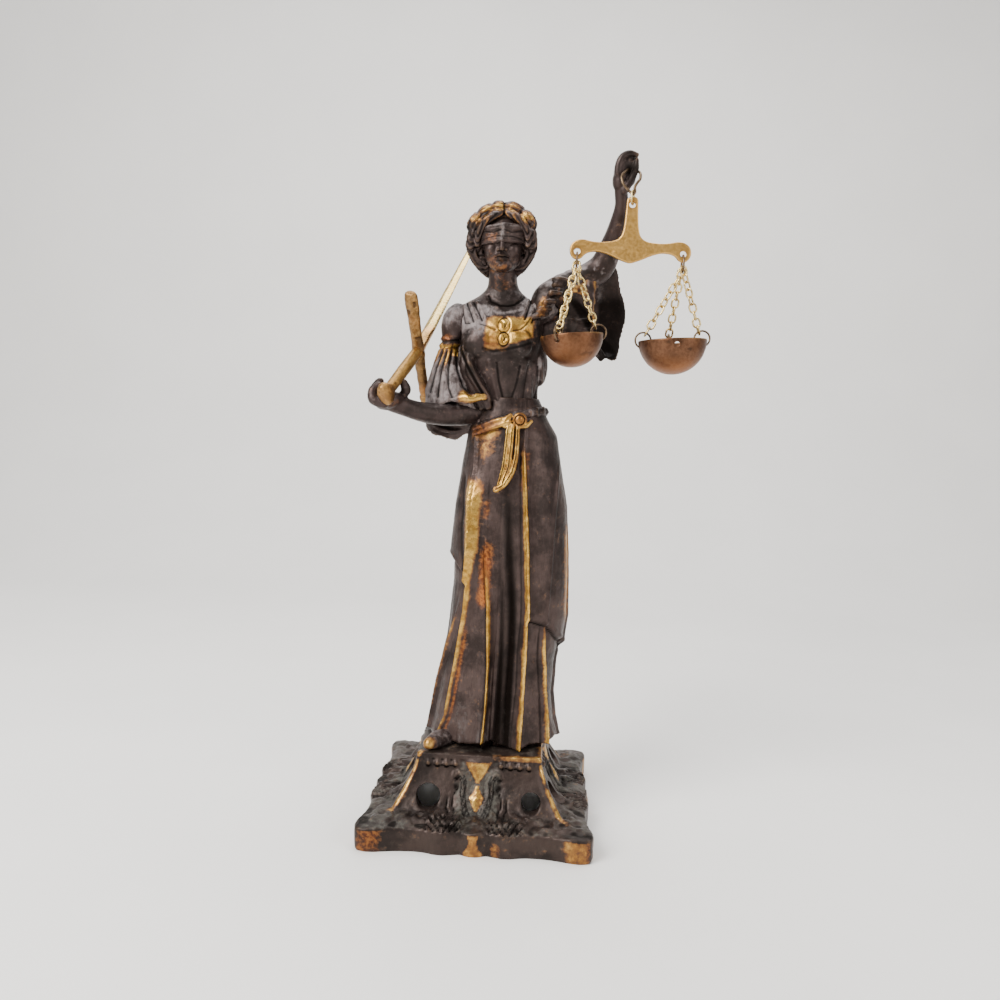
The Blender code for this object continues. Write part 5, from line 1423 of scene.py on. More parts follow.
def torso_relief(p, normals):
    x, _, z = p.T
    front = soft(-normals[:, 1], 0.05, 0.35)
    lift = 0.0 * x
    shade = 0.0 * x
    for line, height, width in BODICE_FOLDS:
        away, along = line_distance(x, z, line)
        lift += front * height * bump(away, width) * soft(along, 0.0, 0.08) * soft(
            1.0 - along, 0.0, 0.15)
    for line, depth, width in BODICE_GROOVES:
        away, along = line_distance(x, z, line)
        ends = front * soft(along, 0.0, 0.04) * soft(1.0 - along, 0.0, 0.06)
        lift -= depth * bump(away, width) * ends
        shade = np.maximum(shade, min(1.0, 1.25 * depth) * bump(away, width * 0.75) * ends)
    box = patch(x, z, (-4.6, 15.6, 213.6, 225.6), 1.6)
    box *= soft(z - 0.38 * np.maximum(x - 6.0, 0.0), 212.6, 214.8)
    loops = 0.0 * x
    for across, height, wide, tall in BUCKLES:
        away = (np.hypot((x - across) / wide, (z - height) / tall) - 1.0) * wide
        loops = np.maximum(loops, 1.0 - soft(away, -0.3, 0.3))
        rim = bump(away - 0.1, 0.34)
        lift += front * (0.10 * loops - 0.75 * rim)
        shade = np.maximum(shade * (1.0 - loops), 0.95 * front * rim)
    for line in BUCKLE_STROKES:
        away, _ = line_distance(x, z, line)
        lift -= front * 0.5 * bump(away, 0.35)
        shade = np.maximum(shade, 0.8 * front * bump(away, 0.3))
    back = soft(normals[:, 1], 0.05, 0.4)
    for across in (-9.0, -5.0, -1.0, 3.0, 7.0, 11.0, 15.0):
        drift = across * (0.55 + 0.45 * np.clip((z - 184.0) / 44.0, 0.0, 1.0)) + 2.4
        lift += back * 0.55 * np.cos(0.25 * across + 0.05 * z) ** 2 * bump(x - drift, 1.5)
    shoulder_ribs = soft(x, 17.0, 19.0) * soft(z, 222.0, 226.0)
    lift += shoulder_ribs * 0.5 * np.sin((z - 0.6 * x) * 1.5)
    lift += 0.20 * rough(p, 7.0, 21, stretch=(1.0, 1.0, 2.4)) + 0.09 * rough(p, 1.8, 24, 2)
    side = front * soft(x, 13.0, 18.0) * soft(-z, -210.0, -204.0)
    lift += side * 0.35 * np.sin(2.3 * x + 0.18 * z)
    brass = front * strongest(box * (0.78 + 0.42 * soft(rough(p, 4.0, 27), -0.4, 0.6)),
                              patches(x, z, BODICE_RUBBED))
    copper = front * patches(x, z, BODICE_COPPER)
    brass = np.where(loops > 0.5, np.maximum(brass, 0.95 * front), brass)
    pleats = soft(rough(p, 2.2, 33, 2, stretch=(1.0, 1.0, 8.0)), 0.1, 0.8)
    patchy_noise = soft(rough(p, 3.2, 37, 2, stretch=(1.0, 1.0, 3.0)), -0.3, 0.5)
    # Dust and painted sheen: pale grey on the straps, the neckline, the shoulder, the side pleats,
    # a patch at the right front, the upward faces and the back
    dust_and_sheen = strongest(
        1.15 * soft(z, 213.0, 224.0) * soft(-x, -1.0, 6.0) * soft(-z, -233.0, -229.0),
        0.75 * bump(z - 0.25 * np.abs(x - 2.0) - 227.4, 1.0) * front,
        0.8 * soft(z, 220.0, 230.0) * soft(x, 7.0, 12.0),
        1.05 * pleats * soft(x, 10.0, 16.0) * soft(-z, -214.0, -206.0),
        0.60 * front * patch(x, z, (8.0, 15.0, 196.0, 211.0), 4.0) * patchy_noise,
        0.40 * soft(normals[:, 2], 0.1, 0.9), 0.35 * back * soft(z, 196.0, 230.0),
    )
    return lift, wear_and_light_masks(brass, copper, dust_and_sheen, shade)


def sash_relief(p, normals):
    x, _, z = p.T
    lift = 0.0 * x
    ring = np.hypot(x - 11.6, z - 181.4)
    knot = bump(np.maximum(ring - 3.2, 0.0), 0.6) * soft(-normals[:, 1], 0.2, 0.5)
    marks = bump(ring - 2.3, 0.35) + 0.7 * bump(np.hypot(x - 11.9, z - 182.3), 0.45)
    marks = knot * (marks + 0.6 * bump(np.hypot(x - 12.4, z - 180.8), 0.4))
    lift -= 0.5 * marks
    shade = 0.8 * np.clip(marks, 0.0, 1.0)
    ends = soft(-z, -178.5, -176.5)
    for path in SASH_ENDS:
        away, _ = line_distance(x, z, [(point[0], point[2]) for point in path])
        lift -= ends * 0.30 * bump(away, 0.30)
        shade = np.maximum(shade, 0.9 * ends * bump(away, 0.32))
    toe = np.hypot(x - 2.4, z - 151.2)
    lift -= 0.6 * bump(toe, 0.9) * soft(-normals[:, 1], 0.2, 0.6)
    lift += 0.10 * rough(p, 1.8, 31, 2)
    left = soft(-x, -2.5, 5.0) * soft(z, 169.0, 172.0)
    copper = strongest(
        0.85 * bump(np.maximum(ring - 2.4, 0.0), 1.2), 0.6 * left,
        patches(x, z, ((0.55, (-8.0, 2.0, 174.0, 182.0), 2.0),
                       (0.35, (5.4, 8.6, 156.0, 172.0), 1.5))),
    )
    brass = (0.80 - 0.25 * copper + 0.25 * rough(p, 3.0, 49)) * (1.0 - 0.75 * left)
    return lift, {"brass": brass, "copper": copper, "shade": shade}


# Right arm

SLEEVE_FOLDS = (
    ((-24.4, 213.4), (-27.6, 204.0), (-30.4, 193.0)),
    ((-22.6, 212.6), (-25.4, 203.0), (-27.2, 190.6)),
    ((-20.8, 212.4), (-22.6, 202.0), (-23.2, 188.5)),
    ((-18.8, 212.4), (-18.8, 203.0), (-15.6, 194.0), (-10.4, 189.4)),
    ((-17.2, 212.4), (-15.4, 203.0), (-11.2, 195.0), (-4.2, 190.8)),
)
SLEEVE_GROOVES = (
    ((-23.5, 211.0), (-26.4, 203.0), (-28.8, 191.0)),
    ((-21.7, 211.0), (-23.9, 203.0), (-25.2, 189.0)),
    ((-19.7, 210.6), (-20.7, 202.0), (-19.8, 194.0), (-17.8, 189.6)),
    ((-17.9, 210.6), (-17.0, 202.6), (-13.6, 194.8), (-8.4, 190.6)),
)


def right_arm_shape():
    shape = Shape()
    add_mass(shape, (-19.2, 0.2, 222.6), (6.6, 7.4, 9.8), (0, 10, 0), 32)
    add_curve(shape, ((-21, -1, 216, 4.6), (-20, 0, 200, 4.8), (-17, 0, 186, 5.2)), 6, 16)
    bell(shape, (
        ((-21.2, -1.6, 215.4), (4.2, 0, 0), (0, -4.6, 0.4)),
        ((-21.4, -1.8, 212.0), (4.3, 0, 0), (0, -4.6, 0.4)),
        ((-21.6, -2.0, 208.0), (5.4, 0, 0.2), (0, -5.6, 0.8)),
        ((-21.6, -2.4, 200.0), (7.6, 0, 0.4), (0, -7.6, 2.0)),
        ((-21.0, -2.4, 191.5), (10.2, 0, 0.4), (0, -10.8, 5.2)),
        ((-20.0, -1.6, 182.4), (12.2, 0, 0.8), (0.8, -13.0, 8.0)),
        ((-19.4, -1.4, 180.0), (12.4, 0, 0.8), (1.0, -13.6, 8.8)),
    ), 1.9)
    corner = ((-16, -14.0, 189.6, 1.8), (-9, -14.6, 190.0, 1.9), (-3.6, -13.4, 190.8, 1.1))
    add_curve(shape, corner, 4, 12)
    lip = ((-31.4, -1.0, 180.6, 1.0), (-27.0, 7.0, 176.6, 1.1), (-20.0, 9.6, 175.0, 1.1),
           (-13.0, 8.0, 176.8, 1.1), (-8.6, 1.0, 181.0, 1.0))
    add_curve(shape, lip, 5, 10)
    return shape


def forearm_shape():
    shape = Shape()
    forearm = ((-8, -3, 184.5, 5.2), (-16, -7, 183.2, 5.4), (-25, -11.5, 182.6, 4.9),
               (-33, -16.5, 183.6, 4.2), (-38.5, -20, 185.4, 4.0), (-43, -22.5, 187.2, 4.4))
    add_curve(shape, forearm, 6, 24)
    add_mass(shape, (-44.6, -22.5, 187.6), (6.6, 7.0, 4.2), (0, -8, 0), 28)
    for finger in range(4):
        ahead = finger * 4.0
        path = ((-45.5, -28.5 + ahead, 186.0 + 0.8 * finger, 2.05),
                (-50.0, -28.4 + ahead, 187.6 + 1.0 * finger, 2.15),
                (-50.6, -27.4 + ahead, 191.4 + 1.2 * finger, 2.05),
                (-48.6, -26.4 + ahead, 193.8 + 1.7 * finger, 1.8))
        add_curve(shape, path[: 4 if finger < 2 else 3], 5, 14)
        knuckle = path[1]
        add_mass(shape, knuckle[:3], (2.25, 2.0, 2.2), sides=12)
    thumb = ((-40.0, -18.5, 188.0, 2.5), (-38.6, -19.9, 190.6, 2.0), (-37.6, -20.9, 192.6, 2.2),
             (-38.4, -22.5, 195.4, 1.7))
    add_curve(shape, thumb, 5, 14)
    return shape


def right_arm_relief(p, normals):
    x, y, z = p.T
    front = soft(-normals[:, 1] - 0.3 * normals[:, 0], -0.05, 0.3)
    lift = 0.0 * x
    shade = 0.0 * x
    for line in SLEEVE_FOLDS:
        away, along = line_distance(x, z, line)
        width = 0.9 + 0.8 * along
        lift += front * 0.6 * bump(away, width) * soft(along, 0.0, 0.06)
    for line in SLEEVE_GROOVES:
        away, along = line_distance(x, z, line)
        ends = front * soft(along, 0.0, 0.06) * soft(1.0 - along, 0.0, 0.05)
        lift -= (0.75 + 0.3 * along) * bump(away, 0.55 + 0.5 * along) * ends
        shade = np.maximum(shade, 0.8 * ends * bump(away, 0.45 + 0.2 * along))
    band = z - np.interp(x, (-25.6, -20.6, -15.6), (213.2, 213.6, 214.0))
    around = 1.0 - soft(np.abs(z - 213.5), 5.0, 7.0)
    lift += around * (0.55 * bump(band, 0.8) - 0.55 * bump(band - 1.7, 0.5)
                      + 0.35 * bump(band - 3.2, 0.9) - 0.45 * bump(band + 1.5, 0.5))
    shade = np.maximum(shade, 0.7 * around * bump(band - 1.7, 0.45))
    back = 1.0 - front
    sweep = np.arctan2(x + 21.0, y + 2.0)
    lift += back * soft(-z, -211.0, -204.0) * 0.6 * np.sin(8 * sweep)
    cap = soft(z, 216.0, 219.0)
    lift += cap * 0.3 * rough(p, 6.0, 40)
    lift += 0.16 * rough(p, 4.6, 41, stretch=(1.0, 1.0, 3.0)) + 0.08 * rough(p, 1.6, 44, 2)
    streak = 0.0 * x
    for line in SLEEVE_FOLDS[:3]:
        away, along = line_distance(x, z, line)
        streak = np.maximum(streak, bump(away, 0.6) * soft(-along, -0.55, -0.3))
    brass = front * strongest(
        patches(x, z, ((1.0, (-19.6, -15.8, 208.4, 213.8), 0.8),
                       (0.65, (-26.0, -19.6, 211.6, 213.4), 0.7),
                       (0.95, (-15.4, -3.6, 188.4, 191.4 - 0.12 * x), 1.6))),
        0.85 * streak,
    )
    copper = front * np.maximum(0.65 * patch(x, z, (-26.4, -20.4, 214.6, 218.6), 1.8),
                                0.5 * streak)
    # Dust and painted sheen: the sleeve's front between its folds and the shoulder's top are
    # paler, broken up by noise
    dust_and_sheen = 1.25 * soft(-z, -213.0, -202.0) * soft(z, 182.0, 188.0) * front
    dust_and_sheen = np.maximum(dust_and_sheen, 1.0 * soft(z, 217.0, 226.0) * soft(-x, 12.5, 17.5))
    dust_and_sheen *= 0.55 + 0.45 * soft(rough(p, 3.0, 39, 2), -0.5, 0.5)
    inner = soft(normals[:, 1], -0.2, 0.5) * soft(-z, -190.0, -184.0)
    shade = np.maximum(shade, 0.5 * inner)
    return lift, wear_and_light_masks(brass, copper, dust_and_sheen, shade * (1.0 - 0.7 * brass))


def forearm_relief(p, normals):
    x = p[:, 0]
    lift = 0.12 * rough(p, 4.0, 47) + 0.06 * rough(p, 1.4, 48, 2)
    # Painted highlight: the upward faces of the forearm near the elbow are paler
    dust_and_sheen = 0.55 * soft(normals[:, 2], 0.2, 0.8) * soft(x, -32.0, -22.0)
    copper = 0.30 * soft(-x, 34.0, 40.0) * soft(rough(p, 5.0, 49), -0.2, 0.5)
    return lift, {"copper": copper, "dust_and_sheen": dust_and_sheen}


# Left arm

def left_arm_shape():
    shape = Shape()
    add_mass(shape, (20.4, 2.0, 234.6), (6.4, 8.2, 9.6), (0, 22, 0), 32)
    for rib in range(6):
        lean = math.radians(-70 + 28 * rib)
        start = (18.0 + 3.4 * math.cos(lean) + 5.0 * math.sin(lean),
                 -5.6 - 1.6 * math.cos(lean), 234.6 + 9.0 * math.sin(lean), 1.1)
        middle = (22.0 + 4.6 * math.sin(lean), -7.0 - 0.6 * math.cos(lean),
                  235.2 + 8.4 * math.sin(lean), 1.3)
        end = (25.8 + 4.4 * math.sin(lean), -5.4, 235.4 + 7.6 * math.sin(lean), 1.0)
        add_curve(shape, (start, middle, end), 4, 10)
    add_mass(shape, (27.0, 4.0, 222.5), (13.0, 6.5, 8.0), (0, -8, 0), 28)
    add_mass(shape, (36.0, 4.6, 222.0), (8.0, 6.0, 5.0), (0, -6, 0), 24)
    bell(shape, (
        ((24.0, 3.4, 235.6), (-4.0, 0, 8.2), (0, -8.0, 0)),
        ((30.0, 5.0, 236.6), (-4.6, 0, 10.6), (0, -8.8, 0)),
        ((36.5, 6.8, 236.4), (-3.0, 0, 14.4), (1.0, -9.6, 0)),
        ((42.5, 8.4, 234.0), (-0.6, 0, 19.4), (-2.4, -10.2, 0)),
        ((46.8, 9.2, 232.0), (-0.2, 0, 21.4), (-5.4, -10.0, 0)),
        ((49.6, 9.6, 231.2), (-0.8, 0, 21.8), (-7.6, -9.4, 0)),
    ), 1.9)
    tail = ((44.0, 8.0, 214.5, 2.4), (46.4, 8.0, 211.6, 2.2), (46.6, 8.0, 210.2, 1.6))
    add_curve(shape, tail, 4, 10)
    for drop, reach in ((0.0, 9.5), (4.6, 8.6), (9.0, 7.4)):
        fold = ((40.0 - reach, 1.6, 227.5 - drop, 1.0), (38.0, -0.6, 226.4 - drop, 1.5),
                (42.6, 0.4, 228.0 - drop, 1.0))
        add_curve(shape, fold, 5, 10)
    return shape


def hand_shape():
    shape = Shape()
    arm = ((34, 5.4, 243.0, 6.4), (44.4, 6.5, 250.6, 6.0), (48.6, 2.0, 260.0, 4.8),
           (50.8, -4.5, 268.5, 3.7), (51.5, -8.5, 275.0, 2.9), (50.8, -10.8, 281.0, 2.8))
    add_curve(shape, arm, 6, 24)
    add_mass(shape, (50.0, -11.6, 285.0), (3.1, 3.8, 5.2), (0, 6, 0), 24)
    add_mass(shape, (51.3, -11.8, 288.6), (3.9, 4.0, 5.8), (0, 12, 0), 24)
    add_mass(shape, (54.0, -12.4, 290.4), (2.5, 3.0, 4.2), (0, 4, 0), 20)
    add_mass(shape, (54.6, -11.8, 285.6), (2.2, 2.8, 3.6), (0, 0, 0), 20)
    for finger, spread in enumerate((-2.7, -0.9, 0.9, 2.7)):
        curl = 0.5 * abs(finger - 1.2)
        path = ((49.0, -11.8 + spread, 286.6, 1.6), (49.1, -12.0 + spread, 290.6 - curl, 1.55),
                (50.6, -12.2 + spread, 294.0 - curl, 1.5),
                (53.6, -12.3 + spread, 295.5 - curl, 1.3),
                (56.5, -12.6 + spread, 294.8 - curl, 0.95))
        add_curve(shape, path, 5, 12)
    thumb = ((52.0, -12.6, 280.0, 1.9), (54.6, -14.6, 284.0, 1.6), (56.1, -15.4, 288.0, 1.5),
             (56.6, -15.4, 292.0, 0.9))
    add_curve(shape, thumb, 5, 12)
    return shape


def left_arm_relief(p, normals):
    x, _, z = p.T
    front = soft(-normals[:, 1], -0.1, 0.3)
    lift = 0.0 * x
    fan = np.arctan2(z - 250.0, x - 20.0)
    cloth = soft(x, 26.0, 31.0)
    lift += cloth * 0.55 * np.sin(13 * fan + 0.12 * x) * (0.35 + 0.65 * (1.0 - front))
    lift += front * cloth * 0.40 * np.sin(9 * fan)
    lift += 0.22 * rough(p, 5.0, 51) + 0.09 * rough(p, 1.7, 54, 2)
    worn = soft(rough(p, 4.0, 56), -0.35, 0.2)
    brass = front * strongest(
        0.75 * worn * patch(x, z, (31.0, 38.0, 236.0, 250.0), 3.0),
        0.6 * bump(x - 42.2, 0.8) * patch(x, z, (40.0, 44.0, 218.0, 248.0), 3.0),
        0.45 * patch(x, z, (17.5, 21.0, 226.0, 236.0), 1.5),
    )
    copper = 0.45 * front * patch(x, z, (22.0, 34.0, 214.0, 240.0), 4.0) * soft(
        rough(p, 7.0, 57), -0.1, 0.4)
    arm = 1.2 * front * patch(x, z, (34.0, 46.0, 236.0, 258.0), 3.0)
    patchy_noise = soft(rough(p, 2.2, 59, 2, stretch=(1.0, 1.0, 4.0)), -0.35, 0.5)
    lift += 0.10 * arm * patchy_noise
    # Dust and painted sheen: pale on the upward faces and in streaks on the upper arm's front
    dust_and_sheen = np.maximum(0.8 * soft(normals[:, 2], 0.3, 0.8), 0.85 * arm * patchy_noise)
    inside = soft(x, 43.0, 46.0) * soft(-z, -246.0, -236.0) * front
    shade = np.maximum(0.6 * inside, 0.75 * front * cloth * soft(-np.sin(9 * fan), 0.45, 0.95)
                       * soft(-z, -240.0, -232.0))
    return lift, wear_and_light_masks(brass, copper, dust_and_sheen, shade * (1.0 - brass))


def hand_relief(p, normals):
    x, _, z = p.T
    lift = 0.06 * rough(p, 3.0, 58)
    patchy_noise = soft(rough(p, 2.0, 68, 2), 0.0, 0.6)
    # Dust and painted sheen: pale on the upward faces and in streaks low on the arm
    dust_and_sheen = 0.35 * soft(normals[:, 2], 0.3, 0.8) + 0.85 * patchy_noise * soft(-z, -259.0, -251.0)
    palm = bump(np.hypot(x - 54.0, z - 288.0), 3.4) * soft(-normals[:, 1], 0.2, 0.7)
    return lift, {"dust_and_sheen": dust_and_sheen, "shade": 0.75 * palm}


# Head

HAIR_MIDDLE = (0.2, 3.0, 262.6)
HAIR_REACH = (14.6, 13.4, 13.6)
BAND_MIDDLE = (1.1, -3.4)
# Creases of the blindfold, across and height
BAND_CREASES = (
    ((-8.0, 262.0), (-3.0, 261.2), (0.4, 262.4)), ((9.4, 262.6), (5.2, 261.4), (1.8, 262.4)),
    ((-8.0, 258.4), (-3.0, 259.6), (0.2, 259.4)), ((9.4, 259.0), (5.4, 259.8), (2.0, 259.4)),
)


def face_shape():
    """A plain oval face with calm, even features, on its neck."""
    shape = Shape()
    add_curve(shape, [(1.3, 1.6, 236.0, 6.9), (1.1, 0.6, 241.0, 6.4),
                      (1.0, 0.0, 246.0, 6.2), (0.8, 0.4, 252.0, 6.0)], 6, 32)
    add_mass(shape, (1.0, -3.2, 259.4), (9.3, 9.6, 12.0), sides=36)
    add_mass(shape, (1.1, -5.4, 253.0), (7.9, 7.2, 7.6), sides=32)
    add_mass(shape, (1.2, -8.6, 248.6), (4.9, 4.2, 3.8), sides=24)
    add_mass(shape, (1.2, -10.8, 247.4), (2.6, 2.1, 2.1), sides=20)
    for side in (-1, 1):
        add_mass(shape, (1.1 + side * 4.6, -9.4, 254.4), (3.0, 3.0, 3.4), sides=20)
        add_mass(shape, (1.1 + side * 1.45, -13.3, 253.9), (0.95, 1.1, 0.85), sides=14)
    add_curve(shape, [(1.1, -12.0, 263.0, 0.8), (1.1, -13.2, 259.2, 0.9),
                      (1.1, -14.4, 255.8, 1.05), (1.1, -15.0, 254.2, 1.15)], 5, 16)
    add_mass(shape, (1.1, -11.6, 251.0), (3.3, 1.9, 2.5), sides=24)
    add_curve(shape, [(-1.7, -12.2, 250.9, 0.30), (-0.1, -13.2, 251.5, 0.62),
                      (1.1, -13.5, 251.3, 0.60), (2.3, -13.2, 251.5, 0.62),
                      (3.9, -12.2, 250.9, 0.30)], 5, 12)
    add_curve(shape, [(-1.2, -12.2, 250.3, 0.35), (1.1, -13.3, 249.8, 0.82),
                      (3.4, -12.2, 250.3, 0.35)], 6, 12)
    return shape


def band_shape():
    """The cloth over her eyes: overlapping rolls round the head."""
    shape = Shape()
    for lift, grow, radius in ((-3.3, 0.20, 1.05), (-1.5, 0.05, 1.15), (0.4, -0.10, 1.15),
                               (2.2, 0.0, 1.15), (3.7, 0.25, 1.0)):
        path = []
        for around in circle(96):
            bridge = math.exp(-(math.sin(around) / 0.16) ** 2) * (math.cos(around) > 0)
            reach = 9.6 + grow + 0.75 * bridge * (lift < 1.0)
            hollow = math.exp(-((abs(math.sin(around)) - 0.44) / 0.16) ** 2) * (
                math.cos(around) > 0)
            reach -= 0.35 * hollow * (1.0 - abs(lift) / 4.0)
            path.append((
                BAND_MIDDLE[0] + reach * math.sin(around),
                BAND_MIDDLE[1] - (reach + 0.1) * math.cos(around),
                260.7 + lift * (1.0 - 0.18 * abs(math.sin(around))) + 0.5 * math.sin(around)
                + 0.5 * bridge * (lift < 0.0),
            ))
        tube(shape, path, radius, 10)
    add_mass(shape, (0.8, 9.2, 259.6), (2.6, 2.0, 2.2))
    return shape


def lock_path(side, start, drift, turn_from, turn_to, phase, steps=16):
    """A lock that runs from the parting out and down over the head, gently waved."""
    path = []
    for step in range(steps + 1):
        share = step / steps
        polar = math.radians(turn_from + (turn_to - turn_from) * share)
        depth = start + drift * share
        slim = math.sqrt(max(0.05, 1.0 - ((depth - HAIR_MIDDLE[1]) / 15.2) ** 2))
        wave = math.sin(9.0 * share + phase)
        reach = 1.0 + 0.022 * wave
        radius = 0.9 + 1.5 * math.sin(math.pi * min(1.0, 0.12 + share)) ** 0.7
        path.append((
            HAIR_MIDDLE[0] + side * (HAIR_REACH[0] - radius) * math.sin(polar) * slim * reach,
            depth + 0.7 * wave,
            HAIR_MIDDLE[2] + (HAIR_REACH[2] - radius) * math.cos(polar) * slim * reach,
            radius,
        ))
    return path


def hair_shape():
    shape = Shape()
    add_mass(shape, (0.0, 3.6, 262.6), (13.4, 11.8, 11.9), sides=36)
    add_mass(shape, (0.2, 5.5, 253.5), (9.4, 8.6, 8.2), sides=28)
    for side in (-1, 1):
        add_mass(shape, (0.4 + side * 11.2, -0.8, 259.5), (3.6, 5.8, 7.6), (0, side * 8, 0), 24)
        add_mass(shape, (0.2 + side * 8.6, 2.0, 251.8), (3.8, 6.2, 6.6), (0, side * 30, 0), 24)
        for index in range(8):
            start = -9.2 + 2.7 * index
            drift = 5.0 + 0.4 * index
            path = lock_path(side, start, drift, 6, 118 + 5 * index, 1.1 * index)
            add_limb(shape, path, 12)
        for index in range(6):
            low = (
                (0.4 + side * (12.6 - 0.2 * index), -7.2 + 2.4 * index, 262.5, 1.8),
                (0.4 + side * (13.5 - 0.4 * index), -5.4 + 2.4 * index, 257.0, 2.1),
                (0.3 + side * (11.6 - 0.5 * index), -3.0 + 2.2 * index, 251.8, 2.0),
                (0.2 + side * (8.4 - 0.5 * index), -0.6 + 2.0 * index, 247.8, 1.5),
                (0.2 + side * (6.4 - 0.4 * index), 1.2 + 1.6 * index, 245.2, 0.8),
            )
            add_curve(shape, low, 5, 12)
    for across, height, wide, tall, lean in CURLS:
        add_mass(shape, (across, -5.4, height), (wide, 4.8, tall), (0, lean, 0), 24)
    add_curve(shape, [(1.0, -9.4, 270.4, 1.6), (-3.4, -10.8, 268.6, 1.7),
                      (-7.0, -10.4, 265.8, 1.6), (-9.4, -9.0, 262.0, 1.4),
                      (-10.2, -7.6, 257.0, 1.1)], 6, 12)
    add_curve(shape, [(1.6, -9.4, 270.4, 1.6), (5.8, -10.8, 268.8, 1.7),
                      (9.2, -10.2, 266.2, 1.6), (11.4, -8.8, 262.4, 1.5),
                      (12.0, -7.4, 257.0, 1.2)], 6, 12)
    return shape


# Rubbed tufts over the brow: across, height, half width, half height, lean
CURLS = (
    (-11.2, 266.4, 4.8, 3.4, -62), (-6.8, 270.8, 4.9, 3.2, -38), (-0.9, 272.9, 4.8, 3.2, -6),
    (5.4, 272.4, 5.0, 3.2, 18), (11.2, 268.2, 5.0, 3.4, 50),
)


def face_relief(p, normals):
    x, _, z = p.T
    front = soft(-normals[:, 1], 0.0, 0.3)
    lift = 0.0 * x
    seam, _ = line_distance(x, z, ((-2.0, 250.75), (-0.1, 250.95), (1.1, 250.75), (2.3, 250.95),
                                   (4.2, 250.75)))
    lift -= front * 0.45 * bump(seam, 0.30)
    shade = front * 0.9 * bump(seam, 0.32)
    lips = front * patch(x, z, (-1.4, 3.7, 248.9, 252.1), 0.5)
    shade = np.maximum(shade, 0.45 * lips)
    lift -= front * 0.35 * bump(np.hypot(x - 1.1, z - 248.5), 0.9)
    for side in (-1, 1):
        lift -= 0.35 * bump(np.hypot(x - 1.1 - side * 1.2, z - 253.2), 0.35) * soft(
            -normals[:, 2], 0.1, 0.5)
        lift -= front * 0.3 * bump(np.hypot(x - 1.1 - side * 3.1, z - 251.0), 0.6)
    lift -= front * 0.12 * bump(x - 1.1, 0.45) * bump(z - 252.4, 0.6)
    lift += 0.05 * rough(p, 2.4, 61)
    brass = 0.36 * front * patch(x, z, (-5.6, 3.0, 245.0, 248.2), 1.8)
    copper = front * strongest(0.45 * patch(x, z, (-6.6, 4.4, 244.6, 248.8), 2.0),
                               0.30 * soft(-z, -257.0, -252.0), 0.06 * soft(-z, -246.0, -240.0))
    # Painted sheen on the right-facing side of the lower face, and a painted highlight down the
    # nose bridge
    dust_and_sheen = strongest(
        0.45 * patch(x, z, (4.2, 8.2, 240.0, 252.0), 1.2) * soft(normals[:, 0], -0.1, 0.4),
        0.35 * bump(x - 1.1, 1.0) * patch(x, z, (0.0, 2.2, 254.0, 264.0), 1.0),
    )
    return lift, {"brass": brass, "copper": copper, "dust_and_sheen": dust_and_sheen, "shade": shade}


def band_relief(p, normals):
    x, _, z = p.T
    lift = 0.16 * rough(p, 3.0, 64, stretch=(2.5, 2.5, 0.8)) + 0.05 * rough(p, 1.2, 66, 2)
    front = soft(-normals[:, 1], 0.1, 0.5)
    shade = 0.0 * x
    for line in BAND_CREASES:
        away, _ = line_distance(x, z, line)
        lift -= front * 0.30 * bump(away, 0.5)
        shade = np.maximum(shade, 0.6 * front * bump(away, 0.4))
    copper = 0.40 * front * patch(x, z, (-7.0, 0.0, 256.8, 262.0), 2.0)
    # Painted highlights along the band's upper edge and over the nose bridge
    dust_and_sheen = 0.55 * front * np.maximum(bump(z - 264.2, 0.9), bump(x - 1.1, 1.2))
    return lift, {"copper": copper, "dust_and_sheen": dust_and_sheen, "shade": shade}


def hair_relief(p, normals):
    """Strands along the locks: they run round the head's side axis, waved."""
    x, y, z = p.T
    side = np.where(x > HAIR_MIDDLE[0], 1.0, -1.0)
    out = np.arctan2(side * (x - HAIR_MIDDLE[0]), z - 256.0)
    strand = y - 2.2 * out + 0.9 * np.sin(4.6 * out) + 0.5 * noise(p, 5.0, 70)
    waves = np.sin(strand * 4.4)
    lift = 0.34 * waves + 0.18 * np.sin(strand * 9.7 + 1.0)
    shade = 0.6 * soft(-waves, 0.45, 0.95)
    front = soft(-normals[:, 1], 0.1, 0.5)
    tufts = 0.0 * x
    for across, height, wide, tall, lean in CURLS:
        turn = math.radians(lean)
        dx = (x - across) * math.cos(turn) - (z - height) * math.sin(turn)
        dz = (x - across) * math.sin(turn) + (z - height) * math.cos(turn)
        near = bump(np.hypot(dx / wide, dz / tall), 1.0) * soft(-y, 3.0, 6.0)
        tufts = np.maximum(tufts, near)
        curl = np.sin(dz * 3.4 + 1.2 * np.sin(dx * 0.8))
        lift = lift * (1.0 - 0.7 * near) + near * 0.32 * curl
        shade = np.where(near > 0.4, 0.55 * soft(-curl, 0.5, 0.95), shade)
    parting = bump(x - 1.2, 0.7) * soft(z, 266.0, 270.0)
    lift -= 0.6 * parting
    shade = np.maximum(shade, 0.8 * parting)
    lift += 0.10 * rough(p, 2.2, 72, 2)
    brass = 0.95 * soft(tufts, 0.35, 0.95) * soft(normals[:, 2] - 0.6 * normals[:, 1], 0.1, 0.8)
    brass *= 0.80 + 0.35 * rough(p, 2.4, 79, 2)
    brass = np.maximum(brass, 0.40 * front * soft(z, 262.0, 266.0) * soft(waves, 0.3, 0.9))
    # Dust and painted sheen: pale on the upward faces and at the sides
    dust_and_sheen = 1.05 * soft(normals[:, 2], 0.0, 0.6) * (1.0 - brass) * soft(z, 256.0, 262.0)
    dust_and_sheen = np.maximum(dust_and_sheen, 0.45 * soft(np.abs(x), 11.0, 14.0) * soft(z, 262.0, 268.0))
    return lift, wear_and_light_masks(brass, 0.25 * brass, dust_and_sheen, shade)


# Sword

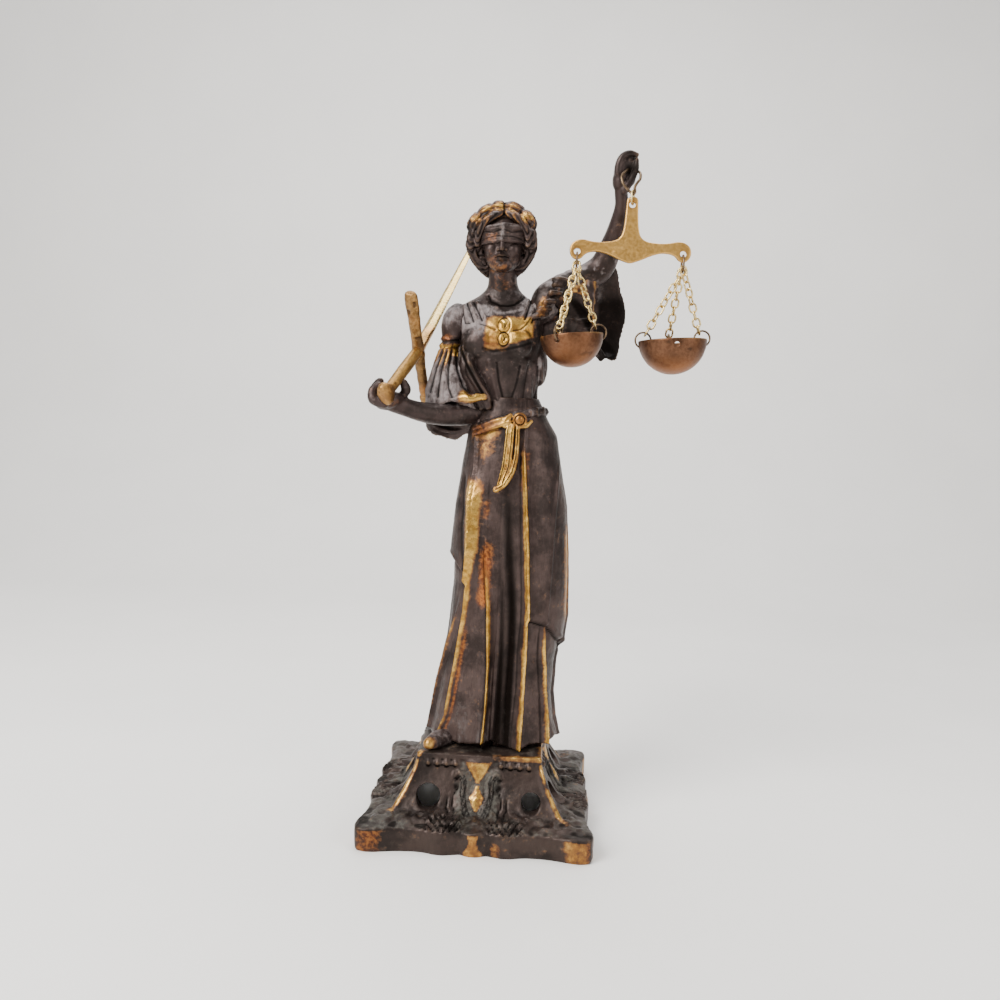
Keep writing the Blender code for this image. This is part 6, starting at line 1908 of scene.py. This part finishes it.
POMMEL_POINT = (-44.4, -31.0, 190.3)
GUARD_POINT = (-34.6, -8.0, 210.3)
BLADE_WAY = (0.224, 0.66, 0.70)
GUARD_WAY = (-0.05, -0.62, 0.78)


def sword_axes():
    way = Vector(BLADE_WAY).normalized()
    cross = Vector(GUARD_WAY).normalized()
    return way, cross, way.cross(cross).normalized()


def grip_shape():
    """Pommel and grip, from behind the pommel up to the guard."""
    start, end = place(POMMEL_POINT), place(GUARD_POINT)
    way = (end - start).normalized()
    side = way.cross(Vector((0, 0, 1))).normalized()
    rise = side.cross(way)
    reach = (end - start).length
    size = POMMEL_SIZE / 2
    grip = GRIP_DIAMETER / 2
    shape = Shape()
    rings = []
    profile = [(-0.50, 0.34, 0.54), (-0.48, 0.44, 0.70), (-0.42, 0.54, 0.84), (-0.30, 0.60, 0.93),
               (0.0, 0.64, 0.99), (0.30, 0.60, 0.93), (0.42, 0.54, 0.82), (0.52, 0.50, 0.66)]
    stations = [(share * POMMEL_LENGTH, wide * size, tall * size) for share, wide, tall in profile]
    for share in np.linspace(0.13, 1.0, 40):
        swell = grip * (1.0 - 0.10 * abs(2.0 * share - 1.1))
        stations.append((share * reach, swell, swell))
    for along, wide, tall in stations:
        rings.append(ellipse(start + way * along, side * wide, rise * tall, 48))
    shape.add_rings(rings)
    return shape


def guard_shape():
    middle = place(GUARD_POINT)
    way, cross, flat = sword_axes()
    shape = Shape()
    rings = []
    profile = ((-0.5, 0.62), (-0.485, 0.80), (-0.46, 0.88), (-0.38, 0.82), (-0.25, 0.84),
               (-0.10, 0.88), (-0.03, 1.08), (0.04, 1.06), (0.12, 0.92), (0.26, 0.98),
               (0.38, 1.06), (0.45, 1.10), (0.485, 0.98), (0.5, 0.72))
    for share, wide in smooth_path(profile, 5):
        half = wide * GUARD_WIDTH / 2
        rings.append(ellipse(middle + cross * GUARD_LENGTH * share, flat * half,
                             way * wide * GUARD_THICKNESS / 2, 40))
    shape.add_rings(rings)
    return shape


def blade_shape():
    middle = place(GUARD_POINT)
    way, cross, flat = sword_axes()
    shape = Shape()
    rings = []
    ricasso = RICASSO_LENGTH / BLADE_LENGTH
    for share in np.concatenate([np.linspace(0.0, ricasso, 14), np.linspace(
            ricasso + 0.004, 0.975, 110), np.linspace(0.98, 1.0, 8)]):
        taper = 1.0 - share * (1.0 - BLADE_TIP_WIDTH / BLADE_WIDTH)
        grow = float(soft(share, ricasso - 0.01, ricasso + 0.04))
        half = (RICASSO_WIDTH + grow * (BLADE_WIDTH * taper - RICASSO_WIDTH)) / 2
        thick = (RICASSO_THICKNESS + grow * (BLADE_THICKNESS * taper - RICASSO_THICKNESS)) / 2
        close = math.sqrt(max(0.06, 1.0 - max(0.0, (share - 0.965) / 0.036) ** 2))
        center = middle + way * BLADE_LENGTH * share
        square = 0.55 + 0.45 * grow
        ring = []
        for around in circle(32):
            aside, ahead = math.cos(around), math.sin(around)
            aside = math.copysign(abs(aside) ** square, aside)
            ahead = math.copysign(abs(ahead) ** (square + 0.5 * grow), ahead)
            ring.append(center + flat * half * close * aside + cross * thick * close * ahead)
        rings.append(ring)
    shape.add_rings(rings)
    return shape


def grip_relief(p, normals):
    pommel = bump(np.linalg.norm(p - POMMEL_POINT, axis=1), 6.0)
    lift = 0.10 * rough(p, 3.5, 101) + 0.05 * rough(p, 1.2, 104, 2)
    pits = soft(noise(p, 2.2, 107), 0.55, 0.75)
    lift -= 0.25 * pits
    return lift, {"dust_and_sheen": 0.35 * pits + 0.30 * pommel, "copper": 0.30 * pommel,
                  "brass": 0.45 * (1.0 - pommel)}


def guard_relief(p, normals):
    lift = 0.28 * rough(p, 4.0, 111) + 0.10 * rough(p, 1.3, 114, 2)
    pits = soft(noise(p, 2.6, 117), 0.50, 0.8)
    lift -= 0.35 * pits
    return lift, {"dust_and_sheen": 0.60 * pits + 0.55 * soft(noise(p, 9.0, 118), -0.6, 0.5),
                  "copper": 0.45 * soft(noise(p, 7.0, 119), 0.0, 0.6)}


def blade_relief(p, normals):
    way, _, _ = sword_axes()
    along = (p - GUARD_POINT) @ np.array(way)
    shank = 1.0 - soft(along, 13.5, 18.0)
    lift = 0.05 * rough(p, 3.0, 121) + 0.12 * shank * rough(p, 2.4, 124)
    fade = soft(along, 55.0, 85.0)
    return lift, {"dust_and_sheen": 0.12 + 0.50 * shank + 0.10 * fade, "copper": 0.5 * shank,
                  "brass": 0.35 * (1.0 - shank)}


# Scales

THUMB_WIRE = (
    (54.8, -12.2, 288.8), (52.6, -16.0, 287.6), (50.4, -18.2, 284.6), (51.0, -19.0, 281.4),
    (53.0, -19.2, 279.0), (54.4, -19.6, 277.6), (55.2, -20.2, 276.9), (56.0, -20.6, 277.6),
    (55.8, -20.8, 279.4), (56.6, -20.4, 281.2), (58.0, -19.0, 283.4), (58.2, -17.0, 286.0),
    (57.6, -14.2, 287.6), (56.6, -12.0, 287.8),
)


def hanger_path(steps=2):
    return [place(point) for point in smooth_path(THUMB_WIRE, steps)]


def metal_relief(p, normals):
    """The light unevenness of drawn or cast wire and plate."""
    lift = 0.03 * rough(p, 2.4, 131) + 0.015 * rough(p, 0.8, 134, 2) - 0.03
    return lift, {"dust_and_sheen": 0.5 * soft(noise(p, 3.0, 137), 0.2, 0.8)}


# Holes of the beam: across and height from its top hole
BEAM_HOLES = ((0.0, 0.0), (-BEAM_SPAN / 2, -BEAM_DROP), (BEAM_SPAN / 2, -BEAM_DROP))


def beam_shape():
    """The beam cut from plate, with rounded edges and worn faces."""
    hole, _, _ = beam_place()
    half = [(share * BEAM_SPAN / 2, drop * BEAM_DROP) for share, drop in BEAM_OUTLINE]
    outline = half + [(-across, height) for across, height in reversed(half[1:-1])]
    fine = np.array(smooth_path(outline[1:] + outline[:1], 4, closed=True))
    ahead = np.roll(fine, -1, axis=0) - np.roll(fine, 1, axis=0)
    out = np.stack([ahead[:, 1], -ahead[:, 0]], axis=1)
    out /= np.linalg.norm(out, axis=1)[:, None]
    shape = Shape()
    rings = []
    thick = BEAM_THICKNESS / 2
    for depth, inset in ((1.0, 0.45), (0.86, 0.16), (0.6, 0.02), (0.0, 0.0), (-0.6, 0.02),
                         (-0.86, 0.16), (-1.0, 0.45)):
        ring = fine + out * inset * MM
        rings.append([hole + Vector((across, depth * thick, height)) for across, height in ring])
    shape.add_rings(rings)
    return shape


def beam_mesh():
    mesh = skin("beam", beam_shape(), 0.28 * MM, 2)
    mesh = sculpt(mesh, beam_relief)
    hole, _, _ = beam_place()
    holes = Shape()
    for across, height in BEAM_HOLES:
        center = hole + Vector((across, 0.0, height))
        holes.add_rings([
            ellipse(center + Vector((0.0, depth * BEAM_THICKNESS, 0.0)),
                    Vector((BEAM_HOLE / 2, 0.0, 0.0)), Vector((0.0, 0.0, BEAM_HOLE / 2)), 32)
            for depth in (1.0, -1.0)
        ])
    return cut_away(mesh, holes.mesh("beam_holes"))


def beam_relief(p, normals):
    x, _, z = p.T
    hole, _, _ = beam_place()
    hole_x = hole.x / UNIT
    hole_z = (hole.z - PLATFORM_TOP) / UNIT + POSE_PLATFORM
    face = soft(np.abs(normals[:, 1]), 0.5, 0.9)
    lift = 0.10 * rough(p, 6.0, 141) + 0.03 * rough(p, 1.4, 144, 2)
    facet = line_distance(x, z, (
        (hole_x - 6.0, hole_z - 19.4), (hole_x + 0.5, hole_z - 18.0),
        (hole_x + 6.5, hole_z - 19.0)))[0]
    lift += 0.22 * face * bump(facet, 1.4)
    near = np.minimum.reduce([
        np.hypot(x - hole_x - across / UNIT, z - hole_z - height / UNIT)
        for across, height in BEAM_HOLES
    ])
    stain = soft(noise(p, 9.0, 147), -0.2, 0.6)
    return lift, {"dust_and_sheen": 0.6 * bump(near - 1.4, 0.8) + 0.25 * stain,
                  "copper": 0.25 * soft(noise(p, 12.0, 148), 0.0, 0.7)}


def wire_mesh(name, path, radius, closed=True, sides=20):
    shape = Shape()
    shape.add_tube(path, radius, sides, closed=closed)
    return sculpt(shape.mesh(name), metal_relief)


def pan_mesh(name, pan):
    """A thin bowl with a rounded rim and its bored holes."""
    shape = Shape()
    rings = []
    sides = 112

    def ring(wide, deep, polar):
        return [
            pan.at((wide * math.sin(polar) * math.cos(around),
                    wide * math.sin(polar) * math.sin(around), -deep * math.cos(polar)))
            for around in circle(sides)
        ]

    for polar in np.linspace(BOWL_PIT, math.pi / 2 - BOWL_RIM, 40):
        rings.append(ring(pan.wide / 2, pan.deep, polar))
    for share in (0.12, 0.5, 0.88):
        wide = pan.wide / 2 - PAN_WALL * share
        rings.append([
            pan.at((wide * math.cos(around), wide * math.sin(around),
                    -0.04 * MM * abs(share - 0.5) * 2))
            for around in circle(sides)
        ])
    for polar in np.linspace(math.pi / 2 - BOWL_RIM, BOWL_PIT, 40):
        rings.append(ring(pan.wide / 2 - PAN_WALL, pan.deep - PAN_WALL, polar))
    shape.add_rings(rings)
    mesh = sculpt(shape.mesh(name), pan_relief)
    holes = Shape()
    bearings = pan.bearings + ([math.radians(pan.spare)] if pan.spare is not None else [])
    for bearing in bearings:
        middle = pan.hole(bearing)
        out = toward(bearing)
        across = Vector((-math.sin(bearing), math.cos(bearing), 0.0))
        rings = []
        for reach in (-2.0 * PAN_WALL, 2.0 * PAN_WALL):
            rings.append([
                pan.at(middle + out * reach + across * PAN_HOLE / 2 * math.cos(around)
                       + Vector((0, 0, PAN_HOLE / 2 * math.sin(around))))
                for around in circle(28)
            ])
        holes.add_rings(rings)
    return cut_away(mesh, holes.mesh(name + "_holes"))


def pan_relief(p, normals):
    lift = 0.045 * rough(p, 5.0, 151) + 0.02 * rough(p, 1.4, 154, 2) - 0.06
    low = p[:, 2].min()
    glow = soft(-(p[:, 2] - low), -9.0, -1.0)
    pits = soft(noise(p, 2.4, 157), 0.62, 0.8)
    lift -= 0.06 * pits
    rim = soft(p[:, 2], p[:, 2].max() - 1.2, p[:, 2].max() - 0.2)
    return lift, {"copper": 0.45 * glow + 0.15 * soft(noise(p, 8.0, 158), 0.0, 0.6),
                  "brass": 0.3 * rim,
                  "dust_and_sheen": 0.6 * pits + 0.3 * soft(noise(p, 6.0, 159), 0.1, 0.6)}


def chain_mesh(name, pan, bearing):
    """Separate links from the beam's ring to a ring of the pan."""
    near, far, near_wire, far_wire = pan.chain_ends(bearing)
    span = far - near
    way = span.normalized()
    slack = 2 * CHAIN_SLACK
    pitch = (span.length + END_RING_WIRE / 2 + PAN_RING_WIRE / 2 + slack) / CHAIN_LINKS
    side = way.cross(Vector((0, 1, 0))).normalized()
    other = way.cross(side)
    start = near - way * (END_RING_WIRE / 2 + CHAIN_SLACK + CHAIN_WIRE / 2)
    first, last = (
        math.atan2(way.cross(wire).dot(other), way.cross(wire).dot(side))
        for wire in (near_wire, far_wire)
    )
    turns = CHAIN_LINKS - 1
    spare = (last - first - turns * math.pi / 2 + math.pi / 2) % math.pi - math.pi / 2
    links = Shape()
    for index in range(CHAIN_LINKS):
        middle = start + way * (pitch * (index + 0.5) + CHAIN_WIRE / 2)
        twist = first + index * (math.pi / 2 + spare / turns)
        across = side * math.cos(twist) + other * math.sin(twist)
        path = oval(middle, 0.5 * (pitch + CHAIN_WIRE - CHAIN_BITE),
                    0.5 * (CHAIN_WIDTH - CHAIN_WIRE), way, across, 36)
        links.add_tube(path, CHAIN_WIRE / 2, 14, closed=True)
    return sculpt(links.mesh(name), metal_relief)


def add_figure(dark, cloth):
    """The pieces of the figure, each melted into one skin with voxels of its own size."""
    add_piece("skirt", skirt_mesh(), cloth, ["figure"])
    for name, shape, relief, voxel in (
        ("torso", torso_shape, torso_relief, 0.46),
        ("sash", sash_shape, sash_relief, 0.28),
        ("right_sleeve", right_arm_shape, right_arm_relief, 0.48),
        ("right_hand", forearm_shape, forearm_relief, 0.44),
        ("left_sleeve", left_arm_shape, left_arm_relief, 0.56),
        ("left_hand", hand_shape, hand_relief, 0.44),
        ("face", face_shape, face_relief, 0.34),
        ("blindfold", band_shape, band_relief, 0.34),
        ("hair", hair_shape, hair_relief, 0.42),
        ("shoe", shoe_shape, shoe_relief, 0.3),
    ):
        mesh = sculpt(skin(name, shape(), voxel * MM), relief)
        add_piece(name, mesh, dark, ["figure"])


def shoe_shape():
    shape = Shape()
    points = ((-16, -14, 37.9, 4.0), (-20, -20, 38.2, 3.8), (-22.5, -24.3, 37.9, 2.7))
    add_curve(shape, points, 6, 20)
    return shape


def shoe_relief(p, normals):
    toe = bump(np.linalg.norm(p - (-22.8, -25.6, 38.6), axis=1), 3.0)
    lift = 0.10 * rough(p, 2.4, 161)
    floor = p[:, 2] + lift * normals[:, 2] < POSE_PLATFORM + FLOOR_GAP
    lift = np.where(floor, np.minimum(lift, 0.0), lift)
    return lift, {"brass": 0.9 * toe, "copper": 0.5 * toe, "dust_and_sheen": 0.5 * (1.0 - toe)}


def add_scales(brass, pale, copper, wire):
    hole, low, high = beam_place()
    add_piece("balance_plate", beam_mesh(), brass, ["balance_beam"])
    hanger = wire_mesh("hanger", hanger_path(6), 0.56 * HANGER_WIRE, closed=False)
    add_piece("hanger", hanger, wire, ["hanger_wire"])
    center = Vector((hole.x, hole.y, 0.5 * (low + high)))
    path = oval(center, 0.5 * (high - low), 0.5 * (LINK_WIDTH - LINK_WIRE),
                Vector((0, 0, 1)), LINK_WAY, 48)
    link = wire_mesh("top_link", path, LINK_WIRE / 2)
    add_piece("top_link", link, pale, ["beam_link"])
    pans = (
        ("left", Pan(-1, LEFT_PAN_DIAMETER, LEFT_PAN_DEPTH, LEFT_PAN_TILT, LEFT_PAN_SWING,
                     (0.0, 120.0, 240.0), (0.0, 42.0, -42.0), None)),
        ("right", Pan(1, RIGHT_PAN_DIAMETER, RIGHT_PAN_DEPTH, RIGHT_PAN_TILT, RIGHT_PAN_SWING,
                      (0.0, 90.0, 180.0), (-42.0, 42.0, 0.0), -90.0)),
    )
    for side, pan in pans:
        radius = pan.hook_radius
        path = oval(pan.hook_center, radius, radius, Vector((0, 0, 1)), Vector((0, 1, 0)), 48)
        ring = wire_mesh("end_ring", path, END_RING_WIRE / 2)
        add_piece("end_ring_" + side, ring, wire, ["beam_ring_" + side])
        bowl = pan_mesh("bowl_" + side, pan)
        add_piece("bowl_" + side, bowl, copper, ["pan_" + side])
        for number, bearing in enumerate(pan.bearings, 1):
            name = f"{side}_{number}"
            center, way, radius = pan.ring(bearing)
            out = toward(bearing)
            across = (out - way * out.dot(way)).normalized()
            path = [pan.at(point) for point in oval(center, radius, radius, way, across, 48)]
            ring = wire_mesh("rim_ring", path, 0.46 * PAN_RING_WIRE)
            add_piece("rim_ring_" + name, ring, wire, ["pan_ring_" + name])
            links = chain_mesh("links_" + name, pan, bearing)
            add_piece("links_" + name, links, pale, ["chain_" + name])


def add_sword(brass, pale):
    grip = sculpt(skin("grip", grip_shape(), 0.32 * MM), grip_relief)
    guard = sculpt(skin("guard", guard_shape(), 0.34 * MM), guard_relief)
    blade = sculpt(blade_shape().mesh("blade"), blade_relief)
    for name, mesh, material in (("grip", grip, brass), ("guard", guard, brass),
                                 ("blade", blade, pale)):
        add_piece("sword_" + name, mesh, material, ["sword"])


# Room

def plain(name, color, roughness, grain):
    n = Nodes(name)
    fine = n.noise(9.0, 4.0)
    darker = tuple(channel * (1.0 - grain) for channel in color)
    shade = n.mix(n.step(fine, 0.3, 0.7), darker, color)
    n.join(shade, n.shader.inputs["Base Color"])
    n.shader.inputs["Roughness"].default_value = roughness
    return n.material


def add_room():
    """A pale floor that sweeps up into a pale wall."""
    work = bmesh.new()
    profile = [(-1.2, 0.0), (0.45, 0.0)]
    for step in range(1, 13):
        angle = math.pi / 2 * step / 12
        profile.append((0.45 + 0.35 * math.sin(angle), 0.35 * (1.0 - math.cos(angle))))
    profile.append((0.80, 1.8))
    rows = [[work.verts.new((across, depth, height)) for across in (-1.6, 1.6)]
            for depth, height in profile]
    for low, high in zip(rows, rows[1:]):
        work.faces.new((low[0], low[1], high[1], high[0]))
    mesh = bpy.data.meshes.new("room")
    work.to_mesh(mesh)
    work.free()
    mesh.shade_smooth()
    mesh.materials.append(plain("pale_room", (0.86, 0.845, 0.82), 0.75, 0.03))
    room = bpy.data.objects.new("room", mesh)
    bpy.context.scene.collection.objects.link(room)


def add_light(name, place_at, aim, size, power, color):
    light = bpy.data.lights.new(name, "AREA")
    light.shape = "RECTANGLE"
    light.size, light.size_y = size
    light.energy = power
    light.color = color
    lamp = bpy.data.objects.new(name, light)
    way = (Vector(aim) - Vector(place_at)).normalized()
    turn = way.to_track_quat("-Z", "Y").to_matrix().to_4x4()
    lamp.matrix_world = Matrix.Translation(place_at) @ turn
    bpy.context.scene.collection.objects.link(lamp)


# Lights: name, place, size, power and colour; all of them aim at the middle of the figure
LIGHTS = (
    ("window", (-0.55, -0.55, 0.70), (0.50, 0.70), 17.0, (1.0, 0.98, 0.95)),
    ("fill", (0.80, -0.55, 0.45), (0.40, 0.70), 4.5, (1.0, 0.95, 0.90)),
    ("top", (0.05, 0.20, 0.95), (0.80, 0.50), 8.0, (1.0, 1.0, 1.0)),
)
AIM = (0.0, 0.0, 0.15)
SKY = (0.93, 0.94, 0.96)
SKY_STRENGTH = 0.55


def add_lights():
    for name, place_at, size, power, color in LIGHTS:
        add_light(name, place_at, AIM, size, power, color)
    world = bpy.data.worlds.new("pale_sky")
    world.use_nodes = True
    sky = world.node_tree.nodes["Background"]
    sky.inputs["Color"].default_value = (*SKY, 1.0)
    sky.inputs["Strength"].default_value = SKY_STRENGTH
    bpy.context.scene.world = world


# Camera: its eye from the middle of the foot, its turn to the left, its tilt upwards and its roll,
# and its lens
EYE = (23.436 * MM, -407.5606 * MM, 182.283 * MM)
TURN, TILT, ROLL = 2.78506, -5.29747, 2.16572
LENS = 32.4


def add_camera():
    camera = bpy.data.cameras.new("camera")
    camera.lens = LENS
    camera.sensor_width = 36.0
    camera.clip_start = 0.01
    seat = bpy.data.objects.new("camera", camera)
    seat.matrix_world = (
        Matrix.Translation(Vector(EYE) + SHIFT)
        @ Matrix.Rotation(math.radians(TURN), 4, "Z")
        @ Matrix.Rotation(math.radians(90.0 + TILT), 4, "X")
        @ Matrix.Rotation(math.radians(ROLL), 4, "Z")
    )
    bpy.context.scene.collection.objects.link(seat)
    bpy.context.scene.camera = seat


def main():
    dark = patina(
        "cast_patina", deep=(0.018, 0.012, 0.010), plain=(0.046, 0.030, 0.027),
        pale=(0.10, 0.071, 0.066), dust_and_sheen_tone=(0.33, 0.280, 0.275), dust_and_sheen_strength=0.82,
    )
    cloth = patina(
        "skirt_patina", deep=(0.020, 0.012, 0.010), plain=(0.060, 0.039, 0.034),
        pale=(0.098, 0.068, 0.062), dust_and_sheen_tone=(0.17, 0.150, 0.145), dust_and_sheen_strength=0.6, streaked=0.38,
    )
    foot = patina(
        "foot_patina", deep=(0.018, 0.012, 0.010), plain=(0.044, 0.029, 0.024),
        pale=(0.085, 0.066, 0.056), dust_and_sheen_tone=(0.125, 0.122, 0.100), dust_and_sheen_strength=0.75,
    )
    brass = bright_metal(
        "worn_brass", low=(0.53, 0.295, 0.075), high=(0.61, 0.360, 0.105),
        stain=(0.34, 0.17, 0.045), stained=0.25, gloss=0.38, pitted=0.15,
    )
    tan = bright_metal(
        "guard_brass", low=(0.19, 0.098, 0.032), high=(0.36, 0.205, 0.074),
        stain=(0.085, 0.045, 0.02), stained=0.55, gloss=0.42, pitted=0.5, depth=0.0004,
    )
    pale = bright_metal(
        "pale_brass", low=(0.58, 0.41, 0.15), high=(0.84, 0.67, 0.32),
        stain=(0.28, 0.165, 0.06), stained=0.25, gloss=0.26, pitted=0.2,
    )
    copper = bright_metal(
        "pan_copper", low=(0.095, 0.043, 0.023), high=(0.145, 0.070, 0.038),
        stain=(0.045, 0.024, 0.015), stained=0.30, gloss=0.42,
    )
    wire = bright_metal(
        "dark_wire", low=(0.10, 0.066, 0.040), high=(0.20, 0.135, 0.080),
        stain=(0.04, 0.026, 0.018), stained=0.5, gloss=0.36,
    )
    add_piece("cast_foot", foot_mesh(), foot, ["base"], 50)
    add_figure(dark, cloth)
    add_sword(tan, pale)
    add_scales(brass, pale, copper, wire)
    add_room()
    add_lights()
    add_camera()


main()
